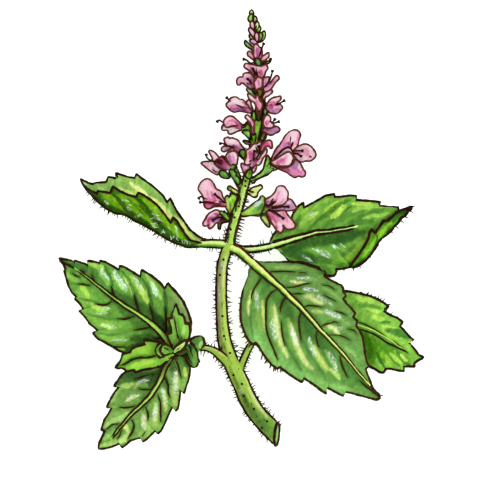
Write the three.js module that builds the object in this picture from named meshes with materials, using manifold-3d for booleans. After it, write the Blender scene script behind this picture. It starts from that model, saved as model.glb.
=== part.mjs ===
// Holy basil, one cut flowering sprig laid flat: millimetres, +Z up.
// +Y runs from the cut end to the top of the flower spike, +X to the right seen from above.
// Every body is a loft through the tables below; outlines are [x, y] and curves [x, y, z, radius or half width].
import * as THREE from 'three';
import Module from 'manifold-3d';

const wasm = await Module();
wasm.setup();

// ---------------------------------------------------------------- driving dimensions
const CLEARANCE = 0.16; // gap left where two bodies meet
const LEAF_HALF_THICKNESS = 0.24; // half the thickness of a blade beside its midrib
const LEAF_EDGE_HALF = 0.16; // and at its margin
const PETAL_THICKNESS = 0.34;
const LIP_THICKNESS = 0.36; // calyx lips and bracts
const FILAMENT_RADIUS = 0.17;
const ANTHER_RADIUS = 0.36;
const FOLD_SHARE = 0.62; // share of a half blade that lies inside a rolled margin
const CUT_NORMAL = [-0.965, 0.13, -0.23]; // plane of the oblique cut, pointing into the stem


// colour and roughness
const COLORS = {
  stem: [0x9cc83f, 0.6], leaf: [0x5f9a3c, 0.55], leaf_young: [0x8cc63f, 0.55], calyx: [0x66a83e, 0.6], old_calyx: [0xd6e08a, 0.65],
  petal: [0xe7a9cb, 0.55], bud_green: [0x76ab45, 0.6], bud_pink: [0xeab6d2, 0.55],
  leaf_front: [0x659e4b, 0.55], leaf_upper_right: [0x5d9636, 0.55], leaf_upper_left: [0x57951c, 0.55], leaf_back_right: [0x7cb53f, 0.55],
  leaf_shoot_upper: [0x5b9a3a, 0.55], leaf_shoot_lower: [0x659e45, 0.55], leaf_shoot_small_left: [0x8fc63d, 0.55],
  leaf_shoot_small_top: [0x83ba3f, 0.55], leaf_shoot_right_a: [0x5d9a38, 0.55], leaf_shoot_right_b: [0x6ea53c, 0.55],
};
const LEAF_ORDER = ['leaf_front', 'leaf_upper_right', 'leaf_upper_left', 'leaf_back_right', 'leaf_shoot_upper', 'leaf_shoot_lower', 'leaf_shoot_small_left', 'leaf_shoot_small_top', 'leaf_shoot_right_a', 'leaf_shoot_right_b', 'leaf_bud_outer', 'leaf_bud_inner', 'leaf_bud_pale'];
const SMALL_LEAVES = ['leaf_shoot_small_left', 'leaf_shoot_small_top', 'leaf_shoot_right_a', 'leaf_shoot_right_b'];

// spine: leaf stalk to tip; t0: where the blade starts; rp, rb, rt: midrib radius at stalk, blade base and tip;
// L, R: margins with their teeth, seen walking from the base to the tip; zL, zR: height along each margin;
// p, bow: slant and curve of the side veins; puff: swell between midrib and margin; fold: crest of a rolled margin.
const LEAVES = {
  leaf_front: {"spine":[[-3.02,-4.79,9.3],[-2.29,-5.12,9.6],[-0.41,-6.06,10.0],[2.03,-8.22,10.3],[4.46,-10.38,10.5],[7.16,-12.81,10.7],[9.86,-15.11,10.7],[13.1,-18.21,10.5],[16.07,-21.18,10.2],[18.77,-24.15,9.8],[21.2,-26.85,9.3],[24.17,-30.09,8.6],[27.14,-33.33,7.8],[29.84,-36.57,6.8],[32.27,-39.54,5.8],[34.42,-41.97,4.9],[36.31,-44.13,3.9],[37.66,-45.67,3.0]],"t0":0.12,"rp":1.12,"rb":0.98,"rt":0.22,"up":[0,0,1],"p":0.8,"bow":0.1,"puff":0.06,"L":[[3.92,-8.76],[5.54,-8.9],[7.7,-8.9],[10.4,-8.9],[13.1,-8.76],[15.79,-9.03],[17.96,-9.57],[20.12,-10.38],[21.74,-10.92],[22.55,-11.73],[22.28,-12.54],[24.44,-13.89],[26.06,-14.7],[26.87,-14.97],[27.41,-15.78],[27.54,-16.73],[28.22,-17.94],[27.41,-18.61],[28.22,-19.83],[29.57,-21.18],[30.65,-22.53],[30.11,-23.61],[31.19,-24.69],[30.92,-26.04],[32.0,-27.39],[32.8,-29.28],[33.08,-31.44],[33.34,-33.06],[33.62,-35.22],[34.42,-36.84],[33.48,-37.52],[33.88,-39.0],[34.7,-40.89],[35.23,-42.51],[36.05,-43.59],[37.12,-44.54],[37.66,-45.67]],"zL":[9.4,8.7,8.0,7.4,7.0,6.8,6.5,6.1,5.6,5.0,3.9,3.0],"R":[[2.57,-10.11],[2.16,-10.92],[2.03,-12.54],[1.22,-14.7],[0.41,-16.86],[0.0,-19.02],[-0.27,-21.72],[-0.14,-24.42],[0.41,-26.58],[1.22,-28.74],[2.29,-30.36],[3.11,-30.9],[3.78,-30.5],[4.46,-31.17],[5.54,-33.06],[6.88,-34.95],[8.24,-36.57],[9.59,-37.52],[10.4,-37.11],[11.75,-38.19],[13.63,-39.54],[15.26,-40.62],[16.34,-41.16],[16.74,-40.08],[18.5,-41.16],[20.39,-42.51],[21.74,-43.59],[22.82,-44.4],[22.14,-42.24],[23.9,-43.05],[25.79,-44.13],[27.41,-44.94],[27.68,-43.73],[30.65,-44.4],[33.62,-45.21],[36.31,-46.02],[37.66,-45.67]],"zR":[9.4,8.3,7.4,6.8,6.4,6.1,5.8,5.4,5.0,4.5,3.8,3.0]},
  leaf_upper_right: {"spine":[[-2.97,-4.79,8.8],[-1.22,-4.98,8.4],[0.95,-5.33,8.2],[3.65,-5.25,8.5],[6.35,-4.84,9.0],[9.04,-4.17,9.6],[11.75,-3.36,10.1],[14.72,-2.42,10.6],[17.42,-1.6,10.9],[20.12,-0.93,11.1],[23.36,-0.53,11.2],[26.6,0.02,11.1],[29.84,0.56,10.9],[33.08,1.1,10.6],[36.31,2.18,10.3],[39.55,3.66,10.0],[42.8,5.15,9.7],[46.17,6.36,9.4]],"t0":0.226,"rp":0.8,"rb":0.72,"rt":0.16,"up":[0,0,1],"p":0.8,"bow":0.08,"puff":0.05,"L":[[7.7,-3.23],[8.51,-1.47],[9.86,0.15],[11.47,1.5],[13.37,2.85],[14.18,4.74],[15.53,6.5],[16.61,7.17],[16.74,5.82],[18.23,6.63],[20.66,7.98],[22.82,9.2],[24.98,9.6],[25.11,8.74],[27.14,8.92],[29.3,9.2],[30.92,9.06],[30.78,7.98],[32.54,7.85],[34.7,7.71],[37.4,7.44],[36.99,6.36],[38.48,6.23],[40.37,6.09],[42.26,5.96],[42.12,5.01],[43.61,5.28],[44.95,5.82],[46.17,6.36]],"zL":[9.6,9.6,9.5,9.3,9.0,8.7,8.5,8.3,8.2,8.3,8.7,9.4],"R":[[10.12,-5.66],[11.21,-6.47],[12.29,-7.68],[13.1,-8.63],[14.72,-8.76],[16.61,-8.9],[18.5,-9.57],[20.39,-10.11],[22.01,-10.65],[22.55,-11.46],[22.68,-12.27],[23.9,-12.54],[24.98,-12.41],[25.52,-11.46],[25.65,-10.65],[27.14,-10.52],[29.3,-10.11],[30.11,-8.76],[31.46,-6.87],[33.08,-4.44],[34.16,-2.55],[34.56,-0.66],[35.1,0.15],[36.05,-0.93],[37.12,0.69],[38.2,2.31],[39.55,2.31],[40.63,3.39],[41.72,4.74],[43.88,5.55],[46.17,6.36]],"zR":[9.4,9.6,9.7,9.7,9.6,9.7,10.6,11.9,12.3,12.2,11.8,11.4,10.8,9.4],"fold":[[29.3,-10.11,9.7],[30.92,-9.57,9.6],[32.54,-8.49,9.6],[34.16,-6.87,9.7],[35.77,-4.98,9.8],[36.85,-3.09,9.9],[38.48,-1.47,9.9],[40.63,0.42,9.8],[42.8,2.85,9.6],[44.69,5.01,9.5],[46.17,6.36,9.4]],"foldAt":16},
  leaf_upper_left: {"spine":[[-3.51,-4.22,8.95],[-6.89,-3.85,8.7],[-9.59,-3.85,8.4],[-11.75,-4.17,8.1],[-14.45,-4.36,7.8],[-16.61,-3.77,7.5],[-18.77,-3.09,7.3],[-20.66,-2.01,7.1],[-22.54,-0.93,6.9],[-24.71,0.42,6.7],[-26.86,1.58,6.5],[-28.75,2.45,6.4],[-30.64,3.66,6.2],[-32.27,4.28,6.1],[-33.89,4.47,6.0],[-36.05,5.42,5.9],[-37.67,6.63,5.8],[-39.29,7.98,5.6],[-40.64,9.6,5.4],[-41.99,10.95,5.2],[-43.07,12.3,5.0],[-43.61,13.79,4.9]],"t0":0.155,"rp":1.1,"rb":0.85,"rt":0.2,"up":[0,1,0.12],"p":0.85,"bow":0.05,"puff":-0.05,"L":[[-10.67,-3.63],[-12.29,-3.36],[-13.91,-2.82],[-15.26,-1.2],[-16.61,0.96],[-17.41,2.31],[-18.5,3.26],[-19.04,1.77],[-20.11,3.12],[-21.46,5.01],[-22.82,6.63],[-24.43,7.98],[-26.05,9.06],[-27.68,10.01],[-28.35,8.79],[-30.64,9.33],[-32.81,10.41],[-34.7,11.62],[-35.37,9.87],[-37.13,10.14],[-38.75,10.41],[-39.02,9.73],[-40.37,10.28],[-41.72,11.06],[-42.8,12.03],[-43.61,13.79]],"zL":[9.1,9.8,10.6,11.2,11.6,11.8,11.8,11.6,11.1,10.2,8.6,7.0,4.9],"R":[[-9.04,-2.82],[-10.67,-2.55],[-12.29,-1.47],[-13.91,-0.12],[-15.26,1.77],[-16.61,3.66],[-17.68,5.28],[-18.5,6.9],[-19.3,8.52],[-20.11,7.31],[-21.2,9.06],[-22.54,10.41],[-24.43,12.03],[-26.32,13.38],[-27.41,14.19],[-28.48,15.0],[-28.75,13.92],[-30.64,14.19],[-32.27,14.73],[-33.89,15.27],[-33.62,13.65],[-34.97,14.05],[-36.05,14.19],[-36.59,12.84],[-37.94,12.71],[-39.29,12.71],[-40.1,12.3],[-41.45,12.57],[-42.53,13.11],[-43.61,13.79]],"zR":[7.6,6.4,5.0,3.9,3.0,2.4,2.0,1.8,1.9,2.2,2.9,3.8,4.9]},
  leaf_back_right: {"spine":[[2.7,-30.77,4.6],[5.54,-29.01,4.4],[10.4,-26.58,4.0],[15.79,-24.69,3.7],[20.66,-24.42,3.4],[25.25,-24.69,3.3],[29.3,-25.5,3.2],[32.0,-26.04,3.1],[34.7,-26.85,3.0],[37.4,-28.2,2.8],[40.09,-29.82,2.4],[42.8,-31.71,1.8],[44.95,-32.93,1.2],[47.38,-33.87,0.5],[49.55,-34.55,0.05]],"t0":0.34,"rp":0.85,"rb":0.75,"rt":0.2,"up":[0,0,1],"p":0.8,"bow":0.08,"puff":0.05,"L":[[20.39,-23.34],[21.2,-21.18],[22.82,-19.02],[24.98,-17.54],[28.22,-16.73],[29.84,-16.86],[32.0,-17.27],[34.7,-17.94],[36.85,-18.89],[38.74,-19.96],[39.83,-20.91],[38.74,-21.59],[38.61,-22.12],[40.09,-23.07],[41.98,-23.88],[43.61,-24.96],[43.34,-25.5],[42.8,-26.04],[43.88,-27.12],[44.95,-28.47],[45.77,-29.28],[46.58,-29.82],[45.36,-30.09],[45.23,-30.58],[46.04,-31.44],[47.12,-32.79],[47.93,-33.87],[49.55,-34.55]],"zL":[3.2,2.8,2.5,2.3,2.2,2.1,1.9,1.7,1.5,1.2,0.7,0.05],"R":[[20.93,-25.77],[22.28,-27.93],[24.44,-30.09],[27.14,-32.25],[29.84,-34.14],[32.54,-35.76],[34.42,-36.84],[36.05,-37.65],[37.4,-38.6],[38.48,-38.73],[39.02,-37.65],[40.09,-37.65],[41.98,-38.06],[43.88,-38.33],[43.74,-37.11],[44.95,-36.98],[46.84,-37.11],[46.71,-36.3],[47.66,-35.49],[49.55,-34.55]],"zR":[3.1,2.5,1.9,1.4,1.1,0.9,0.8,0.7,0.65,0.55,0.4,0.05]},
  leaf_shoot_upper: {"spine":[[-17.68,-32.79,8.9],[-18.9,-31.17,9.4],[-20.66,-29.01,10.0],[-22.54,-26.85,10.5],[-24.71,-24.96,10.8],[-27.14,-23.21,10.9],[-29.84,-21.45,10.8],[-32.81,-19.56,10.3],[-35.51,-17.67,9.5],[-38.21,-15.51,8.3],[-40.37,-13.89,7.0],[-42.53,-12.27,5.4],[-44.69,-10.65,3.5],[-47.39,-9.03,1.4],[-49.55,-7.68,0.02]],"t0":0.035,"rp":0.95,"rb":0.9,"rt":0.2,"up":[0,0,1],"p":0.72,"bow":0.16,"puff":0.06,"L":[[-19.57,-31.71],[-21.2,-32.52],[-23.09,-33.2],[-25.79,-33.6],[-27.95,-33.6],[-29.3,-33.33],[-31.18,-33.41],[-33.35,-32.52],[-34.7,-31.71],[-37.4,-30.09],[-38.75,-29.55],[-40.1,-27.93],[-38.61,-27.44],[-39.56,-26.58],[-40.91,-25.5],[-42.26,-23.61],[-43.74,-21.99],[-42.66,-21.72],[-43.61,-20.1],[-44.96,-18.75],[-44.55,-18.21],[-45.77,-17.13],[-46.58,-15.51],[-46.85,-14.7],[-47.39,-13.08],[-47.93,-11.19],[-47.52,-10.97],[-48.2,-9.3],[-49.55,-7.68]],"zL":[9.0,8.2,7.6,7.2,6.9,6.5,6.0,5.3,4.4,3.1,1.5,0.02],"R":[[-17.95,-30.9],[-15.8,-29.82],[-14.45,-27.93],[-13.77,-26.31],[-13.64,-24.96],[-14.18,-23.07],[-14.72,-21.45],[-15.8,-19.29],[-16.88,-17.94],[-18.5,-16.05],[-19.3,-15.24],[-19.84,-14.43],[-20.66,-16.05],[-22.0,-14.43],[-24.16,-12.54],[-25.52,-11.73],[-26.86,-10.92],[-27.14,-12.81],[-28.75,-12.0],[-30.38,-10.92],[-31.73,-10.11],[-32.81,-9.84],[-32.54,-11.19],[-33.62,-10.65],[-35.51,-9.57],[-36.86,-8.76],[-38.21,-8.49],[-37.67,-9.3],[-39.56,-8.76],[-41.45,-8.49],[-40.91,-10.11],[-42.26,-9.3],[-43.61,-9.03],[-44.96,-8.49],[-44.42,-9.3],[-46.31,-8.49],[-48.47,-7.95],[-49.55,-7.68]],"zR":[9.2,8.8,8.6,8.4,8.1,7.7,7.1,6.3,5.2,3.7,1.7,0.02]},
  leaf_shoot_lower: {"spine":[[-18.36,-33.33,8.2],[-19.3,-34.95,8.7],[-20.39,-36.84,9.1],[-21.2,-38.73,9.3],[-22.0,-40.89,9.3],[-23.36,-43.05,9.1],[-24.71,-44.94,8.7],[-26.32,-46.56,8.1],[-27.95,-48.18,7.4],[-29.57,-49.8,6.5],[-31.18,-51.69,5.3],[-33.08,-53.85,3.8],[-34.97,-56.28,2.0],[-37.13,-58.17,0.8],[-38.75,-59.52,0.02]],"t0":0.07,"rp":0.95,"rb":0.85,"rt":0.2,"up":[0,0,1],"p":0.76,"bow":0.12,"puff":0.06,"L":[[-18.22,-34.55],[-16.61,-33.87],[-14.99,-34.41],[-13.91,-36.03],[-13.91,-37.92],[-14.18,-39.81],[-14.72,-41.7],[-15.26,-43.32],[-15.53,-44.13],[-16.47,-43.05],[-16.69,-44.67],[-16.88,-46.56],[-17.14,-48.18],[-17.68,-48.99],[-18.63,-47.64],[-19.3,-48.99],[-20.11,-50.88],[-20.93,-52.77],[-21.73,-54.39],[-22.54,-55.07],[-23.22,-54.26],[-24.43,-55.47],[-25.52,-56.55],[-26.59,-57.36],[-27.0,-56.28],[-28.48,-56.55],[-30.11,-57.09],[-31.18,-58.17],[-32.27,-58.98],[-32.94,-57.9],[-34.97,-58.71],[-36.86,-59.25],[-38.75,-59.52]],"zL":[8.1,7.6,7.1,6.7,6.2,5.6,4.9,4.2,3.4,2.4,1.2,0.02],"R":[[-20.39,-35.22],[-22.0,-35.76],[-24.71,-36.3],[-27.41,-36.84],[-29.57,-37.52],[-30.91,-38.19],[-32.27,-39.27],[-33.62,-41.16],[-34.43,-42.24],[-32.94,-42.38],[-34.16,-43.86],[-35.24,-45.48],[-35.78,-46.83],[-36.32,-47.91],[-34.83,-47.83],[-35.78,-49.53],[-37.13,-51.69],[-37.94,-54.12],[-37.04,-54.34],[-37.67,-56.01],[-38.48,-57.63],[-38.75,-59.52]],"zR":[8.1,7.5,7.0,6.7,6.2,5.6,4.9,4.0,3.1,2.1,1.0,0.02]},
  leaf_shoot_small_left: {"spine":[[-18.22,-33.47,10.4],[-19.84,-34.14,11.3],[-22.0,-33.95,12.0],[-23.36,-34.14,12.3],[-25.25,-34.41,12.4],[-27.41,-34.55,12.3],[-29.3,-34.95,12.0],[-30.91,-35.76,11.4],[-32.54,-36.84,10.5],[-34.16,-37.38,9.6]],"t0":0.1,"rp":0.6,"rb":0.5,"rt":0.16,"up":[0,0,1],"p":0.85,"bow":0.06,"puff":0.05,"L":[[-19.57,-35.22],[-20.66,-36.03],[-22.0,-37.11],[-22.54,-36.98],[-24.71,-37.52],[-26.59,-37.79],[-28.48,-38.46],[-28.89,-37.79],[-30.91,-38.19],[-31.46,-37.52],[-32.4,-37.25],[-33.35,-37.27],[-34.16,-37.38]],"zL":[10.9,10.8,10.8,10.7,10.6,10.3,10.0,9.6],"R":[[-19.84,-32.79],[-20.39,-31.44],[-21.2,-30.77],[-22.54,-30.23],[-24.16,-30.09],[-26.32,-29.69],[-25.52,-30.71],[-26.86,-31.17],[-28.75,-31.71],[-29.57,-32.25],[-29.84,-33.06],[-31.18,-33.47],[-32.0,-33.6],[-32.27,-34.68],[-32.54,-35.49],[-33.35,-36.57],[-34.16,-37.38]],"zR":[11.2,11.3,11.3,11.2,11.0,10.7,10.2,9.6]},
  leaf_shoot_small_top: {"spine":[[-17.95,-33.06,10.8],[-17.55,-31.44,11.7],[-17.09,-29.82,12.3],[-17.14,-27.39,12.9],[-17.68,-24.69,13.1],[-17.95,-22.26,13.0],[-17.68,-19.83,12.6]],"t0":0.09,"rp":0.55,"rb":0.48,"rt":0.15,"up":[0,0,1],"p":0.9,"bow":0.05,"puff":0.04,"L":[[-18.5,-31.71],[-19.3,-30.36],[-20.25,-28.2],[-18.9,-27.93],[-19.04,-26.31],[-19.57,-24.42],[-19.84,-23.88],[-18.77,-24.15],[-18.63,-22.8],[-17.95,-21.45],[-17.68,-19.83]],"zL":[12.0,12.2,12.4,12.5,12.6,12.6],"R":[[-16.61,-31.44],[-14.99,-30.36],[-14.18,-29.28],[-13.77,-27.12],[-13.91,-25.23],[-15.12,-25.5],[-15.39,-23.88],[-15.93,-22.8],[-16.74,-23.34],[-17.28,-21.45],[-17.68,-19.83]],"zR":[12.0,12.0,12.1,12.3,12.5,12.6]},
  leaf_shoot_right_a: {"spine":[[-15.8,-31.57,8.6],[-14.85,-31.57,9.3],[-14.18,-32.79,9.9],[-13.37,-34.68,9.9],[-12.69,-37.25,8.9]],"t0":0.16,"rp":0.5,"rb":0.45,"rt":0.15,"up":[0,0,1],"p":0.95,"bow":0.0,"puff":0.08,"L":[[-13.91,-30.5],[-12.83,-31.44],[-12.02,-33.06],[-11.88,-34.68],[-11.56,-35.49],[-12.02,-36.57],[-12.69,-37.25]],"zL":[8.6,8.1,8.0,8.1,8.9],"R":[[-15.66,-32.52],[-15.39,-33.6],[-14.72,-35.22],[-13.91,-36.57],[-12.69,-37.25]],"zR":[9.2,9.0,8.7,8.8,8.9]},
  leaf_shoot_right_b: {"spine":[[-11.48,-32.6,10.8],[-11.66,-31.57,11.4],[-11.48,-30.23,11.8],[-10.94,-28.61,11.3]],"t0":0.1,"rp":0.5,"rb":0.42,"rt":0.15,"up":[0,0,1],"p":0.95,"bow":0.0,"puff":0.06,"L":[[-12.29,-31.85],[-13.1,-30.9],[-14.04,-29.77],[-12.56,-29.01],[-10.94,-28.61]],"zL":[11.2,11.0,10.9,11.1,11.3],"R":[[-10.8,-31.98],[-9.91,-30.9],[-10.31,-29.55],[-10.94,-28.61]],"zR":[11.1,10.8,10.9,11.3]},
};
// [x, y, z, radius]
const STEMS = {
  main_stem: [[9.59,-55.39,2.42,2.457],[7.29,-53.04,2.68,2.43],[4.32,-49.61,3.1,2.322],[1.65,-45.21,3.75,2.214],[-0.54,-40.76,4.55,2.16],[-1.89,-37.79,5.1,2.133],[-3.38,-34.41,5.8,1.971],[-4.59,-30.09,6.4,1.701],[-5.18,-24.96,6.95,1.431],[-5.45,-19.02,7.5,1.35],[-5.4,-13.62,8.0,1.323],[-5.13,-9.57,8.4,1.296],[-4.19,-6.06,8.8,1.296],[-3.24,-3.9,9.0,1.215]],
  flower_spike_stem: [[-3.05,-3.9,9.05,1.134],[-2.48,-1.88,9.05,1.053],[-1.76,0.96,8.87,0.999],[-0.68,5.01,8.48,0.972],[0.41,9.33,7.94,0.945],[1.49,13.92,7.27,0.918],[2.7,19.32,6.42,0.891],[3.92,24.72,5.66,0.864],[4.59,29.58,4.93,0.81],[4.72,34.98,4.15,0.729],[4.59,40.38,3.35,0.648],[4.05,45.78,2.45,0.567],[3.81,48.48,2.0,0.54],[3.65,50.1,1.75,0.513]],
  left_shoot_stem: [[-3.38,-36.3,6.3,1.404],[-5.27,-34.41,7.2,1.296],[-7.16,-32.93,7.9,0.972],[-9.04,-32.09,8.5,0.783],[-10.94,-31.87,8.9,0.756],[-13.37,-32.12,9.0,0.729],[-15.8,-32.47,9.0,0.702],[-17.55,-32.79,9.0,0.648]],
  right_shoot_stem: [[-0.27,-37.38,5.0,1.188],[0.54,-35.22,4.9,1.08],[1.49,-33.06,4.8,1.026],[2.57,-31.04,4.6,0.972]],
};
// curled young leaves: [x, y, z, half width]
const SHOOT_RIBBONS = {
  leaf_bud_outer: {"pts":[[-18.9,-33.47,10.6,0.594],[-19.84,-32.93,12.6,1.512],[-21.2,-32.6,13.9,1.863],[-22.41,-32.6,14.2,1.62],[-23.14,-32.66,13.9,0.945]],"cup":-0.55,"th":0.42},
  leaf_bud_inner: {"pts":[[-18.63,-32.79,12.2,0.486],[-19.57,-32.52,14.0,1.188],[-20.66,-32.44,15.0,1.404],[-21.79,-32.57,15.2,0.918]],"cup":-0.6,"th":0.42},
  leaf_bud_pale: {"pts":[[-18.09,-32.93,12.6,0.405],[-17.14,-32.14,13.4,0.81],[-15.93,-31.17,13.6,0.783],[-14.72,-29.9,13.0,0.243]],"cup":-0.3,"th":0.42},
};
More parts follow.
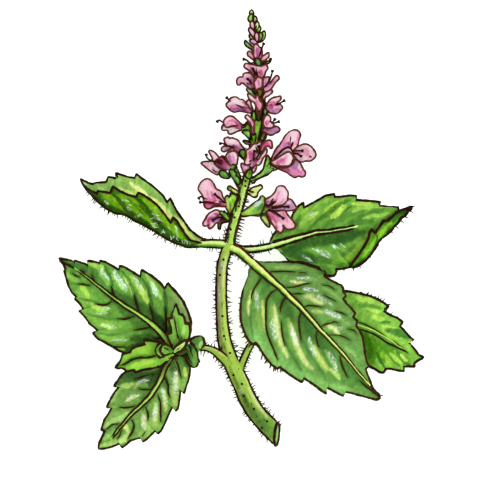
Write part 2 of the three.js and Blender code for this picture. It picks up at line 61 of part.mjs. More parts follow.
// calyx: stalk to mouth; lips: its long lobes; tube and lobes of the corolla; stamens: filament to anther
const FLOWERS = {
  a: {"calyx":[[2.03,13.43,7.31,0.405],[3.65,14.05,7.56,0.405],[5.27,15.0,7.78,0.594],[6.75,15.95,8.01,0.918],[7.96,16.76,8.14,1.134]],"lips":[[[5.94,15.81,8.52,0.54],[6.43,17.7,8.86,0.702],[7.16,19.59,8.5,0.27]],[[6.62,15.59,7.64,0.594],[8.24,16.13,7.49,0.648],[10.12,16.4,7.27,0.27]]],"tube":[[7.16,16.35,7.97,0.594],[9.04,17.84,8.25,0.81],[10.94,18.92,8.36,0.972],[12.69,19.73,8.19,0.918]],"lobes":[[[8.78,18.51,8.29,0.594],[10.12,20.13,8.85,1.08],[11.88,22.02,9.39,1.512],[13.5,24.32,9.59,1.863],[14.58,26.75,8.78,1.62]],[[12.02,20.0,7.86,0.945],[14.04,20.81,7.4,1.458],[16.07,20.81,7.2,2.052],[17.96,20.67,7.31,2.214],[20.12,20.67,7.61,1.782]],[[10.12,17.3,7.89,0.702],[12.02,17.16,7.1,1.458],[14.45,16.54,6.66,2.106],[17.15,15.54,6.54,1.674]],[[7.91,17.43,8.78,0.54],[9.45,18.46,9.7,1.026],[11.34,19.1,10.54,1.89],[12.56,19.46,10.81,1.998],[13.91,19.73,10.69,1.62]]],"stamens":[[[12.56,19.86,8.28],[13.1,20.94,8.68],[14.72,21.26,9.16],[16.74,21.21,9.26]],[[12.56,19.86,8.28],[13.37,20.54,8.62],[14.99,20.4,8.93],[16.34,19.59,9.1]],[[12.56,19.78,8.18],[15.79,19.46,8.21],[17.42,19.32,8.42],[18.9,19.64,8.59]]]},
  b: {"calyx":[[-0.14,3.88,8.56,0.648],[1.49,4.61,8.91,1.026],[3.11,5.28,9.26,1.458],[4.59,6.01,9.5,1.863],[5.8,6.41,9.67,1.836]],"lips":[[[4.19,7.04,10.22,0.756],[5.13,7.98,10.25,0.702],[5.8,8.74,9.99,0.27]],[[4.86,4.61,9.51,0.81],[6.21,2.85,9.54,0.81],[7.34,1.15,9.66,0.405]]],"tube":[[4.72,5.82,9.62,0.864],[6.62,5.87,10.01,0.81],[8.24,5.69,10.33,0.702]],"lobes":[[[6.88,6.55,10.36,0.594],[8.51,7.71,10.87,1.242],[10.26,9.2,11.25,1.89],[11.34,11.27,10.89,1.512]],[[7.43,5.63,10.33,0.378],[9.59,5.82,10.52,0.594],[11.47,6.23,10.68,0.999],[13.1,6.63,10.75,1.485],[14.53,6.36,10.57,1.08]],[[7.02,5.15,10.27,0.486],[8.32,3.26,10.81,0.999],[9.53,1.23,11.15,1.269],[10.48,-0.93,10.99,0.972]],[[7.56,5.28,10.36,0.486],[9.86,4.07,10.95,1.134],[11.75,2.72,11.34,1.566],[13.82,0.69,11.29,1.296]]],"stamens":[[[6.88,5.69,10.33],[7.7,5.15,11.27],[9.31,4.42,11.82],[11.21,3.04,12.12]],[[6.88,5.87,10.31],[7.43,6.5,11.26],[8.1,7.09,11.72],[9.31,7.79,11.86]],[[7.7,5.74,10.42],[9.31,5.87,11.41],[10.94,6.14,11.59],[12.56,6.14,11.59]]]},
  c: {"calyx":[[-1.62,3.12,8.72,0.405],[-2.11,4.74,9.0,0.702],[-2.51,6.36,9.27,1.188],[-2.83,7.85,9.46,1.377],[-2.97,8.65,9.5,1.296]],"lips":[],"tube":[[-2.97,7.58,9.48,0.81],[-4.19,7.17,9.51,0.81],[-5.81,7.17,9.51,0.864]],"lobes":[[[-4.19,7.17,9.71,0.756],[-6.08,7.98,10.05,1.674],[-7.97,9.52,10.33,2.268],[-9.04,11.22,10.39,2.268],[-9.45,13.52,9.81,1.782]],[[-4.46,6.63,9.15,0.486],[-6.62,6.44,8.87,0.702],[-8.51,6.36,8.67,1.026],[-10.13,6.55,8.66,0.81]]],"stamens":[[[-5.54,7.17,9.51],[-7.97,7.98,9.75],[-9.99,8.44,9.91],[-10.99,8.9,10.08],[-11.48,8.44,10.11]],[[-5.54,7.17,9.51],[-7.43,7.01,9.62],[-9.59,7.28,9.7],[-11.12,7.36,9.6]],[[-4.19,7.17,10.11],[-5.0,7.63,10.78],[-5.94,8.52,11.21],[-7.16,9.52,11.43]]]},
  d: {"calyx":[[-2.43,2.04,8.69,0.405],[-3.16,2.72,8.84,0.648],[-4.1,3.53,8.99,0.837],[-5.0,4.25,9.03,0.864]],"lips":[[[-3.78,2.45,8.46,0.486],[-5.05,1.96,8.1,0.486],[-5.99,0.07,7.83,0.378]]],"tube":[[-3.92,3.39,9.0,0.54],[-5.27,3.66,9.28,0.594],[-6.62,3.66,9.38,0.648]],"lobes":[[[-4.73,3.71,9.47,0.594],[-6.62,4.25,9.73,0.972],[-8.51,3.53,9.89,1.161],[-10.18,1.5,9.63,0.864]],[[-4.73,3.26,9.11,0.432],[-6.48,2.85,8.94,0.864],[-7.83,2.04,8.79,1.026],[-8.64,0.56,8.7,0.756]]],"stamens":[[[-4.86,3.53,9.29],[-5.54,3.26,9.91],[-6.35,3.2,10.41],[-7.7,2.5,10.56]]]},
  e: {"calyx":[[0.27,10.95,7.91,0.459],[-0.76,12.71,8.07,0.864],[-1.57,14.6,8.32,1.107],[-2.21,16.22,8.48,1.161]],"lips":[[[-2.43,14.46,8.93,0.594],[-4.19,14.89,9.09,0.783],[-5.72,15.22,8.77,0.432]],[[-2.16,16.08,8.99,0.81],[-2.08,17.62,9.17,0.432]]],"tube":[[-2.03,15.95,8.31,0.756],[-3.65,16.89,8.43,0.918],[-5.27,17.62,8.27,1.134]],"lobes":[[[-6.35,17.97,8.34,0.972],[-7.56,19.59,8.4,0.891],[-8.45,21.53,8.03,0.351]],[[-5.81,16.49,8.06,1.35],[-7.97,16.97,7.82,1.323],[-9.59,17.54,7.57,0.945],[-10.94,18.11,7.33,0.378]],[[-2.97,16.89,8.93,0.864],[-2.75,19.32,9.12,1.404],[-2.57,21.4,8.74,1.161]],[[-3.38,16.94,8.42,0.864],[-5.27,17.7,8.56,1.404],[-7.07,18.43,8.3,0.972]]],"stamens":[[[-5.0,17.57,8.37],[-6.89,18.24,9.11],[-8.37,18.65,9.18],[-9.32,19.37,9.02],[-9.5,20.13,8.85]]]},
  f: {"calyx":[[1.57,12.84,8.36,0.405],[1.7,14.33,9.04,0.702],[2.11,15.68,9.63,0.918],[2.57,16.76,9.94,1.026]],"lips":[],"tube":[[2.43,16.62,9.85,0.756],[3.11,17.97,10.34,0.918],[3.78,19.05,10.65,0.864]],"lobes":[[[3.11,18.11,10.63,1.134],[2.65,20.54,10.82,1.431],[3.38,22.29,10.77,1.269],[5.0,23.91,10.33,0.864]],[[4.32,19.32,10.92,0.81],[5.4,21.21,11.06,0.945],[6.48,22.75,10.93,1.08],[7.83,23.1,10.4,0.945]],[[3.92,17.43,10.48,0.648],[5.13,18.92,10.56,0.945],[6.21,20.67,10.41,0.783],[6.97,22.21,10.08,0.324]],[[3.65,17.84,10.75,0.864],[2.16,17.43,10.78,1.161],[0.95,17.3,10.49,0.891],[0.03,17.89,10.24,0.513]],[[3.38,17.7,10.56,1.026],[2.57,16.49,10.46,1.161],[1.7,15.0,10.28,0.648]]],"stamens":[[[3.38,18.51,11.29],[3.24,19.86,11.58],[3.51,21.08,11.57]],[[3.78,18.92,10.96],[4.59,20.0,11.46],[5.08,20.94,11.58],[4.59,22.34,11.36]]]},
  g: {"calyx":[[1.89,17.97,6.84,0.405],[1.16,19.05,7.15,0.648],[0.46,20.05,7.36,0.918],[-0.19,20.94,7.48,0.972]],"lips":[],"tube":[[0.41,20.4,7.43,0.594],[-0.81,21.48,7.74,0.756],[-2.03,22.16,7.78,0.81]],"lobes":[[[-0.27,21.56,7.93,0.648],[-1.62,23.1,8.3,1.323],[-3.24,24.05,8.42,1.215],[-4.73,24.5,7.98,0.783]],[[-0.41,21.21,7.56,0.54],[-2.29,21.89,7.3,0.945],[-3.92,21.56,7.13,0.81],[-5.45,21.29,6.95,0.486]]],"stamens":[[[-1.76,22.1,7.78],[-3.65,22.56,7.89],[-5.13,23.26,8.18],[-5.72,23.21,8.29]]]},
  h: {"calyx":[[3.38,23.37,5.87,0.405],[2.75,24.72,6.26,0.702],[1.92,26.07,6.54,1.08],[1.11,27.42,6.72,1.296],[0.84,27.83,6.79,1.242]],"lips":[[[1.49,27.15,7.34,0.702],[1.62,28.96,7.29,0.351]]],"tube":[[1.22,27.02,6.76,0.648],[-0.14,27.61,7.1,0.756],[-1.49,27.96,7.17,0.81]],"lobes":[[[0.41,27.69,7.3,0.594],[-1.35,28.91,7.69,1.404],[-3.11,29.36,7.85,1.377],[-5.0,28.91,7.59,0.999]],[[0.41,27.23,6.84,0.486],[-1.49,27.07,6.65,0.891],[-3.11,26.88,6.47,1.107],[-4.46,26.88,6.27,0.837]],[[-2.83,27.96,7.07,0.675],[-4.32,27.77,6.99,0.81],[-5.59,27.64,6.8,0.432]]],"stamens":[[[-1.22,27.96,7.17],[-3.38,28.37,7.29],[-5.0,28.96,7.39],[-5.99,29.53,7.53],[-6.53,29.15,7.67]]]},
  i: {"calyx":[[3.19,23.64,6.85,0.324],[3.32,24.72,7.26,0.54],[3.29,25.67,7.58,0.594]],"lips":[],"tube":[[3.29,25.4,7.5,0.351],[3.21,26.34,7.72,0.378]],"lobes":[[[3.24,25.8,7.66,0.432],[3.02,27.69,8.0,0.729],[2.16,29.45,8.14,0.837],[1.03,30.74,7.83,0.486]]],"stamens":[]},
  j: {"calyx":[[4.54,22.83,6.02,0.351],[5.27,23.91,6.33,0.54],[5.89,24.99,6.63,0.756],[6.16,25.94,6.75,0.756]],"lips":[],"tube":[[6.16,25.53,6.69,0.513],[6.48,26.61,7.09,0.594],[7.02,27.42,7.32,0.648]],"lobes":[[[6.48,26.8,7.38,0.594],[6.83,28.77,7.8,1.053],[7.24,30.66,7.43,0.837]],[[6.62,26.75,7.58,0.594],[7.7,27.96,8.07,1.053],[8.69,28.69,7.91,0.702]],[[6.29,26.53,7.0,0.486],[7.96,26.53,6.9,0.999],[9.31,26.8,6.78,0.945],[10.48,26.66,6.59,0.594]]],"stamens":[[[6.97,27.42,7.42],[7.56,28.1,8.26],[8.37,28.91,8.59],[8.99,29.74,8.32]],[[6.97,27.34,7.43],[7.83,27.77,8.29],[8.91,28.69,8.51],[10.02,29.09,8.27]]]},
  k: {"calyx":[[4.0,28.77,5.1,0.324],[3.65,29.85,5.51,0.54],[3.29,30.93,5.91,0.702],[3.02,31.74,6.14,0.702]],"lips":[],"tube":[[2.97,31.61,6.15,0.513],[1.76,32.36,6.48,0.648],[0.41,32.82,6.64,0.756]],"lobes":[[[2.43,32.41,6.68,0.594],[0.41,33.63,6.97,1.215],[-1.62,34.44,7.09,1.269],[-3.38,34.3,6.81,0.945]],[[2.57,32.01,6.31,0.54],[0.41,32.6,6.06,0.837],[-1.76,32.93,5.83,0.999],[-3.92,33.23,5.6,0.729]],[[2.43,32.69,7.05,0.486],[1.76,33.77,7.36,0.594],[1.22,34.76,7.27,0.378]]],"stamens":[[[0.68,32.82,6.64],[-1.49,33.9,6.59],[-2.97,34.63,6.78],[-3.97,35.57,7.09]]]},
  l: {"calyx":[[4.94,29.04,4.98,0.324],[5.75,30.26,5.37,0.486],[6.35,31.47,5.76,0.702],[6.56,32.55,5.96,0.702]],"lips":[],"tube":[[6.48,32.15,6.0,0.54],[7.29,32.95,6.43,0.702],[8.24,33.44,6.48,0.756]],"lobes":[[[6.75,32.9,6.63,0.81],[7.96,34.36,6.9,1.053],[9.31,35.2,6.93,0.729],[10.94,35.57,6.69,0.486]],[[6.75,32.55,6.16,0.81],[8.24,32.55,6.06,1.215],[9.72,32.6,5.96,1.215],[11.29,32.82,5.84,0.81]]],"stamens":[[[7.96,33.36,6.59],[9.04,33.77,7.06],[10.12,34.01,7.33],[11.53,34.79,7.36]]]},
  m: {"calyx":[[4.72,29.31,5.95,0.324],[4.62,30.8,6.52,0.54],[4.51,32.01,7.01,0.594]],"lips":[],"tube":[[4.54,31.74,7.04,0.351],[4.51,32.95,7.43,0.432]],"lobes":[[[4.32,33.23,7.8,0.432],[3.11,34.84,8.06,0.675],[1.84,36.52,7.71,0.351]],[[4.54,32.55,7.56,0.432],[4.67,34.17,8.12,0.783],[4.0,36.11,7.84,0.405]],[[4.72,32.41,7.48,0.378],[5.4,33.63,7.87,0.513],[5.8,34.9,7.65,0.27]]],"stamens":[]},
  n: {"calyx":[[4.46,35.52,4.0,0.297],[4.0,36.6,4.5,0.513],[3.65,37.55,4.91,0.675],[3.43,38.22,5.15,0.675]],"lips":[],"tube":[[3.51,37.95,5.18,0.513],[2.97,38.95,5.48,0.648],[2.16,39.76,5.61,0.702]],"lobes":[[[3.38,38.57,5.72,0.648],[2.57,40.11,6.08,1.215],[1.43,41.46,5.95,0.999]],[[2.97,39.03,5.48,0.594],[1.22,40.11,5.48,0.999],[-1.05,40.3,5.16,0.945]]],"stamens":[[[2.7,39.22,5.66],[2.57,39.7,6.41],[2.16,40.16,6.77],[1.7,40.65,6.73]]]},
  o: {"calyx":[[5.08,34.44,5.09,0.324],[5.27,35.66,5.78,0.54],[5.32,36.87,6.37,0.81],[5.32,37.87,6.68,0.783]],"lips":[],"tube":[[5.32,37.27,6.54,0.513],[5.54,38.35,6.94,0.648]],"lobes":[[[5.0,37.41,7.02,0.648],[4.19,39.03,7.38,1.161],[4.72,41.19,7.18,0.729]],[[5.62,37.55,7.11,0.594],[6.48,39.16,7.56,0.999],[7.21,41.14,7.28,0.567]],[[5.94,37.55,6.91,0.54],[7.96,39.03,7.08,0.783],[9.91,41.14,6.58,0.621]],[[5.67,37.27,6.64,0.486],[7.02,37.27,6.64,0.837],[8.4,37.46,6.32,0.486]]],"stamens":[[[5.54,38.22,6.95],[6.75,38.9,7.89],[7.64,40.52,8.14],[8.18,42.0,7.8],[8.34,42.76,7.63]]]},
  p: {"calyx":[[4.19,38.22,4.55,0.297],[4.19,39.44,5.04,0.486],[4.32,40.65,5.43,0.621]],"lips":[],"tube":[[4.32,40.38,5.55,0.459],[4.4,41.59,5.94,0.621]],"lobes":[[[4.19,41.19,6.08,0.702],[2.83,42.95,6.42,1.053],[1.16,44.21,6.1,0.675]],[[4.46,41.05,5.89,0.81],[4.46,42.81,5.93,1.404],[4.27,44.43,5.68,0.972]],[[5.0,41.19,6.08,0.702],[6.02,42.73,6.44,1.053],[7.02,44.08,6.11,0.621]]],"stamens":[[[4.4,41.46,6.05],[4.05,42.0,6.8],[3.65,42.67,7.14],[3.11,43.35,7.08]]]},
  q: {"calyx":[[4.27,42.54,3.85,0.324],[4.43,43.62,4.45,0.594],[4.51,44.84,5.04,0.972],[4.4,45.78,5.35,0.999]],"lips":[[[5.0,44.84,5.24,0.432],[6.62,45.05,5.32,0.54],[8.02,46.1,5.12,0.189]]],"tube":[[4.46,45.24,5.3,0.594],[4.4,46.32,5.7,0.702]],"lobes":[[[4.32,45.65,5.87,0.864],[4.46,47.67,6.18,1.269],[4.13,49.94,5.76,0.81]],[[4.13,45.91,5.64,0.54],[2.97,46.78,5.86,0.864],[1.84,47.86,5.56,0.621]],[[4.72,45.91,5.64,0.54],[6.08,46.59,5.88,0.783],[7.4,47.45,5.6,0.621]]],"stamens":[[[4.32,45.91,5.74],[3.51,45.24,6.2],[2.43,44.97,6.13],[1.35,45.78,5.85],[0.62,46.0,5.83],[0.32,45.67,5.76]],[[4.59,46.32,5.8],[5.13,47.67,6.38],[5.54,49.02,6.35],[5.97,50.15,6.14]]]},
};
const BRACTS = [[[4.24,35.79,4.47,0.378],[2.7,37.06,5.16,0.54],[1.43,38.14,5.26,0.27]],[[3.75,47.94,2.55,0.324],[2.21,49.37,3.12,0.621],[1.0,50.96,3.07,0.243]],[[3.51,22.83,6.32,0.324],[1.76,23.64,6.95,0.432],[0.49,24.07,7.11,0.297]]];
const OLD_CALYX = {
  old_calyx_left: {"calyx":[[-0.27,9.33,8.44,0.27],[-1.49,10.19,8.77,0.486],[-3.29,11.22,8.89,0.513]],"lips":[]},
  old_calyx_right: {"calyx":[[1.89,9.87,8.3,0.27],[2.7,10.06,8.59,0.459]],"lips":[[[2.43,10.19,8.57,0.378],[3.78,10.87,8.82,0.837],[5.62,11.87,8.84,0.432]],[[2.43,9.98,8.49,0.378],[3.29,9.41,8.74,0.783],[3.86,8.79,8.79,0.54]]]},
  old_calyx_back_lower: {"calyx":[[-0.81,5.55,7.44,0.324],[-1.35,6.77,5.84,0.594],[-1.76,8.12,4.14,0.972],[-2.03,9.33,2.94,1.134]],"lips":[[[-1.89,8.79,2.09,0.81],[-2.13,10.54,1.15,0.378]]]},
  old_calyx_back_upper: {"calyx":[[2.03,17.16,5.7,0.324],[2.43,18.38,4.2,0.594],[2.83,19.73,2.79,0.918],[3.11,20.94,1.88,1.08]],"lips":[[[2.97,20.4,1.13,0.756],[3.21,22.16,0.28,0.351]]]},
};
const BUDS_GREEN = [[[4.46,51.05,1.66,0.378],[5.08,52.18,2.15,0.648],[5.13,53.12,2.06,0.405]],[[4.32,50.77,1.38,0.324],[5.62,51.91,1.78,0.648],[6.13,53.56,1.82,0.432]],[[3.65,51.18,2.05,0.324],[2.97,51.91,2.48,0.567],[2.32,52.45,2.33,0.405]],[[3.48,52.4,1.33,0.324],[3.62,53.48,2.53,0.54],[3.59,54.15,2.76,0.324]],[[3.73,53.88,1.49,0.378],[4.13,55.09,1.97,0.621],[4.27,56.12,1.78,0.351]],[[4.0,53.2,1.45,0.351],[4.67,54.29,1.75,0.54],[4.62,55.01,1.58,0.324]],[[3.0,55.91,1.0,0.351],[2.4,57.12,1.48,0.621],[2.92,58.25,1.37,0.27]],[[3.38,55.77,1.01,0.297],[3.73,56.9,1.4,0.459],[3.54,57.71,1.22,0.216]],[[2.89,57.52,0.44,0.324],[2.73,58.66,0.63,0.567],[2.73,59.28,0.47,0.324]]];
const BUD_CORE = [[3.97,49.29,1.87,0.513],[3.59,51.18,1.55,0.513],[3.32,53.88,1.09,0.486],[3.11,56.04,0.68,0.432],[2.83,57.93,0.3,0.324]];
const BUDS_PINK = {
  bud_pink_1: [[4.08,50.23,2.53,0.324],[3.24,50.83,2.98,0.675],[2.38,51.18,3.05,0.405]],
  bud_pink_2: [[4.19,50.91,2.77,0.324],[4.13,52.12,3.16,0.621],[4.02,53.26,2.95,0.324]],
  bud_pink_3: [[3.56,52.12,2.56,0.324],[2.94,53.2,2.95,0.675],[2.16,54.37,2.64,0.432]],
  bud_pink_4: [[3.19,54.15,2.06,0.324],[2.92,55.23,2.46,0.621],[2.81,56.23,2.17,0.378]],
};

// ---------------------------------------------------------------- small vector helpers
const add = (a, b) => [a[0] + b[0], a[1] + b[1], a[2] + b[2]];
const sub = (a, b) => [a[0] - b[0], a[1] - b[1], a[2] - b[2]];
const mul = (a, s) => [a[0] * s, a[1] * s, a[2] * s];
const mad = (a, b, s) => [a[0] + b[0] * s, a[1] + b[1] * s, a[2] + b[2] * s];
const mix = (a, b, t) => a.map((v, i) => v + (b[i] - v) * t);
const len = (a) => Math.hypot(a[0], a[1], a[2]);
const nrm = (a) => { const l = len(a) || 1; return [a[0] / l, a[1] / l, a[2] / l]; };
const cross = (a, b) => [a[1] * b[2] - a[2] * b[1], a[2] * b[0] - a[0] * b[2], a[0] * b[1] - a[1] * b[0]];
const clamp = (x, a, b) => Math.min(b, Math.max(a, x));
const smooth = (x) => { const t = clamp(x, 0, 1); return t * t * (3 - 2 * t); };

// A smooth curve through control points of any dimension, read by its share of arc length.
function curve(ctrl, per = 10) {
  const n = ctrl.length, P = [];
  const at = (i) => ctrl[clamp(i, 0, n - 1)];
  for (let i = 0; i < n - 1; i++) {
    const a = at(i - 1), b = at(i), c = at(i + 1), d = at(i + 2);
    for (let k = 0; k < per; k++) {
      const t = k / per, t2 = t * t, t3 = t2 * t;
      P.push(b.map((v, j) => 0.5 * (2 * b[j] + (c[j] - a[j]) * t + (2 * a[j] - 5 * b[j] + 4 * c[j] - d[j]) * t2 + (3 * b[j] - a[j] - 3 * c[j] + d[j]) * t3)));
    }
  }
  P.push(ctrl[n - 1].slice());
  return poly(P);
}
// A polyline read the same way, corners kept.
function poly(P) {
  const dims = Math.min(3, P[0].length), S = [0];
  for (let i = 1; i < P.length; i++) {
    let d = 0;
    for (let j = 0; j < dims; j++) d += (P[i][j] - P[i - 1][j]) ** 2;
    S.push(S[i - 1] + Math.sqrt(d));
  }
  const total = S[S.length - 1];
  const at = (t) => {
    const s = clamp(t, 0, 1) * total;
    let lo = 0, hi = S.length - 1;
    while (hi - lo > 1) { const m = (lo + hi) >> 1; if (S[m] <= s) lo = m; else hi = m; }
    const k = S[hi] > S[lo] ? (s - S[lo]) / (S[hi] - S[lo]) : 0;
    return mix(P[lo], P[hi], k);
  };
  const tangent = (t) => nrm(sub(at(Math.min(1, t + 0.012)).slice(0, 3), at(Math.max(0, t - 0.012)).slice(0, 3)));
  return { at, tangent, total, marks: S.map((s) => s / total) };
}
const table = (z) => (s) => { const x = clamp(s, 0, 1) * (z.length - 1), i = Math.min(z.length - 2, Math.floor(x)); return z[i] + (z[i + 1] - z[i]) * (x - i); };

// ---------------------------------------------------------------- closed lofts
// Rings of equal size are joined in order, and each end is closed by a point.
function loft(rings, endA, endB) {
  const n = rings[0].length, pos = [], tri = [];
  rings.forEach((r) => r.forEach((p) => pos.push(p)));
  for (let i = 0; i < rings.length - 1; i++) {
    for (let j = 0; j < n; j++) {
      const a = i * n + j, b = i * n + ((j + 1) % n), c = a + n, d = b + n;
      tri.push([a, b, d], [a, d, c]);
    }
  }
  const A = pos.push(endA) - 1, B = pos.push(endB) - 1, m = (rings.length - 1) * n;
  for (let j = 0; j < n; j++) {
    const k = (j + 1) % n;
    tri.push([A, k, j], [B, m + j, m + k]);
  }
  let vol = 0;
  for (const [a, b, c] of tri) {
    const q = cross(pos[b], pos[c]);
    vol += pos[a][0] * q[0] + pos[a][1] * q[1] + pos[a][2] * q[2];
  }
  if (vol < 0) tri.forEach((t) => t.reverse());
  return { pos, tri };
}
const solid = (m) => new wasm.Manifold(new wasm.Mesh({ numProp: 3, vertProperties: new Float32Array(m.pos.flat()), triVerts: new Uint32Array(m.tri.flat()) }));
const join = (parts) => parts.reduce((a, b) => (a ? a.add(b) : b), null);

// A round rod of changing radius along a curve through [x, y, z, r] points.
function rod(ctrl, o = {}) {
  const { sides = 8, rows = 8, grow = 0, square = 0, cutNormal = null, capA = 0, capB = 0 } = o;
  const c = curve(ctrl), rings = [];
  let ref = [0, 0, 1];
  for (let i = 0; i <= rows; i++) {
    const t = i / rows, p = c.at(t), T = c.tangent(t), r = p[3] + grow;
    if (Math.abs(T[2]) > 0.95) ref = [0, 1, 0];
    const R = nrm(cross(T, ref)), N = cross(R, T), ring = [];
    for (let j = 0; j < sides; j++) {
      const a = (j / sides) * Math.PI * 2, q = r * (1 + square * Math.cos(4 * a - Math.PI));
      let v = add(p.slice(0, 3), add(mul(R, q * Math.cos(a)), mul(N, q * Math.sin(a))));
      if (cutNormal && i === 0) {
        // the cut end lies in its own oblique plane
        const d = sub(v, p.slice(0, 3)), h = (d[0] * cutNormal[0] + d[1] * cutNormal[1] + d[2] * cutNormal[2]) / (T[0] * cutNormal[0] + T[1] * cutNormal[1] + T[2] * cutNormal[2]);
        v = mad(v, T, -h);
      }
      ring.push(v);
    }
    rings.push(ring);
  }
  const a = c.at(0), b = c.at(1);
  return solid(loft(rings, mad(a.slice(0, 3), c.tangent(0), -(capA + grow)), mad(b.slice(0, 3), c.tangent(1), capB + grow)));
}

// A petal or lip: a thin strip of changing width along a curve through [x, y, z, half width]
// points, its far end rounded, its two edges raised or dropped by cup x half width.
function strip(ctrl, o = {}) {
  const { rows = 6, cols = 1, th = PETAL_THICKNESS, cup = 0, grow = 0, up = [0, 0, 1], ext = 0 } = o;
  const c = curve(ctrl), rings = [], wEnd = ctrl[ctrl.length - 1][3];
  const tEnd = 1 - Math.min(0.45, wEnd / c.total);
  const ts = [];
  for (let i = 0; i < rows; i++) ts.push((i / (rows - 1)) * tEnd);
  if (wEnd > 0.25) ts.push(tEnd + (1 - tEnd) * 0.6, tEnd + (1 - tEnd) * 0.9); else ts.push(tEnd + (1 - tEnd) * 0.7);
  for (const t of ts) {
    const p = c.at(t), T = c.tangent(t), R = nrm(cross(T, up)), N = cross(R, T);
    let w = p[3];
    if (t > tEnd) w *= Math.sqrt(Math.max(0, 1 - ((t - tEnd) / (1 - tEnd)) ** 2));
    const W = w + grow, h = th / 2 + grow, top = [], bot = [];
    for (let k = -cols; k <= cols; k++) {
      const v = k / cols, base = mad(mad(p.slice(0, 3), R, W * v), N, cup * w * v * v);
      top.push(mad(base, N, h));
      bot.push(mad(base, N, -h));
    }
    rings.push(top.concat(bot.reverse()));
  }
  const a = c.at(0), b = c.at(1);
  return solid(loft(rings, mad(a.slice(0, 3), c.tangent(0), -grow), mad(b.slice(0, 3), c.tangent(1), grow + ext)));
}

// A calyx: a stalk that widens to a toothed cup, hollow at the mouth.
function cup(ctrl, o = {}) {
  const { sides = 6, rows = 3, grow = 0, teeth = 0.35, wall = 0.24, deep = 0.5, filled = false } = o;
  const c = curve(ctrl), rings = [];
  const frame = (t) => { const T = c.tangent(t), R = nrm(cross(T, [0, 0, 1])); return { T, R, N: cross(R, T) }; };
  const ringAt = (t, r, shift) => {
    const p = c.at(t), f = frame(t), ring = [];
    for (let j = 0; j < sides; j++) {
      const a = (j / sides) * Math.PI * 2;
      ring.push(mad(mad(mad(p.slice(0, 3), f.R, r * Math.cos(a)), f.N, r * Math.sin(a)), f.T, shift(j)));
    }
    return ring;
  };
  for (let i = 0; i <= rows; i++) { const t = i / rows; rings.push(ringAt(t, c.at(t)[3] + grow, () => 0)); }
  const rm = c.at(1)[3];
  rings.push(ringAt(1, rm * 0.96 + grow, (j) => (j % 2 ? 0.05 : teeth * rm) + grow));
  const a = c.at(0), tIn = 1 - (deep * rm) / c.total, inner = c.at(tIn);
  if (!filled) {
    rings.push(ringAt(1, Math.max(0.12, rm - wall), () => -0.12 * rm));
    rings.push(ringAt(tIn, Math.max(0.1, (inner[3] - wall) * 0.8), () => 0));
  }
  const e = filled ? mad(c.at(1).slice(0, 3), frame(1).T, grow) : mad(inner.slice(0, 3), frame(tIn).T, -0.1);
  return solid(loft(rings, mad(a.slice(0, 3), c.tangent(0), -grow), e));
}

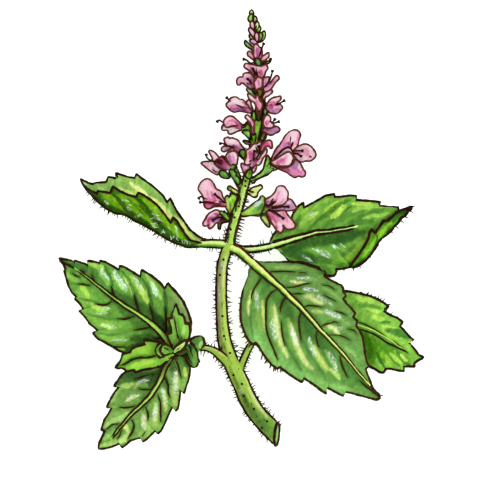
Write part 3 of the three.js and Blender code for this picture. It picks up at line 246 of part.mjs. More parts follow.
// ---------------------------------------------------------------- leaves
// One closed skin runs from the leaf stalk to the tip. Rows leave the midrib obliquely, as the side
// veins do, and reach the two margins at their teeth. The midrib stands proud on both faces.
function leaf(d, o = {}) {
  const { grow = 0, tol = 0.2, half = LEAF_HALF_THICKNESS, edge = LEAF_EDGE_HALF, extra = 6, gap = 0.012, n = 3 } = o;
  const spine = curve(d.spine), up0 = nrm(d.up), t0 = d.t0;
  const side = { L: poly(d.L), R: poly(d.R) }, z = { L: table(d.zL), R: table(d.zR) };
  const keep = (pts, marks) => simplify(pts, tol).map((i) => marks[i]);
  const ws = new Set([0, 1]);
  const list = [];
  for (const k of ['L', 'R']) keep(d[k], side[k].marks).forEach((s) => list.push([Math.pow(s, 1 / d.p), 1]));
  for (let i = 1; i < extra; i++) list.push([i / extra, 0]);
  list.push([0.02, 0], [0.05, 0]);
  list.sort((a, b) => a[0] - b[0]);
  const rowsW = [0];
  for (const [w, strong] of list) {
    const last = rowsW[rowsW.length - 1];
    if (w - last < (strong ? gap : gap * 5) || w > 0.985) continue;
    rowsW.push(w);
  }
  const foldS = d.fold ? side.R.marks[d.foldAt] : null, foldC = d.fold ? poly(d.fold) : null;
  const point = (k, w, v) => {
    // the surface on one side of the midrib: v runs from the midrib (0) to the margin (1)
    const t = t0 + (1 - t0) * w, c = spine.at(t), T = spine.tangent(t);
    const R = nrm(cross(T, up0)), N = cross(R, T), s = Math.pow(w, d.p);
    const m = side[k].at(s), P1 = [m[0], m[1], z[k](s)];
    const bez = (A, B, q, bow, puff) => {
      const D = len(sub(B, A)), C = mad(mad(mix(A, B, 0.5), T, -bow * D), N, puff * D);
      return [0, 1, 2].map((i) => (1 - q) * (1 - q) * A[i] + 2 * q * (1 - q) * C[i] + q * q * B[i]);
    };
    if (k === 'R' && foldS !== null) {
      // part of this margin is rolled over onto the face of the blade
      let F = bez(c, P1, FOLD_SHARE, d.bow, d.puff);
      if (s > foldS) F = foldC.at((s - foldS) / (1 - foldS)); else F = mix(F, P1, smooth((s - foldS + 0.1) / 0.1));
      if (v <= FOLD_SHARE) return bez(c, F, v / FOLD_SHARE, d.bow, d.puff);
      const q = (v - FOLD_SHARE) / (1 - FOLD_SHARE), out = nrm(sub(F, c)), g = Math.sin(Math.PI * q) * (s > foldS ? 0.22 : 0) * len(sub(P1, F));
      return mad(mix(F, P1, q), out, g);
    }
    return bez(c, P1, v, d.bow, d.puff);
  };
  const rings = [];
  const stalkRing = (t, r, n) => {
    const p = spine.at(t), T = spine.tangent(t), R = nrm(cross(T, up0)), N = cross(R, T), top = [], bot = [];
    for (let k = -n; k <= n; k++) {
      const a = Math.PI / 2 - (k / n) * (Math.PI / 2) * 0.92;
      top.push(mad(mad(p.slice(0, 3), R, r * Math.cos(a)), N, r * Math.sin(a)));
      bot.push(mad(mad(p.slice(0, 3), R, r * Math.cos(a)), N, -r * Math.sin(a)));
    }
    return top.concat(bot.reverse());
  };
  const stalkRows = Math.max(2, Math.round(t0 * 14));
  for (let i = 0; i < stalkRows; i++) {
    const t = (i / stalkRows) * t0;
    rings.push(stalkRing(t, d.rp + (d.rb - d.rp) * (t / t0) + grow, n));
  }
  for (const w of rowsW) {
    const t = t0 + (1 - t0) * w, T = spine.tangent(t), rr = d.rb + (d.rt - d.rb) * Math.pow(w, 0.8);
    const samples = [];
    for (const k of ['L', 'R']) {
      const D = len(sub(point(k, w, 1), point(k, w, 0)));
      let v1 = Math.min(0.4, rr / Math.max(D, 1e-6));
      const vs = n === 2 ? [0, v1, 1] : d.fold && k === 'R' ? [0, Math.min(v1, 0.3), FOLD_SHARE, 1] : [0, v1, v1 + (1 - v1) * 0.5, 1];
      samples.push(vs.map((v) => {
        const e = 0.01, a = point(k, w, Math.max(0, v - e)), b = point(k, w, Math.min(1, v + e));
        let S = sub(b, a);
        if (k === 'L') S = mul(S, -1);
        return { v, q: point(k, w, v), n: nrm(cross(S, T)) };
      }));
    }
    const mid = nrm(add(samples[0][0].n, samples[1][0].n));
    samples[0][0].n = mid; samples[1][0].n = mid;
    const end = clamp((1 - w) * 12, 0.35, 1);
    const top = [], bot = [];
    const row = samples[0].slice().reverse().concat(samples[1].slice(1));
    row.forEach((s, i) => {
      const k = i - n, a = Math.abs(k);
      const h = ((a === n ? edge : half) * end) + grow;
      top.push(mad(s.q, s.n, h + (a === 0 ? rr * 0.45 : 0)));
      bot.push(mad(s.q, s.n, -(h + (a === 0 ? rr * 0.85 : 0))));
    });
    let ring = top.concat(bot.reverse());
    if (grow > 0) {
      // widen the row at its two margins too
      const L = n - n, Rr = 2 * n, dirL = nrm(sub(row[0].q, row[1].q)), dirR = nrm(sub(row[2 * n].q, row[2 * n - 1].q));
      ring[L] = mad(ring[L], dirL, grow); ring[ring.length - 1] = mad(ring[ring.length - 1], dirL, grow);
      ring[Rr] = mad(ring[Rr], dirR, grow); ring[Rr + 1] = mad(ring[Rr + 1], dirR, grow);
    }
    const k = smooth(w / 0.07);
    if (k < 1) { const st = stalkRing(t, rr + grow, n); ring = ring.map((p, i) => mix(st[i], p, k)); }
    rings.push(ring);
  }
  const a = spine.at(0), b = spine.at(1);
  return solid(loft(rings, mad(a.slice(0, 3), spine.tangent(0), -grow), mad(b.slice(0, 3), spine.tangent(1), grow)));
}
// Points of an outline that carry its shape to within tol.
function simplify(pts, tol) {
  const rec = (a, b) => {
    if (b <= a + 1) return [];
    const ux = pts[b][0] - pts[a][0], uy = pts[b][1] - pts[a][1], L = Math.hypot(ux, uy) || 1e-9;
    let best = 0, bi = -1;
    for (let i = a + 1; i < b; i++) {
      const dd = Math.abs(ux * (pts[i][1] - pts[a][1]) - uy * (pts[i][0] - pts[a][0])) / L;
      if (dd > best) { best = dd; bi = i; }
    }
    return best > tol ? [...rec(a, bi), bi, ...rec(bi, b)] : [];
  };
  return [0, ...rec(0, pts.length - 1), pts.length - 1];
}

// ---------------------------------------------------------------- flowers
function corolla(f, grow = 0) {
  const parts = [rod(f.tube, { sides: 5, rows: 3, grow })];
  f.lobes.forEach((l) => parts.push(strip(l, { rows: l.length > 3 ? 4 : 3, cols: 1, cup: -0.22, grow })));
  f.stamens.forEach((s) => {
    const c = s.map((p) => [...p, FILAMENT_RADIUS]);
    parts.push(rod(c, { sides: 3, rows: Math.max(2, s.length - 1), grow }));
    const e = s[s.length - 1], q = s[s.length - 2], T = nrm(sub(e, q));
    parts.push(rod([[...mad(e, T, -ANTHER_RADIUS), 0.12], [...e, ANTHER_RADIUS], [...mad(e, T, ANTHER_RADIUS), 0.12]], { sides: 4, rows: 2, grow }));
  });
  return join(parts);
}
function calyx(f, grow = 0, filled = false) {
  const parts = [cup(f.calyx, { grow, filled })];
  (f.lips || []).forEach((l) => parts.push(strip(l, { rows: 2, cols: 1, th: LIP_THICKNESS, cup: -0.3, grow })));
  return join(parts);
}

// ---------------------------------------------------------------- bodies in building order
const group = new THREE.Group();
group.name = 'holy_basil_sprig';
const built = [];

// the connected shell that holds the most volume
function largest(man) {
  const m = man.getMesh(), np = m.numProp, V = m.vertProperties, F = m.triVerts, count = V.length / np;
  const same = new Map(), root = new Int32Array(count);
  for (let i = 0; i < count; i++) root[i] = i;
  const find = (i) => { while (root[i] !== i) { root[i] = root[root[i]]; i = root[i]; } return i; };
  for (let i = 0; i < count; i++) {
    const key = `${Math.round(V[i * np] * 1e5)},${Math.round(V[i * np + 1] * 1e5)},${Math.round(V[i * np + 2] * 1e5)}`;
    if (same.has(key)) root[find(i)] = find(same.get(key)); else same.set(key, i);
  }
  for (let i = 0; i < F.length; i += 3) { root[find(F[i])] = find(F[i + 1]); root[find(F[i + 1])] = find(F[i + 2]); }
  const vol = new Map();
  const p = (i) => [V[i * np], V[i * np + 1], V[i * np + 2]];
  for (let i = 0; i < F.length; i += 3) {
    const a = p(F[i]), b = p(F[i + 1]), c = p(F[i + 2]), q = cross(b, c), r = find(F[i]);
    vol.set(r, (vol.get(r) || 0) + a[0] * q[0] + a[1] * q[1] + a[2] * q[2]);
  }
  let best = -1, bv = -Infinity;
  for (const [r, v] of vol) if (v > bv) { bv = v; best = r; }
  const map = new Map(), pos = [], idx = [];
  for (let i = 0; i < F.length; i += 3) {
    if (find(F[i]) !== best) continue;
    for (let k = 0; k < 3; k++) {
      const q = F[i + k];
      if (!map.has(q)) { map.set(q, pos.length / 3); pos.push(V[q * np], V[q * np + 1], V[q * np + 2]); }
      idx.push(map.get(q));
    }
  }
  return { pos, idx };
}
function boxOf(pos) {
  const lo = [Infinity, Infinity, Infinity], hi = [-Infinity, -Infinity, -Infinity];
  for (let i = 0; i < pos.length; i++) { const k = i % 3; lo[k] = Math.min(lo[k], pos[i]); hi[k] = Math.max(hi[k], pos[i]); }
  return { lo, hi };
}
const near = (a, b) => [0, 1, 2].every((k) => a.lo[k] <= b.hi[k] + 0.01 && b.lo[k] <= a.hi[k] + 0.01);

// Adds one body. It gives way to what is already there by a small clearance.
function body(name, make, mat, fatMake) {
  let man = make(0);
  let box = boxOf(man.getMesh().vertProperties);
  for (const b of built) if (near(box, b.fatBox)) man = man.subtract(b.fat);
  const { pos, idx } = largest(man);
  const g = new THREE.BufferGeometry();
  g.setAttribute('position', new THREE.BufferAttribute(new Float32Array(pos), 3));
  g.setIndex(idx);
  g.computeVertexNormals();
  const mesh = new THREE.Mesh(g, new THREE.MeshStandardMaterial({ color: mat[0], roughness: mat[1], metalness: 0 }));
  mesh.name = name;
  group.add(mesh);
  const fat = (fatMake || make)(CLEARANCE);
  built.push({ name, fat, fatBox: boxOf(fat.getMesh().vertProperties) });
}

body('main_stem', (g) => rod(STEMS.main_stem, { sides: 12, rows: 16, grow: g, square: 0.03, cutNormal: g ? null : CUT_NORMAL }), COLORS.stem);
body('flower_spike_stem', (g) => join([rod(STEMS.flower_spike_stem, { sides: 8, rows: 13, grow: g, capB: 0.2 }), ...BRACTS.map((b) => strip(b, { rows: 4, cols: 1, th: LIP_THICKNESS, cup: -0.3, grow: g }))]), COLORS.stem);
body('left_shoot_stem', (g) => rod(STEMS.left_shoot_stem, { sides: 8, rows: 8, grow: g }), COLORS.stem);
body('right_shoot_stem', (g) => rod(STEMS.right_shoot_stem, { sides: 8, rows: 5, grow: g }), COLORS.stem);
for (const name of LEAF_ORDER) {
  if (LEAVES[name]) body(name, (g) => leaf(LEAVES[name], { grow: g, ...(SMALL_LEAVES.includes(name) ? { extra: 4, gap: 0.03, n: 2 } : {}) }), COLORS[name] || COLORS.leaf);
  else { const r = SHOOT_RIBBONS[name]; body(name, (g) => strip(r.pts, { rows: 4, cols: 2, th: r.th, cup: r.cup, grow: g }), COLORS[name] || COLORS.leaf_young); }
}
for (const k of Object.keys(FLOWERS)) body(`flower_${k}`, (g) => corolla(FLOWERS[k], g), COLORS[`flower_${k}`] || COLORS.petal);
for (const k of Object.keys(FLOWERS)) body(`calyx_${k}`, (g) => calyx(FLOWERS[k], g), COLORS.calyx, (g) => calyx(FLOWERS[k], g, true));
for (const k of Object.keys(OLD_CALYX)) body(k, (g) => calyx(OLD_CALYX[k], g), COLORS.old_calyx, (g) => calyx(OLD_CALYX[k], g, true));
body('buds_green', (g) => join([rod(BUD_CORE, { sides: 6, rows: 4, grow: g }), ...BUDS_GREEN.map((b) => rod(b, { sides: 5, rows: 2, grow: g, capA: 0.1, capB: 0.25 }))]), COLORS.bud_green);
for (const k of Object.keys(BUDS_PINK)) body(k, (g) => rod(BUDS_PINK[k], { sides: 6, rows: 3, grow: g, capA: 0.1, capB: 0.25 }), COLORS.bud_pink);

export default group;
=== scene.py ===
import math

import bpy
import numpy as np
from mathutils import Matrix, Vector
from mathutils.bvhtree import BVHTree
from mathutils.geometry import delaunay_2d_cdt


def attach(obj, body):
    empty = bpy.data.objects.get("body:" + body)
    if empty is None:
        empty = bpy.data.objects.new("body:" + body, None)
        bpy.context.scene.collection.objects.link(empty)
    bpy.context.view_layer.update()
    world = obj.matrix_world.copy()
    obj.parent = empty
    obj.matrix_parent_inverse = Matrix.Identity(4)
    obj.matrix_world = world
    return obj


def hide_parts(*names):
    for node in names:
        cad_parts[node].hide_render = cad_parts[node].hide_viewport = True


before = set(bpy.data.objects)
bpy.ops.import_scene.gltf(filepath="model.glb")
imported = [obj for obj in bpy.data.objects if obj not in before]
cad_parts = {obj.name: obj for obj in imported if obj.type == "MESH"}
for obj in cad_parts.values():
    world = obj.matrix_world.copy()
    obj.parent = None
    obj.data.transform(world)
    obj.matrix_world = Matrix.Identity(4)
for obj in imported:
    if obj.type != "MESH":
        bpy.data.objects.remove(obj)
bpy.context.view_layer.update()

# A cut flowering sprig of holy basil, drawn with ink outlines and washes, lying on white paper.
# Each visual piece stands for the CAD node of the same name. Tables are in millimetres in the CAD frame;
# brush strokes and outlines are in drawing units, 0.27 mm each, y down.

DATA = {
    "LEAVES": {
        "leaf_front": {"spine": [[-3.02, -4.79, 9.3], [-2.29, -5.12, 9.6], [-0.41, -6.06, 10.0], [2.03, -8.22, 10.3], [4.46, -10.38, 10.5], [7.16, -12.81, 10.7], [9.86, -15.11, 10.7], [13.1, -18.21, 10.5], [16.07, -21.18, 10.2], [18.77, -24.15, 9.8], [21.2, -26.85, 9.3], [24.17, -30.09, 8.6], [27.14, -33.33, 7.8], [29.84, -36.57, 6.8], [32.27, -39.54, 5.8], [34.42, -41.97, 4.9], [36.31, -44.13, 3.9], [37.66, -45.67, 3.0]], "t0": 0.12, "rp": 1.12, "rb": 0.98, "rt": 0.22, "up": [0, 0, 1], "p": 0.8, "bow": 0.1, "puff": 0.06, "L": [[3.92, -8.76], [5.54, -8.9], [7.7, -8.9], [10.4, -8.9], [13.1, -8.76], [15.79, -9.03], [17.96, -9.57], [20.12, -10.38], [21.74, -10.92], [22.55, -11.73], [22.28, -12.54], [24.44, -13.89], [26.06, -14.7], [26.87, -14.97], [27.41, -15.78], [27.54, -16.73], [28.22, -17.94], [27.41, -18.61], [28.22, -19.83], [29.57, -21.18], [30.65, -22.53], [30.11, -23.61], [31.19, -24.69], [30.92, -26.04], [32.0, -27.39], [32.8, -29.28], [33.08, -31.44], [33.34, -33.06], [33.62, -35.22], [34.42, -36.84], [33.48, -37.52], [33.88, -39.0], [34.7, -40.89], [35.23, -42.51], [36.05, -43.59], [37.12, -44.54], [37.66, -45.67]], "zL": [9.4, 8.7, 8.0, 7.4, 7.0, 6.8, 6.5, 6.1, 5.6, 5.0, 3.9, 3.0], "R": [[2.57, -10.11], [2.16, -10.92], [2.03, -12.54], [1.22, -14.7], [0.41, -16.86], [0.0, -19.02], [-0.27, -21.72], [-0.14, -24.42], [0.41, -26.58], [1.22, -28.74], [2.29, -30.36], [3.11, -30.9], [3.78, -30.5], [4.46, -31.17], [5.54, -33.06], [6.88, -34.95], [8.24, -36.57], [9.59, -37.52], [10.4, -37.11], [11.75, -38.19], [13.63, -39.54], [15.26, -40.62], [16.34, -41.16], [16.74, -40.08], [18.5, -41.16], [20.39, -42.51], [21.74, -43.59], [22.82, -44.4], [22.14, -42.24], [23.9, -43.05], [25.79, -44.13], [27.41, -44.94], [27.68, -43.73], [30.65, -44.4], [33.62, -45.21], [36.31, -46.02], [37.66, -45.67]], "zR": [9.4, 8.3, 7.4, 6.8, 6.4, 6.1, 5.8, 5.4, 5.0, 4.5, 3.8, 3.0]},
        "leaf_upper_right": {"spine": [[-2.97, -4.79, 8.8], [-1.22, -4.98, 8.4], [0.95, -5.33, 8.2], [3.65, -5.25, 8.5], [6.35, -4.84, 9.0], [9.04, -4.17, 9.6], [11.75, -3.36, 10.1], [14.72, -2.42, 10.6], [17.42, -1.6, 10.9], [20.12, -0.93, 11.1], [23.36, -0.53, 11.2], [26.6, 0.02, 11.1], [29.84, 0.56, 10.9], [33.08, 1.1, 10.6], [36.31, 2.18, 10.3], [39.55, 3.66, 10.0], [42.8, 5.15, 9.7], [46.17, 6.36, 9.4]], "t0": 0.226, "rp": 0.8, "rb": 0.72, "rt": 0.16, "up": [0, 0, 1], "p": 0.8, "bow": 0.08, "puff": 0.05, "L": [[7.7, -3.23], [8.51, -1.47], [9.86, 0.15], [11.47, 1.5], [13.37, 2.85], [14.18, 4.74], [15.53, 6.5], [16.61, 7.17], [16.74, 5.82], [18.23, 6.63], [20.66, 7.98], [22.82, 9.2], [24.98, 9.6], [25.11, 8.74], [27.14, 8.92], [29.3, 9.2], [30.92, 9.06], [30.78, 7.98], [32.54, 7.85], [34.7, 7.71], [37.4, 7.44], [36.99, 6.36], [38.48, 6.23], [40.37, 6.09], [42.26, 5.96], [42.12, 5.01], [43.61, 5.28], [44.95, 5.82], [46.17, 6.36]], "zL": [9.6, 9.6, 9.5, 9.3, 9.0, 8.7, 8.5, 8.3, 8.2, 8.3, 8.7, 9.4], "R": [[10.12, -5.66], [11.21, -6.47], [12.29, -7.68], [13.1, -8.63], [14.72, -8.76], [16.61, -8.9], [18.5, -9.57], [20.39, -10.11], [22.01, -10.65], [22.55, -11.46], [22.68, -12.27], [23.9, -12.54], [24.98, -12.41], [25.52, -11.46], [25.65, -10.65], [27.14, -10.52], [29.3, -10.11], [30.11, -8.76], [31.46, -6.87], [33.08, -4.44], [34.16, -2.55], [34.56, -0.66], [35.1, 0.15], [36.05, -0.93], [37.12, 0.69], [38.2, 2.31], [39.55, 2.31], [40.63, 3.39], [41.72, 4.74], [43.88, 5.55], [46.17, 6.36]], "zR": [9.4, 9.6, 9.7, 9.7, 9.6, 9.7, 10.6, 11.9, 12.3, 12.2, 11.8, 11.4, 10.8, 9.4], "fold": [[29.3, -10.11, 9.7], [30.92, -9.57, 9.6], [32.54, -8.49, 9.6], [34.16, -6.87, 9.7], [35.77, -4.98, 9.8], [36.85, -3.09, 9.9], [38.48, -1.47, 9.9], [40.63, 0.42, 9.8], [42.8, 2.85, 9.6], [44.69, 5.01, 9.5], [46.17, 6.36, 9.4]], "foldAt": 16},
        "leaf_upper_left": {"spine": [[-3.51, -4.22, 8.95], [-6.89, -3.85, 8.7], [-9.59, -3.85, 8.4], [-11.75, -4.17, 8.1], [-14.45, -4.36, 7.8], [-16.61, -3.77, 7.5], [-18.77, -3.09, 7.3], [-20.66, -2.01, 7.1], [-22.54, -0.93, 6.9], [-24.71, 0.42, 6.7], [-26.86, 1.58, 6.5], [-28.75, 2.45, 6.4], [-30.64, 3.66, 6.2], [-32.27, 4.28, 6.1], [-33.89, 4.47, 6.0], [-36.05, 5.42, 5.9], [-37.67, 6.63, 5.8], [-39.29, 7.98, 5.6], [-40.64, 9.6, 5.4], [-41.99, 10.95, 5.2], [-43.07, 12.3, 5.0], [-43.61, 13.79, 4.9]], "t0": 0.155, "rp": 1.1, "rb": 0.85, "rt": 0.2, "up": [0, 1, 0.12], "p": 0.85, "bow": 0.05, "puff": -0.05, "L": [[-10.67, -3.63], [-12.29, -3.36], [-13.91, -2.82], [-15.26, -1.2], [-16.61, 0.96], [-17.41, 2.31], [-18.5, 3.26], [-19.04, 1.77], [-20.11, 3.12], [-21.46, 5.01], [-22.82, 6.63], [-24.43, 7.98], [-26.05, 9.06], [-27.68, 10.01], [-28.35, 8.79], [-30.64, 9.33], [-32.81, 10.41], [-34.7, 11.62], [-35.37, 9.87], [-37.13, 10.14], [-38.75, 10.41], [-39.02, 9.73], [-40.37, 10.28], [-41.72, 11.06], [-42.8, 12.03], [-43.61, 13.79]], "zL": [9.1, 9.8, 10.6, 11.2, 11.6, 11.8, 11.8, 11.6, 11.1, 10.2, 8.6, 7.0, 4.9], "R": [[-9.04, -2.82], [-10.67, -2.55], [-12.29, -1.47], [-13.91, -0.12], [-15.26, 1.77], [-16.61, 3.66], [-17.68, 5.28], [-18.5, 6.9], [-19.3, 8.52], [-20.11, 7.31], [-21.2, 9.06], [-22.54, 10.41], [-24.43, 12.03], [-26.32, 13.38], [-27.41, 14.19], [-28.48, 15.0], [-28.75, 13.92], [-30.64, 14.19], [-32.27, 14.73], [-33.89, 15.27], [-33.62, 13.65], [-34.97, 14.05], [-36.05, 14.19], [-36.59, 12.84], [-37.94, 12.71], [-39.29, 12.71], [-40.1, 12.3], [-41.45, 12.57], [-42.53, 13.11], [-43.61, 13.79]], "zR": [7.6, 6.4, 5.0, 3.9, 3.0, 2.4, 2.0, 1.8, 1.9, 2.2, 2.9, 3.8, 4.9]},
        "leaf_back_right": {"spine": [[2.7, -30.77, 4.6], [5.54, -29.01, 4.4], [10.4, -26.58, 4.0], [15.79, -24.69, 3.7], [20.66, -24.42, 3.4], [25.25, -24.69, 3.3], [29.3, -25.5, 3.2], [32.0, -26.04, 3.1], [34.7, -26.85, 3.0], [37.4, -28.2, 2.8], [40.09, -29.82, 2.4], [42.8, -31.71, 1.8], [44.95, -32.93, 1.2], [47.38, -33.87, 0.5], [49.55, -34.55, 0.05]], "t0": 0.34, "rp": 0.85, "rb": 0.75, "rt": 0.2, "up": [0, 0, 1], "p": 0.8, "bow": 0.08, "puff": 0.05, "L": [[20.39, -23.34], [21.2, -21.18], [22.82, -19.02], [24.98, -17.54], [28.22, -16.73], [29.84, -16.86], [32.0, -17.27], [34.7, -17.94], [36.85, -18.89], [38.74, -19.96], [39.83, -20.91], [38.74, -21.59], [38.61, -22.12], [40.09, -23.07], [41.98, -23.88], [43.61, -24.96], [43.34, -25.5], [42.8, -26.04], [43.88, -27.12], [44.95, -28.47], [45.77, -29.28], [46.58, -29.82], [45.36, -30.09], [45.23, -30.58], [46.04, -31.44], [47.12, -32.79], [47.93, -33.87], [49.55, -34.55]], "zL": [3.2, 2.8, 2.5, 2.3, 2.2, 2.1, 1.9, 1.7, 1.5, 1.2, 0.7, 0.05], "R": [[20.93, -25.77], [22.28, -27.93], [24.44, -30.09], [27.14, -32.25], [29.84, -34.14], [32.54, -35.76], [34.42, -36.84], [36.05, -37.65], [37.4, -38.6], [38.48, -38.73], [39.02, -37.65], [40.09, -37.65], [41.98, -38.06], [43.88, -38.33], [43.74, -37.11], [44.95, -36.98], [46.84, -37.11], [46.71, -36.3], [47.66, -35.49], [49.55, -34.55]], "zR": [3.1, 2.5, 1.9, 1.4, 1.1, 0.9, 0.8, 0.7, 0.65, 0.55, 0.4, 0.05]},
        "leaf_shoot_upper": {"spine": [[-17.68, -32.79, 8.9], [-18.9, -31.17, 9.4], [-20.66, -29.01, 10.0], [-22.54, -26.85, 10.5], [-24.71, -24.96, 10.8], [-27.14, -23.21, 10.9], [-29.84, -21.45, 10.8], [-32.81, -19.56, 10.3], [-35.51, -17.67, 9.5], [-38.21, -15.51, 8.3], [-40.37, -13.89, 7.0], [-42.53, -12.27, 5.4], [-44.69, -10.65, 3.5], [-47.39, -9.03, 1.4], [-49.55, -7.68, 0.02]], "t0": 0.035, "rp": 0.95, "rb": 0.9, "rt": 0.2, "up": [0, 0, 1], "p": 0.72, "bow": 0.16, "puff": 0.06, "L": [[-19.57, -31.71], [-21.2, -32.52], [-23.09, -33.2], [-25.79, -33.6], [-27.95, -33.6], [-29.3, -33.33], [-31.18, -33.41], [-33.35, -32.52], [-34.7, -31.71], [-37.4, -30.09], [-38.75, -29.55], [-40.1, -27.93], [-38.61, -27.44], [-39.56, -26.58], [-40.91, -25.5], [-42.26, -23.61], [-43.74, -21.99], [-42.66, -21.72], [-43.61, -20.1], [-44.96, -18.75], [-44.55, -18.21], [-45.77, -17.13], [-46.58, -15.51], [-46.85, -14.7], [-47.39, -13.08], [-47.93, -11.19], [-47.52, -10.97], [-48.2, -9.3], [-49.55, -7.68]], "zL": [9.0, 8.2, 7.6, 7.2, 6.9, 6.5, 6.0, 5.3, 4.4, 3.1, 1.5, 0.02], "R": [[-17.95, -30.9], [-15.8, -29.82], [-14.45, -27.93], [-13.77, -26.31], [-13.64, -24.96], [-14.18, -23.07], [-14.72, -21.45], [-15.8, -19.29], [-16.88, -17.94], [-18.5, -16.05], [-19.3, -15.24], [-19.84, -14.43], [-20.66, -16.05], [-22.0, -14.43], [-24.16, -12.54], [-25.52, -11.73], [-26.86, -10.92], [-27.14, -12.81], [-28.75, -12.0], [-30.38, -10.92], [-31.73, -10.11], [-32.81, -9.84], [-32.54, -11.19], [-33.62, -10.65], [-35.51, -9.57], [-36.86, -8.76], [-38.21, -8.49], [-37.67, -9.3], [-39.56, -8.76], [-41.45, -8.49], [-40.91, -10.11], [-42.26, -9.3], [-43.61, -9.03], [-44.96, -8.49], [-44.42, -9.3], [-46.31, -8.49], [-48.47, -7.95], [-49.55, -7.68]], "zR": [9.2, 8.8, 8.6, 8.4, 8.1, 7.7, 7.1, 6.3, 5.2, 3.7, 1.7, 0.02]},
        "leaf_shoot_lower": {"spine": [[-18.36, -33.33, 8.2], [-19.3, -34.95, 8.7], [-20.39, -36.84, 9.1], [-21.2, -38.73, 9.3], [-22.0, -40.89, 9.3], [-23.36, -43.05, 9.1], [-24.71, -44.94, 8.7], [-26.32, -46.56, 8.1], [-27.95, -48.18, 7.4], [-29.57, -49.8, 6.5], [-31.18, -51.69, 5.3], [-33.08, -53.85, 3.8], [-34.97, -56.28, 2.0], [-37.13, -58.17, 0.8], [-38.75, -59.52, 0.02]], "t0": 0.07, "rp": 0.95, "rb": 0.85, "rt": 0.2, "up": [0, 0, 1], "p": 0.76, "bow": 0.12, "puff": 0.06, "L": [[-18.22, -34.55], [-16.61, -33.87], [-14.99, -34.41], [-13.91, -36.03], [-13.91, -37.92], [-14.18, -39.81], [-14.72, -41.7], [-15.26, -43.32], [-15.53, -44.13], [-16.47, -43.05], [-16.69, -44.67], [-16.88, -46.56], [-17.14, -48.18], [-17.68, -48.99], [-18.63, -47.64], [-19.3, -48.99], [-20.11, -50.88], [-20.93, -52.77], [-21.73, -54.39], [-22.54, -55.07], [-23.22, -54.26], [-24.43, -55.47], [-25.52, -56.55], [-26.59, -57.36], [-27.0, -56.28], [-28.48, -56.55], [-30.11, -57.09], [-31.18, -58.17], [-32.27, -58.98], [-32.94, -57.9], [-34.97, -58.71], [-36.86, -59.25], [-38.75, -59.52]], "zL": [8.1, 7.6, 7.1, 6.7, 6.2, 5.6, 4.9, 4.2, 3.4, 2.4, 1.2, 0.02], "R": [[-20.39, -35.22], [-22.0, -35.76], [-24.71, -36.3], [-27.41, -36.84], [-29.57, -37.52], [-30.91, -38.19], [-32.27, -39.27], [-33.62, -41.16], [-34.43, -42.24], [-32.94, -42.38], [-34.16, -43.86], [-35.24, -45.48], [-35.78, -46.83], [-36.32, -47.91], [-34.83, -47.83], [-35.78, -49.53], [-37.13, -51.69], [-37.94, -54.12], [-37.04, -54.34], [-37.67, -56.01], [-38.48, -57.63], [-38.75, -59.52]], "zR": [8.1, 7.5, 7.0, 6.7, 6.2, 5.6, 4.9, 4.0, 3.1, 2.1, 1.0, 0.02]},
        "leaf_shoot_small_left": {"spine": [[-18.22, -33.47, 10.4], [-19.84, -34.14, 11.3], [-22.0, -33.95, 12.0], [-23.36, -34.14, 12.3], [-25.25, -34.41, 12.4], [-27.41, -34.55, 12.3], [-29.3, -34.95, 12.0], [-30.91, -35.76, 11.4], [-32.54, -36.84, 10.5], [-34.16, -37.38, 9.6]], "t0": 0.1, "rp": 0.6, "rb": 0.5, "rt": 0.16, "up": [0, 0, 1], "p": 0.85, "bow": 0.06, "puff": 0.05, "L": [[-19.57, -35.22], [-20.66, -36.03], [-22.0, -37.11], [-22.54, -36.98], [-24.71, -37.52], [-26.59, -37.79], [-28.48, -38.46], [-28.89, -37.79], [-30.91, -38.19], [-31.46, -37.52], [-32.4, -37.25], [-33.35, -37.27], [-34.16, -37.38]], "zL": [10.9, 10.8, 10.8, 10.7, 10.6, 10.3, 10.0, 9.6], "R": [[-19.84, -32.79], [-20.39, -31.44], [-21.2, -30.77], [-22.54, -30.23], [-24.16, -30.09], [-26.32, -29.69], [-25.52, -30.71], [-26.86, -31.17], [-28.75, -31.71], [-29.57, -32.25], [-29.84, -33.06], [-31.18, -33.47], [-32.0, -33.6], [-32.27, -34.68], [-32.54, -35.49], [-33.35, -36.57], [-34.16, -37.38]], "zR": [11.2, 11.3, 11.3, 11.2, 11.0, 10.7, 10.2, 9.6]},
        "leaf_shoot_small_top": {"spine": [[-17.95, -33.06, 10.8], [-17.55, -31.44, 11.7], [-17.09, -29.82, 12.3], [-17.14, -27.39, 12.9], [-17.68, -24.69, 13.1], [-17.95, -22.26, 13.0], [-17.68, -19.83, 12.6]], "t0": 0.09, "rp": 0.55, "rb": 0.48, "rt": 0.15, "up": [0, 0, 1], "p": 0.9, "bow": 0.05, "puff": 0.04, "L": [[-18.5, -31.71], [-19.3, -30.36], [-20.25, -28.2], [-18.9, -27.93], [-19.04, -26.31], [-19.57, -24.42], [-19.84, -23.88], [-18.77, -24.15], [-18.63, -22.8], [-17.95, -21.45], [-17.68, -19.83]], "zL": [12.0, 12.2, 12.4, 12.5, 12.6, 12.6], "R": [[-16.61, -31.44], [-14.99, -30.36], [-14.18, -29.28], [-13.77, -27.12], [-13.91, -25.23], [-15.12, -25.5], [-15.39, -23.88], [-15.93, -22.8], [-16.74, -23.34], [-17.28, -21.45], [-17.68, -19.83]], "zR": [12.0, 12.0, 12.1, 12.3, 12.5, 12.6]},
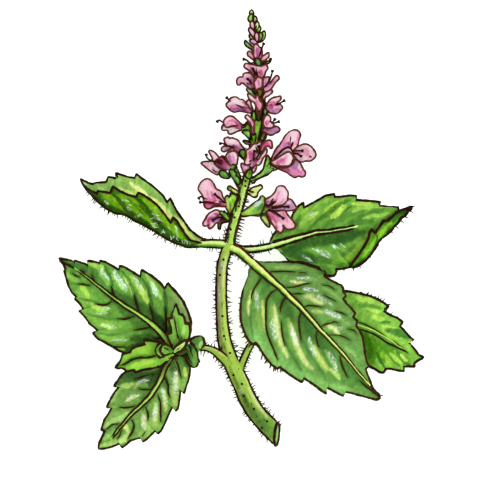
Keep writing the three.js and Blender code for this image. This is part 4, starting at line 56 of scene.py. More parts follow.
        "leaf_shoot_right_a": {"spine": [[-15.8, -31.57, 8.6], [-14.85, -31.57, 9.3], [-14.18, -32.79, 9.9], [-13.37, -34.68, 9.9], [-12.69, -37.25, 8.9]], "t0": 0.16, "rp": 0.5, "rb": 0.45, "rt": 0.15, "up": [0, 0, 1], "p": 0.95, "bow": 0.0, "puff": 0.08, "L": [[-13.91, -30.5], [-12.83, -31.44], [-12.02, -33.06], [-11.88, -34.68], [-11.56, -35.49], [-12.02, -36.57], [-12.69, -37.25]], "zL": [8.6, 8.1, 8.0, 8.1, 8.9], "R": [[-15.66, -32.52], [-15.39, -33.6], [-14.72, -35.22], [-13.91, -36.57], [-12.69, -37.25]], "zR": [9.2, 9.0, 8.7, 8.8, 8.9]},
        "leaf_shoot_right_b": {"spine": [[-11.48, -32.6, 10.8], [-11.66, -31.57, 11.4], [-11.48, -30.23, 11.8], [-10.94, -28.61, 11.3]], "t0": 0.1, "rp": 0.5, "rb": 0.42, "rt": 0.15, "up": [0, 0, 1], "p": 0.95, "bow": 0.0, "puff": 0.06, "L": [[-12.29, -31.85], [-13.1, -30.9], [-14.04, -29.77], [-12.56, -29.01], [-10.94, -28.61]], "zL": [11.2, 11.0, 10.9, 11.1, 11.3], "R": [[-10.8, -31.98], [-9.91, -30.9], [-10.31, -29.55], [-10.94, -28.61]], "zR": [11.1, 10.8, 10.9, 11.3]},
    },
    "STEMS": {
        "main_stem": [[9.59, -55.39, 2.42, 2.457], [7.29, -53.04, 2.68, 2.43], [4.32, -49.61, 3.1, 2.322], [1.65, -45.21, 3.75, 2.214], [-0.54, -40.76, 4.55, 2.16], [-1.89, -37.79, 5.1, 2.133], [-3.38, -34.41, 5.8, 1.971], [-4.59, -30.09, 6.4, 1.701], [-5.18, -24.96, 6.95, 1.431], [-5.45, -19.02, 7.5, 1.35], [-5.4, -13.62, 8.0, 1.323], [-5.13, -9.57, 8.4, 1.296], [-4.19, -6.06, 8.8, 1.296], [-3.24, -3.9, 9.0, 1.215]],
        "flower_spike_stem": [[-3.05, -3.9, 9.05, 1.134], [-2.48, -1.88, 9.05, 1.053], [-1.76, 0.96, 8.87, 0.999], [-0.68, 5.01, 8.48, 0.972], [0.41, 9.33, 7.94, 0.945], [1.49, 13.92, 7.27, 0.918], [2.7, 19.32, 6.42, 0.891], [3.92, 24.72, 5.66, 0.864], [4.59, 29.58, 4.93, 0.81], [4.72, 34.98, 4.15, 0.729], [4.59, 40.38, 3.35, 0.648], [4.05, 45.78, 2.45, 0.567], [3.81, 48.48, 2.0, 0.54], [3.65, 50.1, 1.75, 0.513]],
        "left_shoot_stem": [[-3.38, -36.3, 6.3, 1.404], [-5.27, -34.41, 7.2, 1.296], [-7.16, -32.93, 7.9, 0.972], [-9.04, -32.09, 8.5, 0.783], [-10.94, -31.87, 8.9, 0.756], [-13.37, -32.12, 9.0, 0.729], [-15.8, -32.47, 9.0, 0.702], [-17.55, -32.79, 9.0, 0.648]],
        "right_shoot_stem": [[-0.27, -37.38, 5.0, 1.188], [0.54, -35.22, 4.9, 1.08], [1.49, -33.06, 4.8, 1.026], [2.57, -31.04, 4.6, 0.972]],
    },
    "SHOOT_RIBBONS": {
        "leaf_bud_outer": {"pts": [[-18.9, -33.47, 10.6, 0.594], [-19.84, -32.93, 12.6, 1.512], [-21.2, -32.6, 13.9, 1.863], [-22.41, -32.6, 14.2, 1.62], [-23.14, -32.66, 13.9, 0.945]], "cup": -0.55, "th": 0.42},
        "leaf_bud_inner": {"pts": [[-18.63, -32.79, 12.2, 0.486], [-19.57, -32.52, 14.0, 1.188], [-20.66, -32.44, 15.0, 1.404], [-21.79, -32.57, 15.2, 0.918]], "cup": -0.6, "th": 0.42},
        "leaf_bud_pale": {"pts": [[-18.09, -32.93, 12.6, 0.405], [-17.14, -32.14, 13.4, 0.81], [-15.93, -31.17, 13.6, 0.783], [-14.72, -29.9, 13.0, 0.243]], "cup": -0.3, "th": 0.42},
    },
    "FLOWERS": {
        "a": {"calyx": [[2.03, 13.43, 7.31, 0.405], [3.65, 14.05, 7.56, 0.405], [5.27, 15.0, 7.78, 0.594], [6.75, 15.95, 8.01, 0.918], [7.96, 16.76, 8.14, 1.134]], "lips": [[[5.94, 15.81, 8.52, 0.54], [6.43, 17.7, 8.86, 0.702], [7.16, 19.59, 8.5, 0.27]], [[6.62, 15.59, 7.64, 0.594], [8.24, 16.13, 7.49, 0.648], [10.12, 16.4, 7.27, 0.27]]], "tube": [[7.16, 16.35, 7.97, 0.594], [9.04, 17.84, 8.25, 0.81], [10.94, 18.92, 8.36, 0.972], [12.69, 19.73, 8.19, 0.918]], "lobes": [[[8.78, 18.51, 8.29, 0.594], [10.12, 20.13, 8.85, 1.08], [11.88, 22.02, 9.39, 1.512], [13.5, 24.32, 9.59, 1.863], [14.58, 26.75, 8.78, 1.62]], [[12.02, 20.0, 7.86, 0.945], [14.04, 20.81, 7.4, 1.458], [16.07, 20.81, 7.2, 2.052], [17.96, 20.67, 7.31, 2.214], [20.12, 20.67, 7.61, 1.782]], [[10.12, 17.3, 7.89, 0.702], [12.02, 17.16, 7.1, 1.458], [14.45, 16.54, 6.66, 2.106], [17.15, 15.54, 6.54, 1.674]], [[7.91, 17.43, 8.78, 0.54], [9.45, 18.46, 9.7, 1.026], [11.34, 19.1, 10.54, 1.89], [12.56, 19.46, 10.81, 1.998], [13.91, 19.73, 10.69, 1.62]]], "stamens": [[[12.56, 19.86, 8.28], [13.1, 20.94, 8.68], [14.72, 21.26, 9.16], [16.74, 21.21, 9.26]], [[12.56, 19.86, 8.28], [13.37, 20.54, 8.62], [14.99, 20.4, 8.93], [16.34, 19.59, 9.1]], [[12.56, 19.78, 8.18], [15.79, 19.46, 8.21], [17.42, 19.32, 8.42], [18.9, 19.64, 8.59]]]},
        "b": {"calyx": [[-0.14, 3.88, 8.56, 0.648], [1.49, 4.61, 8.91, 1.026], [3.11, 5.28, 9.26, 1.458], [4.59, 6.01, 9.5, 1.863], [5.8, 6.41, 9.67, 1.836]], "lips": [[[4.19, 7.04, 10.22, 0.756], [5.13, 7.98, 10.25, 0.702], [5.8, 8.74, 9.99, 0.27]], [[4.86, 4.61, 9.51, 0.81], [6.21, 2.85, 9.54, 0.81], [7.34, 1.15, 9.66, 0.405]]], "tube": [[4.72, 5.82, 9.62, 0.864], [6.62, 5.87, 10.01, 0.81], [8.24, 5.69, 10.33, 0.702]], "lobes": [[[6.88, 6.55, 10.36, 0.594], [8.51, 7.71, 10.87, 1.242], [10.26, 9.2, 11.25, 1.89], [11.34, 11.27, 10.89, 1.512]], [[7.43, 5.63, 10.33, 0.378], [9.59, 5.82, 10.52, 0.594], [11.47, 6.23, 10.68, 0.999], [13.1, 6.63, 10.75, 1.485], [14.53, 6.36, 10.57, 1.08]], [[7.02, 5.15, 10.27, 0.486], [8.32, 3.26, 10.81, 0.999], [9.53, 1.23, 11.15, 1.269], [10.48, -0.93, 10.99, 0.972]], [[7.56, 5.28, 10.36, 0.486], [9.86, 4.07, 10.95, 1.134], [11.75, 2.72, 11.34, 1.566], [13.82, 0.69, 11.29, 1.296]]], "stamens": [[[6.88, 5.69, 10.33], [7.7, 5.15, 11.27], [9.31, 4.42, 11.82], [11.21, 3.04, 12.12]], [[6.88, 5.87, 10.31], [7.43, 6.5, 11.26], [8.1, 7.09, 11.72], [9.31, 7.79, 11.86]], [[7.7, 5.74, 10.42], [9.31, 5.87, 11.41], [10.94, 6.14, 11.59], [12.56, 6.14, 11.59]]]},
        "c": {"calyx": [[-1.62, 3.12, 8.72, 0.405], [-2.11, 4.74, 9.0, 0.702], [-2.51, 6.36, 9.27, 1.188], [-2.83, 7.85, 9.46, 1.377], [-2.97, 8.65, 9.5, 1.296]], "lips": [], "tube": [[-2.97, 7.58, 9.48, 0.81], [-4.19, 7.17, 9.51, 0.81], [-5.81, 7.17, 9.51, 0.864]], "lobes": [[[-4.19, 7.17, 9.71, 0.756], [-6.08, 7.98, 10.05, 1.674], [-7.97, 9.52, 10.33, 2.268], [-9.04, 11.22, 10.39, 2.268], [-9.45, 13.52, 9.81, 1.782]], [[-4.46, 6.63, 9.15, 0.486], [-6.62, 6.44, 8.87, 0.702], [-8.51, 6.36, 8.67, 1.026], [-10.13, 6.55, 8.66, 0.81]]], "stamens": [[[-5.54, 7.17, 9.51], [-7.97, 7.98, 9.75], [-9.99, 8.44, 9.91], [-10.99, 8.9, 10.08], [-11.48, 8.44, 10.11]], [[-5.54, 7.17, 9.51], [-7.43, 7.01, 9.62], [-9.59, 7.28, 9.7], [-11.12, 7.36, 9.6]], [[-4.19, 7.17, 10.11], [-5.0, 7.63, 10.78], [-5.94, 8.52, 11.21], [-7.16, 9.52, 11.43]]]},
        "d": {"calyx": [[-2.43, 2.04, 8.69, 0.405], [-3.16, 2.72, 8.84, 0.648], [-4.1, 3.53, 8.99, 0.837], [-5.0, 4.25, 9.03, 0.864]], "lips": [[[-3.78, 2.45, 8.46, 0.486], [-5.05, 1.96, 8.1, 0.486], [-5.99, 0.07, 7.83, 0.378]]], "tube": [[-3.92, 3.39, 9.0, 0.54], [-5.27, 3.66, 9.28, 0.594], [-6.62, 3.66, 9.38, 0.648]], "lobes": [[[-4.73, 3.71, 9.47, 0.594], [-6.62, 4.25, 9.73, 0.972], [-8.51, 3.53, 9.89, 1.161], [-10.18, 1.5, 9.63, 0.864]], [[-4.73, 3.26, 9.11, 0.432], [-6.48, 2.85, 8.94, 0.864], [-7.83, 2.04, 8.79, 1.026], [-8.64, 0.56, 8.7, 0.756]]], "stamens": [[[-4.86, 3.53, 9.29], [-5.54, 3.26, 9.91], [-6.35, 3.2, 10.41], [-7.7, 2.5, 10.56]]]},
        "e": {"calyx": [[0.27, 10.95, 7.91, 0.459], [-0.76, 12.71, 8.07, 0.864], [-1.57, 14.6, 8.32, 1.107], [-2.21, 16.22, 8.48, 1.161]], "lips": [[[-2.43, 14.46, 8.93, 0.594], [-4.19, 14.89, 9.09, 0.783], [-5.72, 15.22, 8.77, 0.432]], [[-2.16, 16.08, 8.99, 0.81], [-2.08, 17.62, 9.17, 0.432]]], "tube": [[-2.03, 15.95, 8.31, 0.756], [-3.65, 16.89, 8.43, 0.918], [-5.27, 17.62, 8.27, 1.134]], "lobes": [[[-6.35, 17.97, 8.34, 0.972], [-7.56, 19.59, 8.4, 0.891], [-8.45, 21.53, 8.03, 0.351]], [[-5.81, 16.49, 8.06, 1.35], [-7.97, 16.97, 7.82, 1.323], [-9.59, 17.54, 7.57, 0.945], [-10.94, 18.11, 7.33, 0.378]], [[-2.97, 16.89, 8.93, 0.864], [-2.75, 19.32, 9.12, 1.404], [-2.57, 21.4, 8.74, 1.161]], [[-3.38, 16.94, 8.42, 0.864], [-5.27, 17.7, 8.56, 1.404], [-7.07, 18.43, 8.3, 0.972]]], "stamens": [[[-5.0, 17.57, 8.37], [-6.89, 18.24, 9.11], [-8.37, 18.65, 9.18], [-9.32, 19.37, 9.02], [-9.5, 20.13, 8.85]]]},
        "f": {"calyx": [[1.57, 12.84, 8.36, 0.405], [1.7, 14.33, 9.04, 0.702], [2.11, 15.68, 9.63, 0.918], [2.57, 16.76, 9.94, 1.026]], "lips": [], "tube": [[2.43, 16.62, 9.85, 0.756], [3.11, 17.97, 10.34, 0.918], [3.78, 19.05, 10.65, 0.864]], "lobes": [[[3.11, 18.11, 10.63, 1.134], [2.65, 20.54, 10.82, 1.431], [3.38, 22.29, 10.77, 1.269], [5.0, 23.91, 10.33, 0.864]], [[4.32, 19.32, 10.92, 0.81], [5.4, 21.21, 11.06, 0.945], [6.48, 22.75, 10.93, 1.08], [7.83, 23.1, 10.4, 0.945]], [[3.92, 17.43, 10.48, 0.648], [5.13, 18.92, 10.56, 0.945], [6.21, 20.67, 10.41, 0.783], [6.97, 22.21, 10.08, 0.324]], [[3.65, 17.84, 10.75, 0.864], [2.16, 17.43, 10.78, 1.161], [0.95, 17.3, 10.49, 0.891], [0.03, 17.89, 10.24, 0.513]], [[3.38, 17.7, 10.56, 1.026], [2.57, 16.49, 10.46, 1.161], [1.7, 15.0, 10.28, 0.648]]], "stamens": [[[3.38, 18.51, 11.29], [3.24, 19.86, 11.58], [3.51, 21.08, 11.57]], [[3.78, 18.92, 10.96], [4.59, 20.0, 11.46], [5.08, 20.94, 11.58], [4.59, 22.34, 11.36]]]},
        "g": {"calyx": [[1.89, 17.97, 6.84, 0.405], [1.16, 19.05, 7.15, 0.648], [0.46, 20.05, 7.36, 0.918], [-0.19, 20.94, 7.48, 0.972]], "lips": [], "tube": [[0.41, 20.4, 7.43, 0.594], [-0.81, 21.48, 7.74, 0.756], [-2.03, 22.16, 7.78, 0.81]], "lobes": [[[-0.27, 21.56, 7.93, 0.648], [-1.62, 23.1, 8.3, 1.323], [-3.24, 24.05, 8.42, 1.215], [-4.73, 24.5, 7.98, 0.783]], [[-0.41, 21.21, 7.56, 0.54], [-2.29, 21.89, 7.3, 0.945], [-3.92, 21.56, 7.13, 0.81], [-5.45, 21.29, 6.95, 0.486]]], "stamens": [[[-1.76, 22.1, 7.78], [-3.65, 22.56, 7.89], [-5.13, 23.26, 8.18], [-5.72, 23.21, 8.29]]]},
        "h": {"calyx": [[3.38, 23.37, 5.87, 0.405], [2.75, 24.72, 6.26, 0.702], [1.92, 26.07, 6.54, 1.08], [1.11, 27.42, 6.72, 1.296], [0.84, 27.83, 6.79, 1.242]], "lips": [[[1.49, 27.15, 7.34, 0.702], [1.62, 28.96, 7.29, 0.351]]], "tube": [[1.22, 27.02, 6.76, 0.648], [-0.14, 27.61, 7.1, 0.756], [-1.49, 27.96, 7.17, 0.81]], "lobes": [[[0.41, 27.69, 7.3, 0.594], [-1.35, 28.91, 7.69, 1.404], [-3.11, 29.36, 7.85, 1.377], [-5.0, 28.91, 7.59, 0.999]], [[0.41, 27.23, 6.84, 0.486], [-1.49, 27.07, 6.65, 0.891], [-3.11, 26.88, 6.47, 1.107], [-4.46, 26.88, 6.27, 0.837]], [[-2.83, 27.96, 7.07, 0.675], [-4.32, 27.77, 6.99, 0.81], [-5.59, 27.64, 6.8, 0.432]]], "stamens": [[[-1.22, 27.96, 7.17], [-3.38, 28.37, 7.29], [-5.0, 28.96, 7.39], [-5.99, 29.53, 7.53], [-6.53, 29.15, 7.67]]]},
        "i": {"calyx": [[3.19, 23.64, 6.85, 0.324], [3.32, 24.72, 7.26, 0.54], [3.29, 25.67, 7.58, 0.594]], "lips": [], "tube": [[3.29, 25.4, 7.5, 0.351], [3.21, 26.34, 7.72, 0.378]], "lobes": [[[3.24, 25.8, 7.66, 0.432], [3.02, 27.69, 8.0, 0.729], [2.16, 29.45, 8.14, 0.837], [1.03, 30.74, 7.83, 0.486]]], "stamens": []},
        "j": {"calyx": [[4.54, 22.83, 6.02, 0.351], [5.27, 23.91, 6.33, 0.54], [5.89, 24.99, 6.63, 0.756], [6.16, 25.94, 6.75, 0.756]], "lips": [], "tube": [[6.16, 25.53, 6.69, 0.513], [6.48, 26.61, 7.09, 0.594], [7.02, 27.42, 7.32, 0.648]], "lobes": [[[6.48, 26.8, 7.38, 0.594], [6.83, 28.77, 7.8, 1.053], [7.24, 30.66, 7.43, 0.837]], [[6.62, 26.75, 7.58, 0.594], [7.7, 27.96, 8.07, 1.053], [8.69, 28.69, 7.91, 0.702]], [[6.29, 26.53, 7.0, 0.486], [7.96, 26.53, 6.9, 0.999], [9.31, 26.8, 6.78, 0.945], [10.48, 26.66, 6.59, 0.594]]], "stamens": [[[6.97, 27.42, 7.42], [7.56, 28.1, 8.26], [8.37, 28.91, 8.59], [8.99, 29.74, 8.32]], [[6.97, 27.34, 7.43], [7.83, 27.77, 8.29], [8.91, 28.69, 8.51], [10.02, 29.09, 8.27]]]},
        "k": {"calyx": [[4.0, 28.77, 5.1, 0.324], [3.65, 29.85, 5.51, 0.54], [3.29, 30.93, 5.91, 0.702], [3.02, 31.74, 6.14, 0.702]], "lips": [], "tube": [[2.97, 31.61, 6.15, 0.513], [1.76, 32.36, 6.48, 0.648], [0.41, 32.82, 6.64, 0.756]], "lobes": [[[2.43, 32.41, 6.68, 0.594], [0.41, 33.63, 6.97, 1.215], [-1.62, 34.44, 7.09, 1.269], [-3.38, 34.3, 6.81, 0.945]], [[2.57, 32.01, 6.31, 0.54], [0.41, 32.6, 6.06, 0.837], [-1.76, 32.93, 5.83, 0.999], [-3.92, 33.23, 5.6, 0.729]], [[2.43, 32.69, 7.05, 0.486], [1.76, 33.77, 7.36, 0.594], [1.22, 34.76, 7.27, 0.378]]], "stamens": [[[0.68, 32.82, 6.64], [-1.49, 33.9, 6.59], [-2.97, 34.63, 6.78], [-3.97, 35.57, 7.09]]]},
        "l": {"calyx": [[4.94, 29.04, 4.98, 0.324], [5.75, 30.26, 5.37, 0.486], [6.35, 31.47, 5.76, 0.702], [6.56, 32.55, 5.96, 0.702]], "lips": [], "tube": [[6.48, 32.15, 6.0, 0.54], [7.29, 32.95, 6.43, 0.702], [8.24, 33.44, 6.48, 0.756]], "lobes": [[[6.75, 32.9, 6.63, 0.81], [7.96, 34.36, 6.9, 1.053], [9.31, 35.2, 6.93, 0.729], [10.94, 35.57, 6.69, 0.486]], [[6.75, 32.55, 6.16, 0.81], [8.24, 32.55, 6.06, 1.215], [9.72, 32.6, 5.96, 1.215], [11.29, 32.82, 5.84, 0.81]]], "stamens": [[[7.96, 33.36, 6.59], [9.04, 33.77, 7.06], [10.12, 34.01, 7.33], [11.53, 34.79, 7.36]]]},
        "m": {"calyx": [[4.72, 29.31, 5.95, 0.324], [4.62, 30.8, 6.52, 0.54], [4.51, 32.01, 7.01, 0.594]], "lips": [], "tube": [[4.54, 31.74, 7.04, 0.351], [4.51, 32.95, 7.43, 0.432]], "lobes": [[[4.32, 33.23, 7.8, 0.432], [3.11, 34.84, 8.06, 0.675], [1.84, 36.52, 7.71, 0.351]], [[4.54, 32.55, 7.56, 0.432], [4.67, 34.17, 8.12, 0.783], [4.0, 36.11, 7.84, 0.405]], [[4.72, 32.41, 7.48, 0.378], [5.4, 33.63, 7.87, 0.513], [5.8, 34.9, 7.65, 0.27]]], "stamens": []},
        "n": {"calyx": [[4.46, 35.52, 4.0, 0.297], [4.0, 36.6, 4.5, 0.513], [3.65, 37.55, 4.91, 0.675], [3.43, 38.22, 5.15, 0.675]], "lips": [], "tube": [[3.51, 37.95, 5.18, 0.513], [2.97, 38.95, 5.48, 0.648], [2.16, 39.76, 5.61, 0.702]], "lobes": [[[3.38, 38.57, 5.72, 0.648], [2.57, 40.11, 6.08, 1.215], [1.43, 41.46, 5.95, 0.999]], [[2.97, 39.03, 5.48, 0.594], [1.22, 40.11, 5.48, 0.999], [-1.05, 40.3, 5.16, 0.945]]], "stamens": [[[2.7, 39.22, 5.66], [2.57, 39.7, 6.41], [2.16, 40.16, 6.77], [1.7, 40.65, 6.73]]]},
        "o": {"calyx": [[5.08, 34.44, 5.09, 0.324], [5.27, 35.66, 5.78, 0.54], [5.32, 36.87, 6.37, 0.81], [5.32, 37.87, 6.68, 0.783]], "lips": [], "tube": [[5.32, 37.27, 6.54, 0.513], [5.54, 38.35, 6.94, 0.648]], "lobes": [[[5.0, 37.41, 7.02, 0.648], [4.19, 39.03, 7.38, 1.161], [4.72, 41.19, 7.18, 0.729]], [[5.62, 37.55, 7.11, 0.594], [6.48, 39.16, 7.56, 0.999], [7.21, 41.14, 7.28, 0.567]], [[5.94, 37.55, 6.91, 0.54], [7.96, 39.03, 7.08, 0.783], [9.91, 41.14, 6.58, 0.621]], [[5.67, 37.27, 6.64, 0.486], [7.02, 37.27, 6.64, 0.837], [8.4, 37.46, 6.32, 0.486]]], "stamens": [[[5.54, 38.22, 6.95], [6.75, 38.9, 7.89], [7.64, 40.52, 8.14], [8.18, 42.0, 7.8], [8.34, 42.76, 7.63]]]},
        "p": {"calyx": [[4.19, 38.22, 4.55, 0.297], [4.19, 39.44, 5.04, 0.486], [4.32, 40.65, 5.43, 0.621]], "lips": [], "tube": [[4.32, 40.38, 5.55, 0.459], [4.4, 41.59, 5.94, 0.621]], "lobes": [[[4.19, 41.19, 6.08, 0.702], [2.83, 42.95, 6.42, 1.053], [1.16, 44.21, 6.1, 0.675]], [[4.46, 41.05, 5.89, 0.81], [4.46, 42.81, 5.93, 1.404], [4.27, 44.43, 5.68, 0.972]], [[5.0, 41.19, 6.08, 0.702], [6.02, 42.73, 6.44, 1.053], [7.02, 44.08, 6.11, 0.621]]], "stamens": [[[4.4, 41.46, 6.05], [4.05, 42.0, 6.8], [3.65, 42.67, 7.14], [3.11, 43.35, 7.08]]]},
        "q": {"calyx": [[4.27, 42.54, 3.85, 0.324], [4.43, 43.62, 4.45, 0.594], [4.51, 44.84, 5.04, 0.972], [4.4, 45.78, 5.35, 0.999]], "lips": [[[5.0, 44.84, 5.24, 0.432], [6.62, 45.05, 5.32, 0.54], [8.02, 46.1, 5.12, 0.189]]], "tube": [[4.46, 45.24, 5.3, 0.594], [4.4, 46.32, 5.7, 0.702]], "lobes": [[[4.32, 45.65, 5.87, 0.864], [4.46, 47.67, 6.18, 1.269], [4.13, 49.94, 5.76, 0.81]], [[4.13, 45.91, 5.64, 0.54], [2.97, 46.78, 5.86, 0.864], [1.84, 47.86, 5.56, 0.621]], [[4.72, 45.91, 5.64, 0.54], [6.08, 46.59, 5.88, 0.783], [7.4, 47.45, 5.6, 0.621]]], "stamens": [[[4.32, 45.91, 5.74], [3.51, 45.24, 6.2], [2.43, 44.97, 6.13], [1.35, 45.78, 5.85], [0.62, 46.0, 5.83], [0.32, 45.67, 5.76]], [[4.59, 46.32, 5.8], [5.13, 47.67, 6.38], [5.54, 49.02, 6.35], [5.97, 50.15, 6.14]]]},
    },
    "BRACTS": [[[4.24, 35.79, 4.47, 0.378], [2.7, 37.06, 5.16, 0.54], [1.43, 38.14, 5.26, 0.27]], [[3.75, 47.94, 2.55, 0.324], [2.21, 49.37, 3.12, 0.621], [1.0, 50.96, 3.07, 0.243]], [[3.51, 22.83, 6.32, 0.324], [1.76, 23.64, 6.95, 0.432], [0.49, 24.07, 7.11, 0.297]]],
    "OLD_CALYX": {
        "old_calyx_left": {"calyx": [[-0.27, 9.33, 8.44, 0.27], [-1.49, 10.19, 8.77, 0.486], [-3.29, 11.22, 8.89, 0.513]], "lips": []},
        "old_calyx_right": {"calyx": [[1.89, 9.87, 8.3, 0.27], [2.7, 10.06, 8.59, 0.459]], "lips": [[[2.43, 10.19, 8.57, 0.378], [3.78, 10.87, 8.82, 0.837], [5.62, 11.87, 8.84, 0.432]], [[2.43, 9.98, 8.49, 0.378], [3.29, 9.41, 8.74, 0.783], [3.86, 8.79, 8.79, 0.54]]]},
        "old_calyx_back_lower": {"calyx": [[-0.81, 5.55, 7.44, 0.324], [-1.35, 6.77, 5.84, 0.594], [-1.76, 8.12, 4.14, 0.972], [-2.03, 9.33, 2.94, 1.134]], "lips": [[[-1.89, 8.79, 2.09, 0.81], [-2.13, 10.54, 1.15, 0.378]]]},
        "old_calyx_back_upper": {"calyx": [[2.03, 17.16, 5.7, 0.324], [2.43, 18.38, 4.2, 0.594], [2.83, 19.73, 2.79, 0.918], [3.11, 20.94, 1.88, 1.08]], "lips": [[[2.97, 20.4, 1.13, 0.756], [3.21, 22.16, 0.28, 0.351]]]},
    },
    "BUDS_GREEN": [[[4.46, 51.05, 1.66, 0.378], [5.08, 52.18, 2.15, 0.648], [5.13, 53.12, 2.06, 0.405]], [[4.32, 50.77, 1.38, 0.324], [5.62, 51.91, 1.78, 0.648], [6.13, 53.56, 1.82, 0.432]], [[3.65, 51.18, 2.05, 0.324], [2.97, 51.91, 2.48, 0.567], [2.32, 52.45, 2.33, 0.405]], [[3.48, 52.4, 1.33, 0.324], [3.62, 53.48, 2.53, 0.54], [3.59, 54.15, 2.76, 0.324]], [[3.73, 53.88, 1.49, 0.378], [4.13, 55.09, 1.97, 0.621], [4.27, 56.12, 1.78, 0.351]], [[4.0, 53.2, 1.45, 0.351], [4.67, 54.29, 1.75, 0.54], [4.62, 55.01, 1.58, 0.324]], [[3.0, 55.91, 1.0, 0.351], [2.4, 57.12, 1.48, 0.621], [2.92, 58.25, 1.37, 0.27]], [[3.38, 55.77, 1.01, 0.297], [3.73, 56.9, 1.4, 0.459], [3.54, 57.71, 1.22, 0.216]], [[2.89, 57.52, 0.44, 0.324], [2.73, 58.66, 0.63, 0.567], [2.73, 59.28, 0.47, 0.324]]],
    "BUD_CORE": [[3.97, 49.29, 1.87, 0.513], [3.59, 51.18, 1.55, 0.513], [3.32, 53.88, 1.09, 0.486], [3.11, 56.04, 0.68, 0.432], [2.83, 57.93, 0.3, 0.324]],
    "BUDS_PINK": {
        "bud_pink_1": [[4.08, 50.23, 2.53, 0.324], [3.24, 50.83, 2.98, 0.675], [2.38, 51.18, 3.05, 0.405]],
        "bud_pink_2": [[4.19, 50.91, 2.77, 0.324], [4.13, 52.12, 3.16, 0.621], [4.02, 53.26, 2.95, 0.324]],
        "bud_pink_3": [[3.56, 52.12, 2.56, 0.324], [2.94, 53.2, 2.95, 0.675], [2.16, 54.37, 2.64, 0.432]],
        "bud_pink_4": [[3.19, 54.15, 2.06, 0.324], [2.92, 55.23, 2.46, 0.621], [2.81, 56.23, 2.17, 0.378]],
    },
}

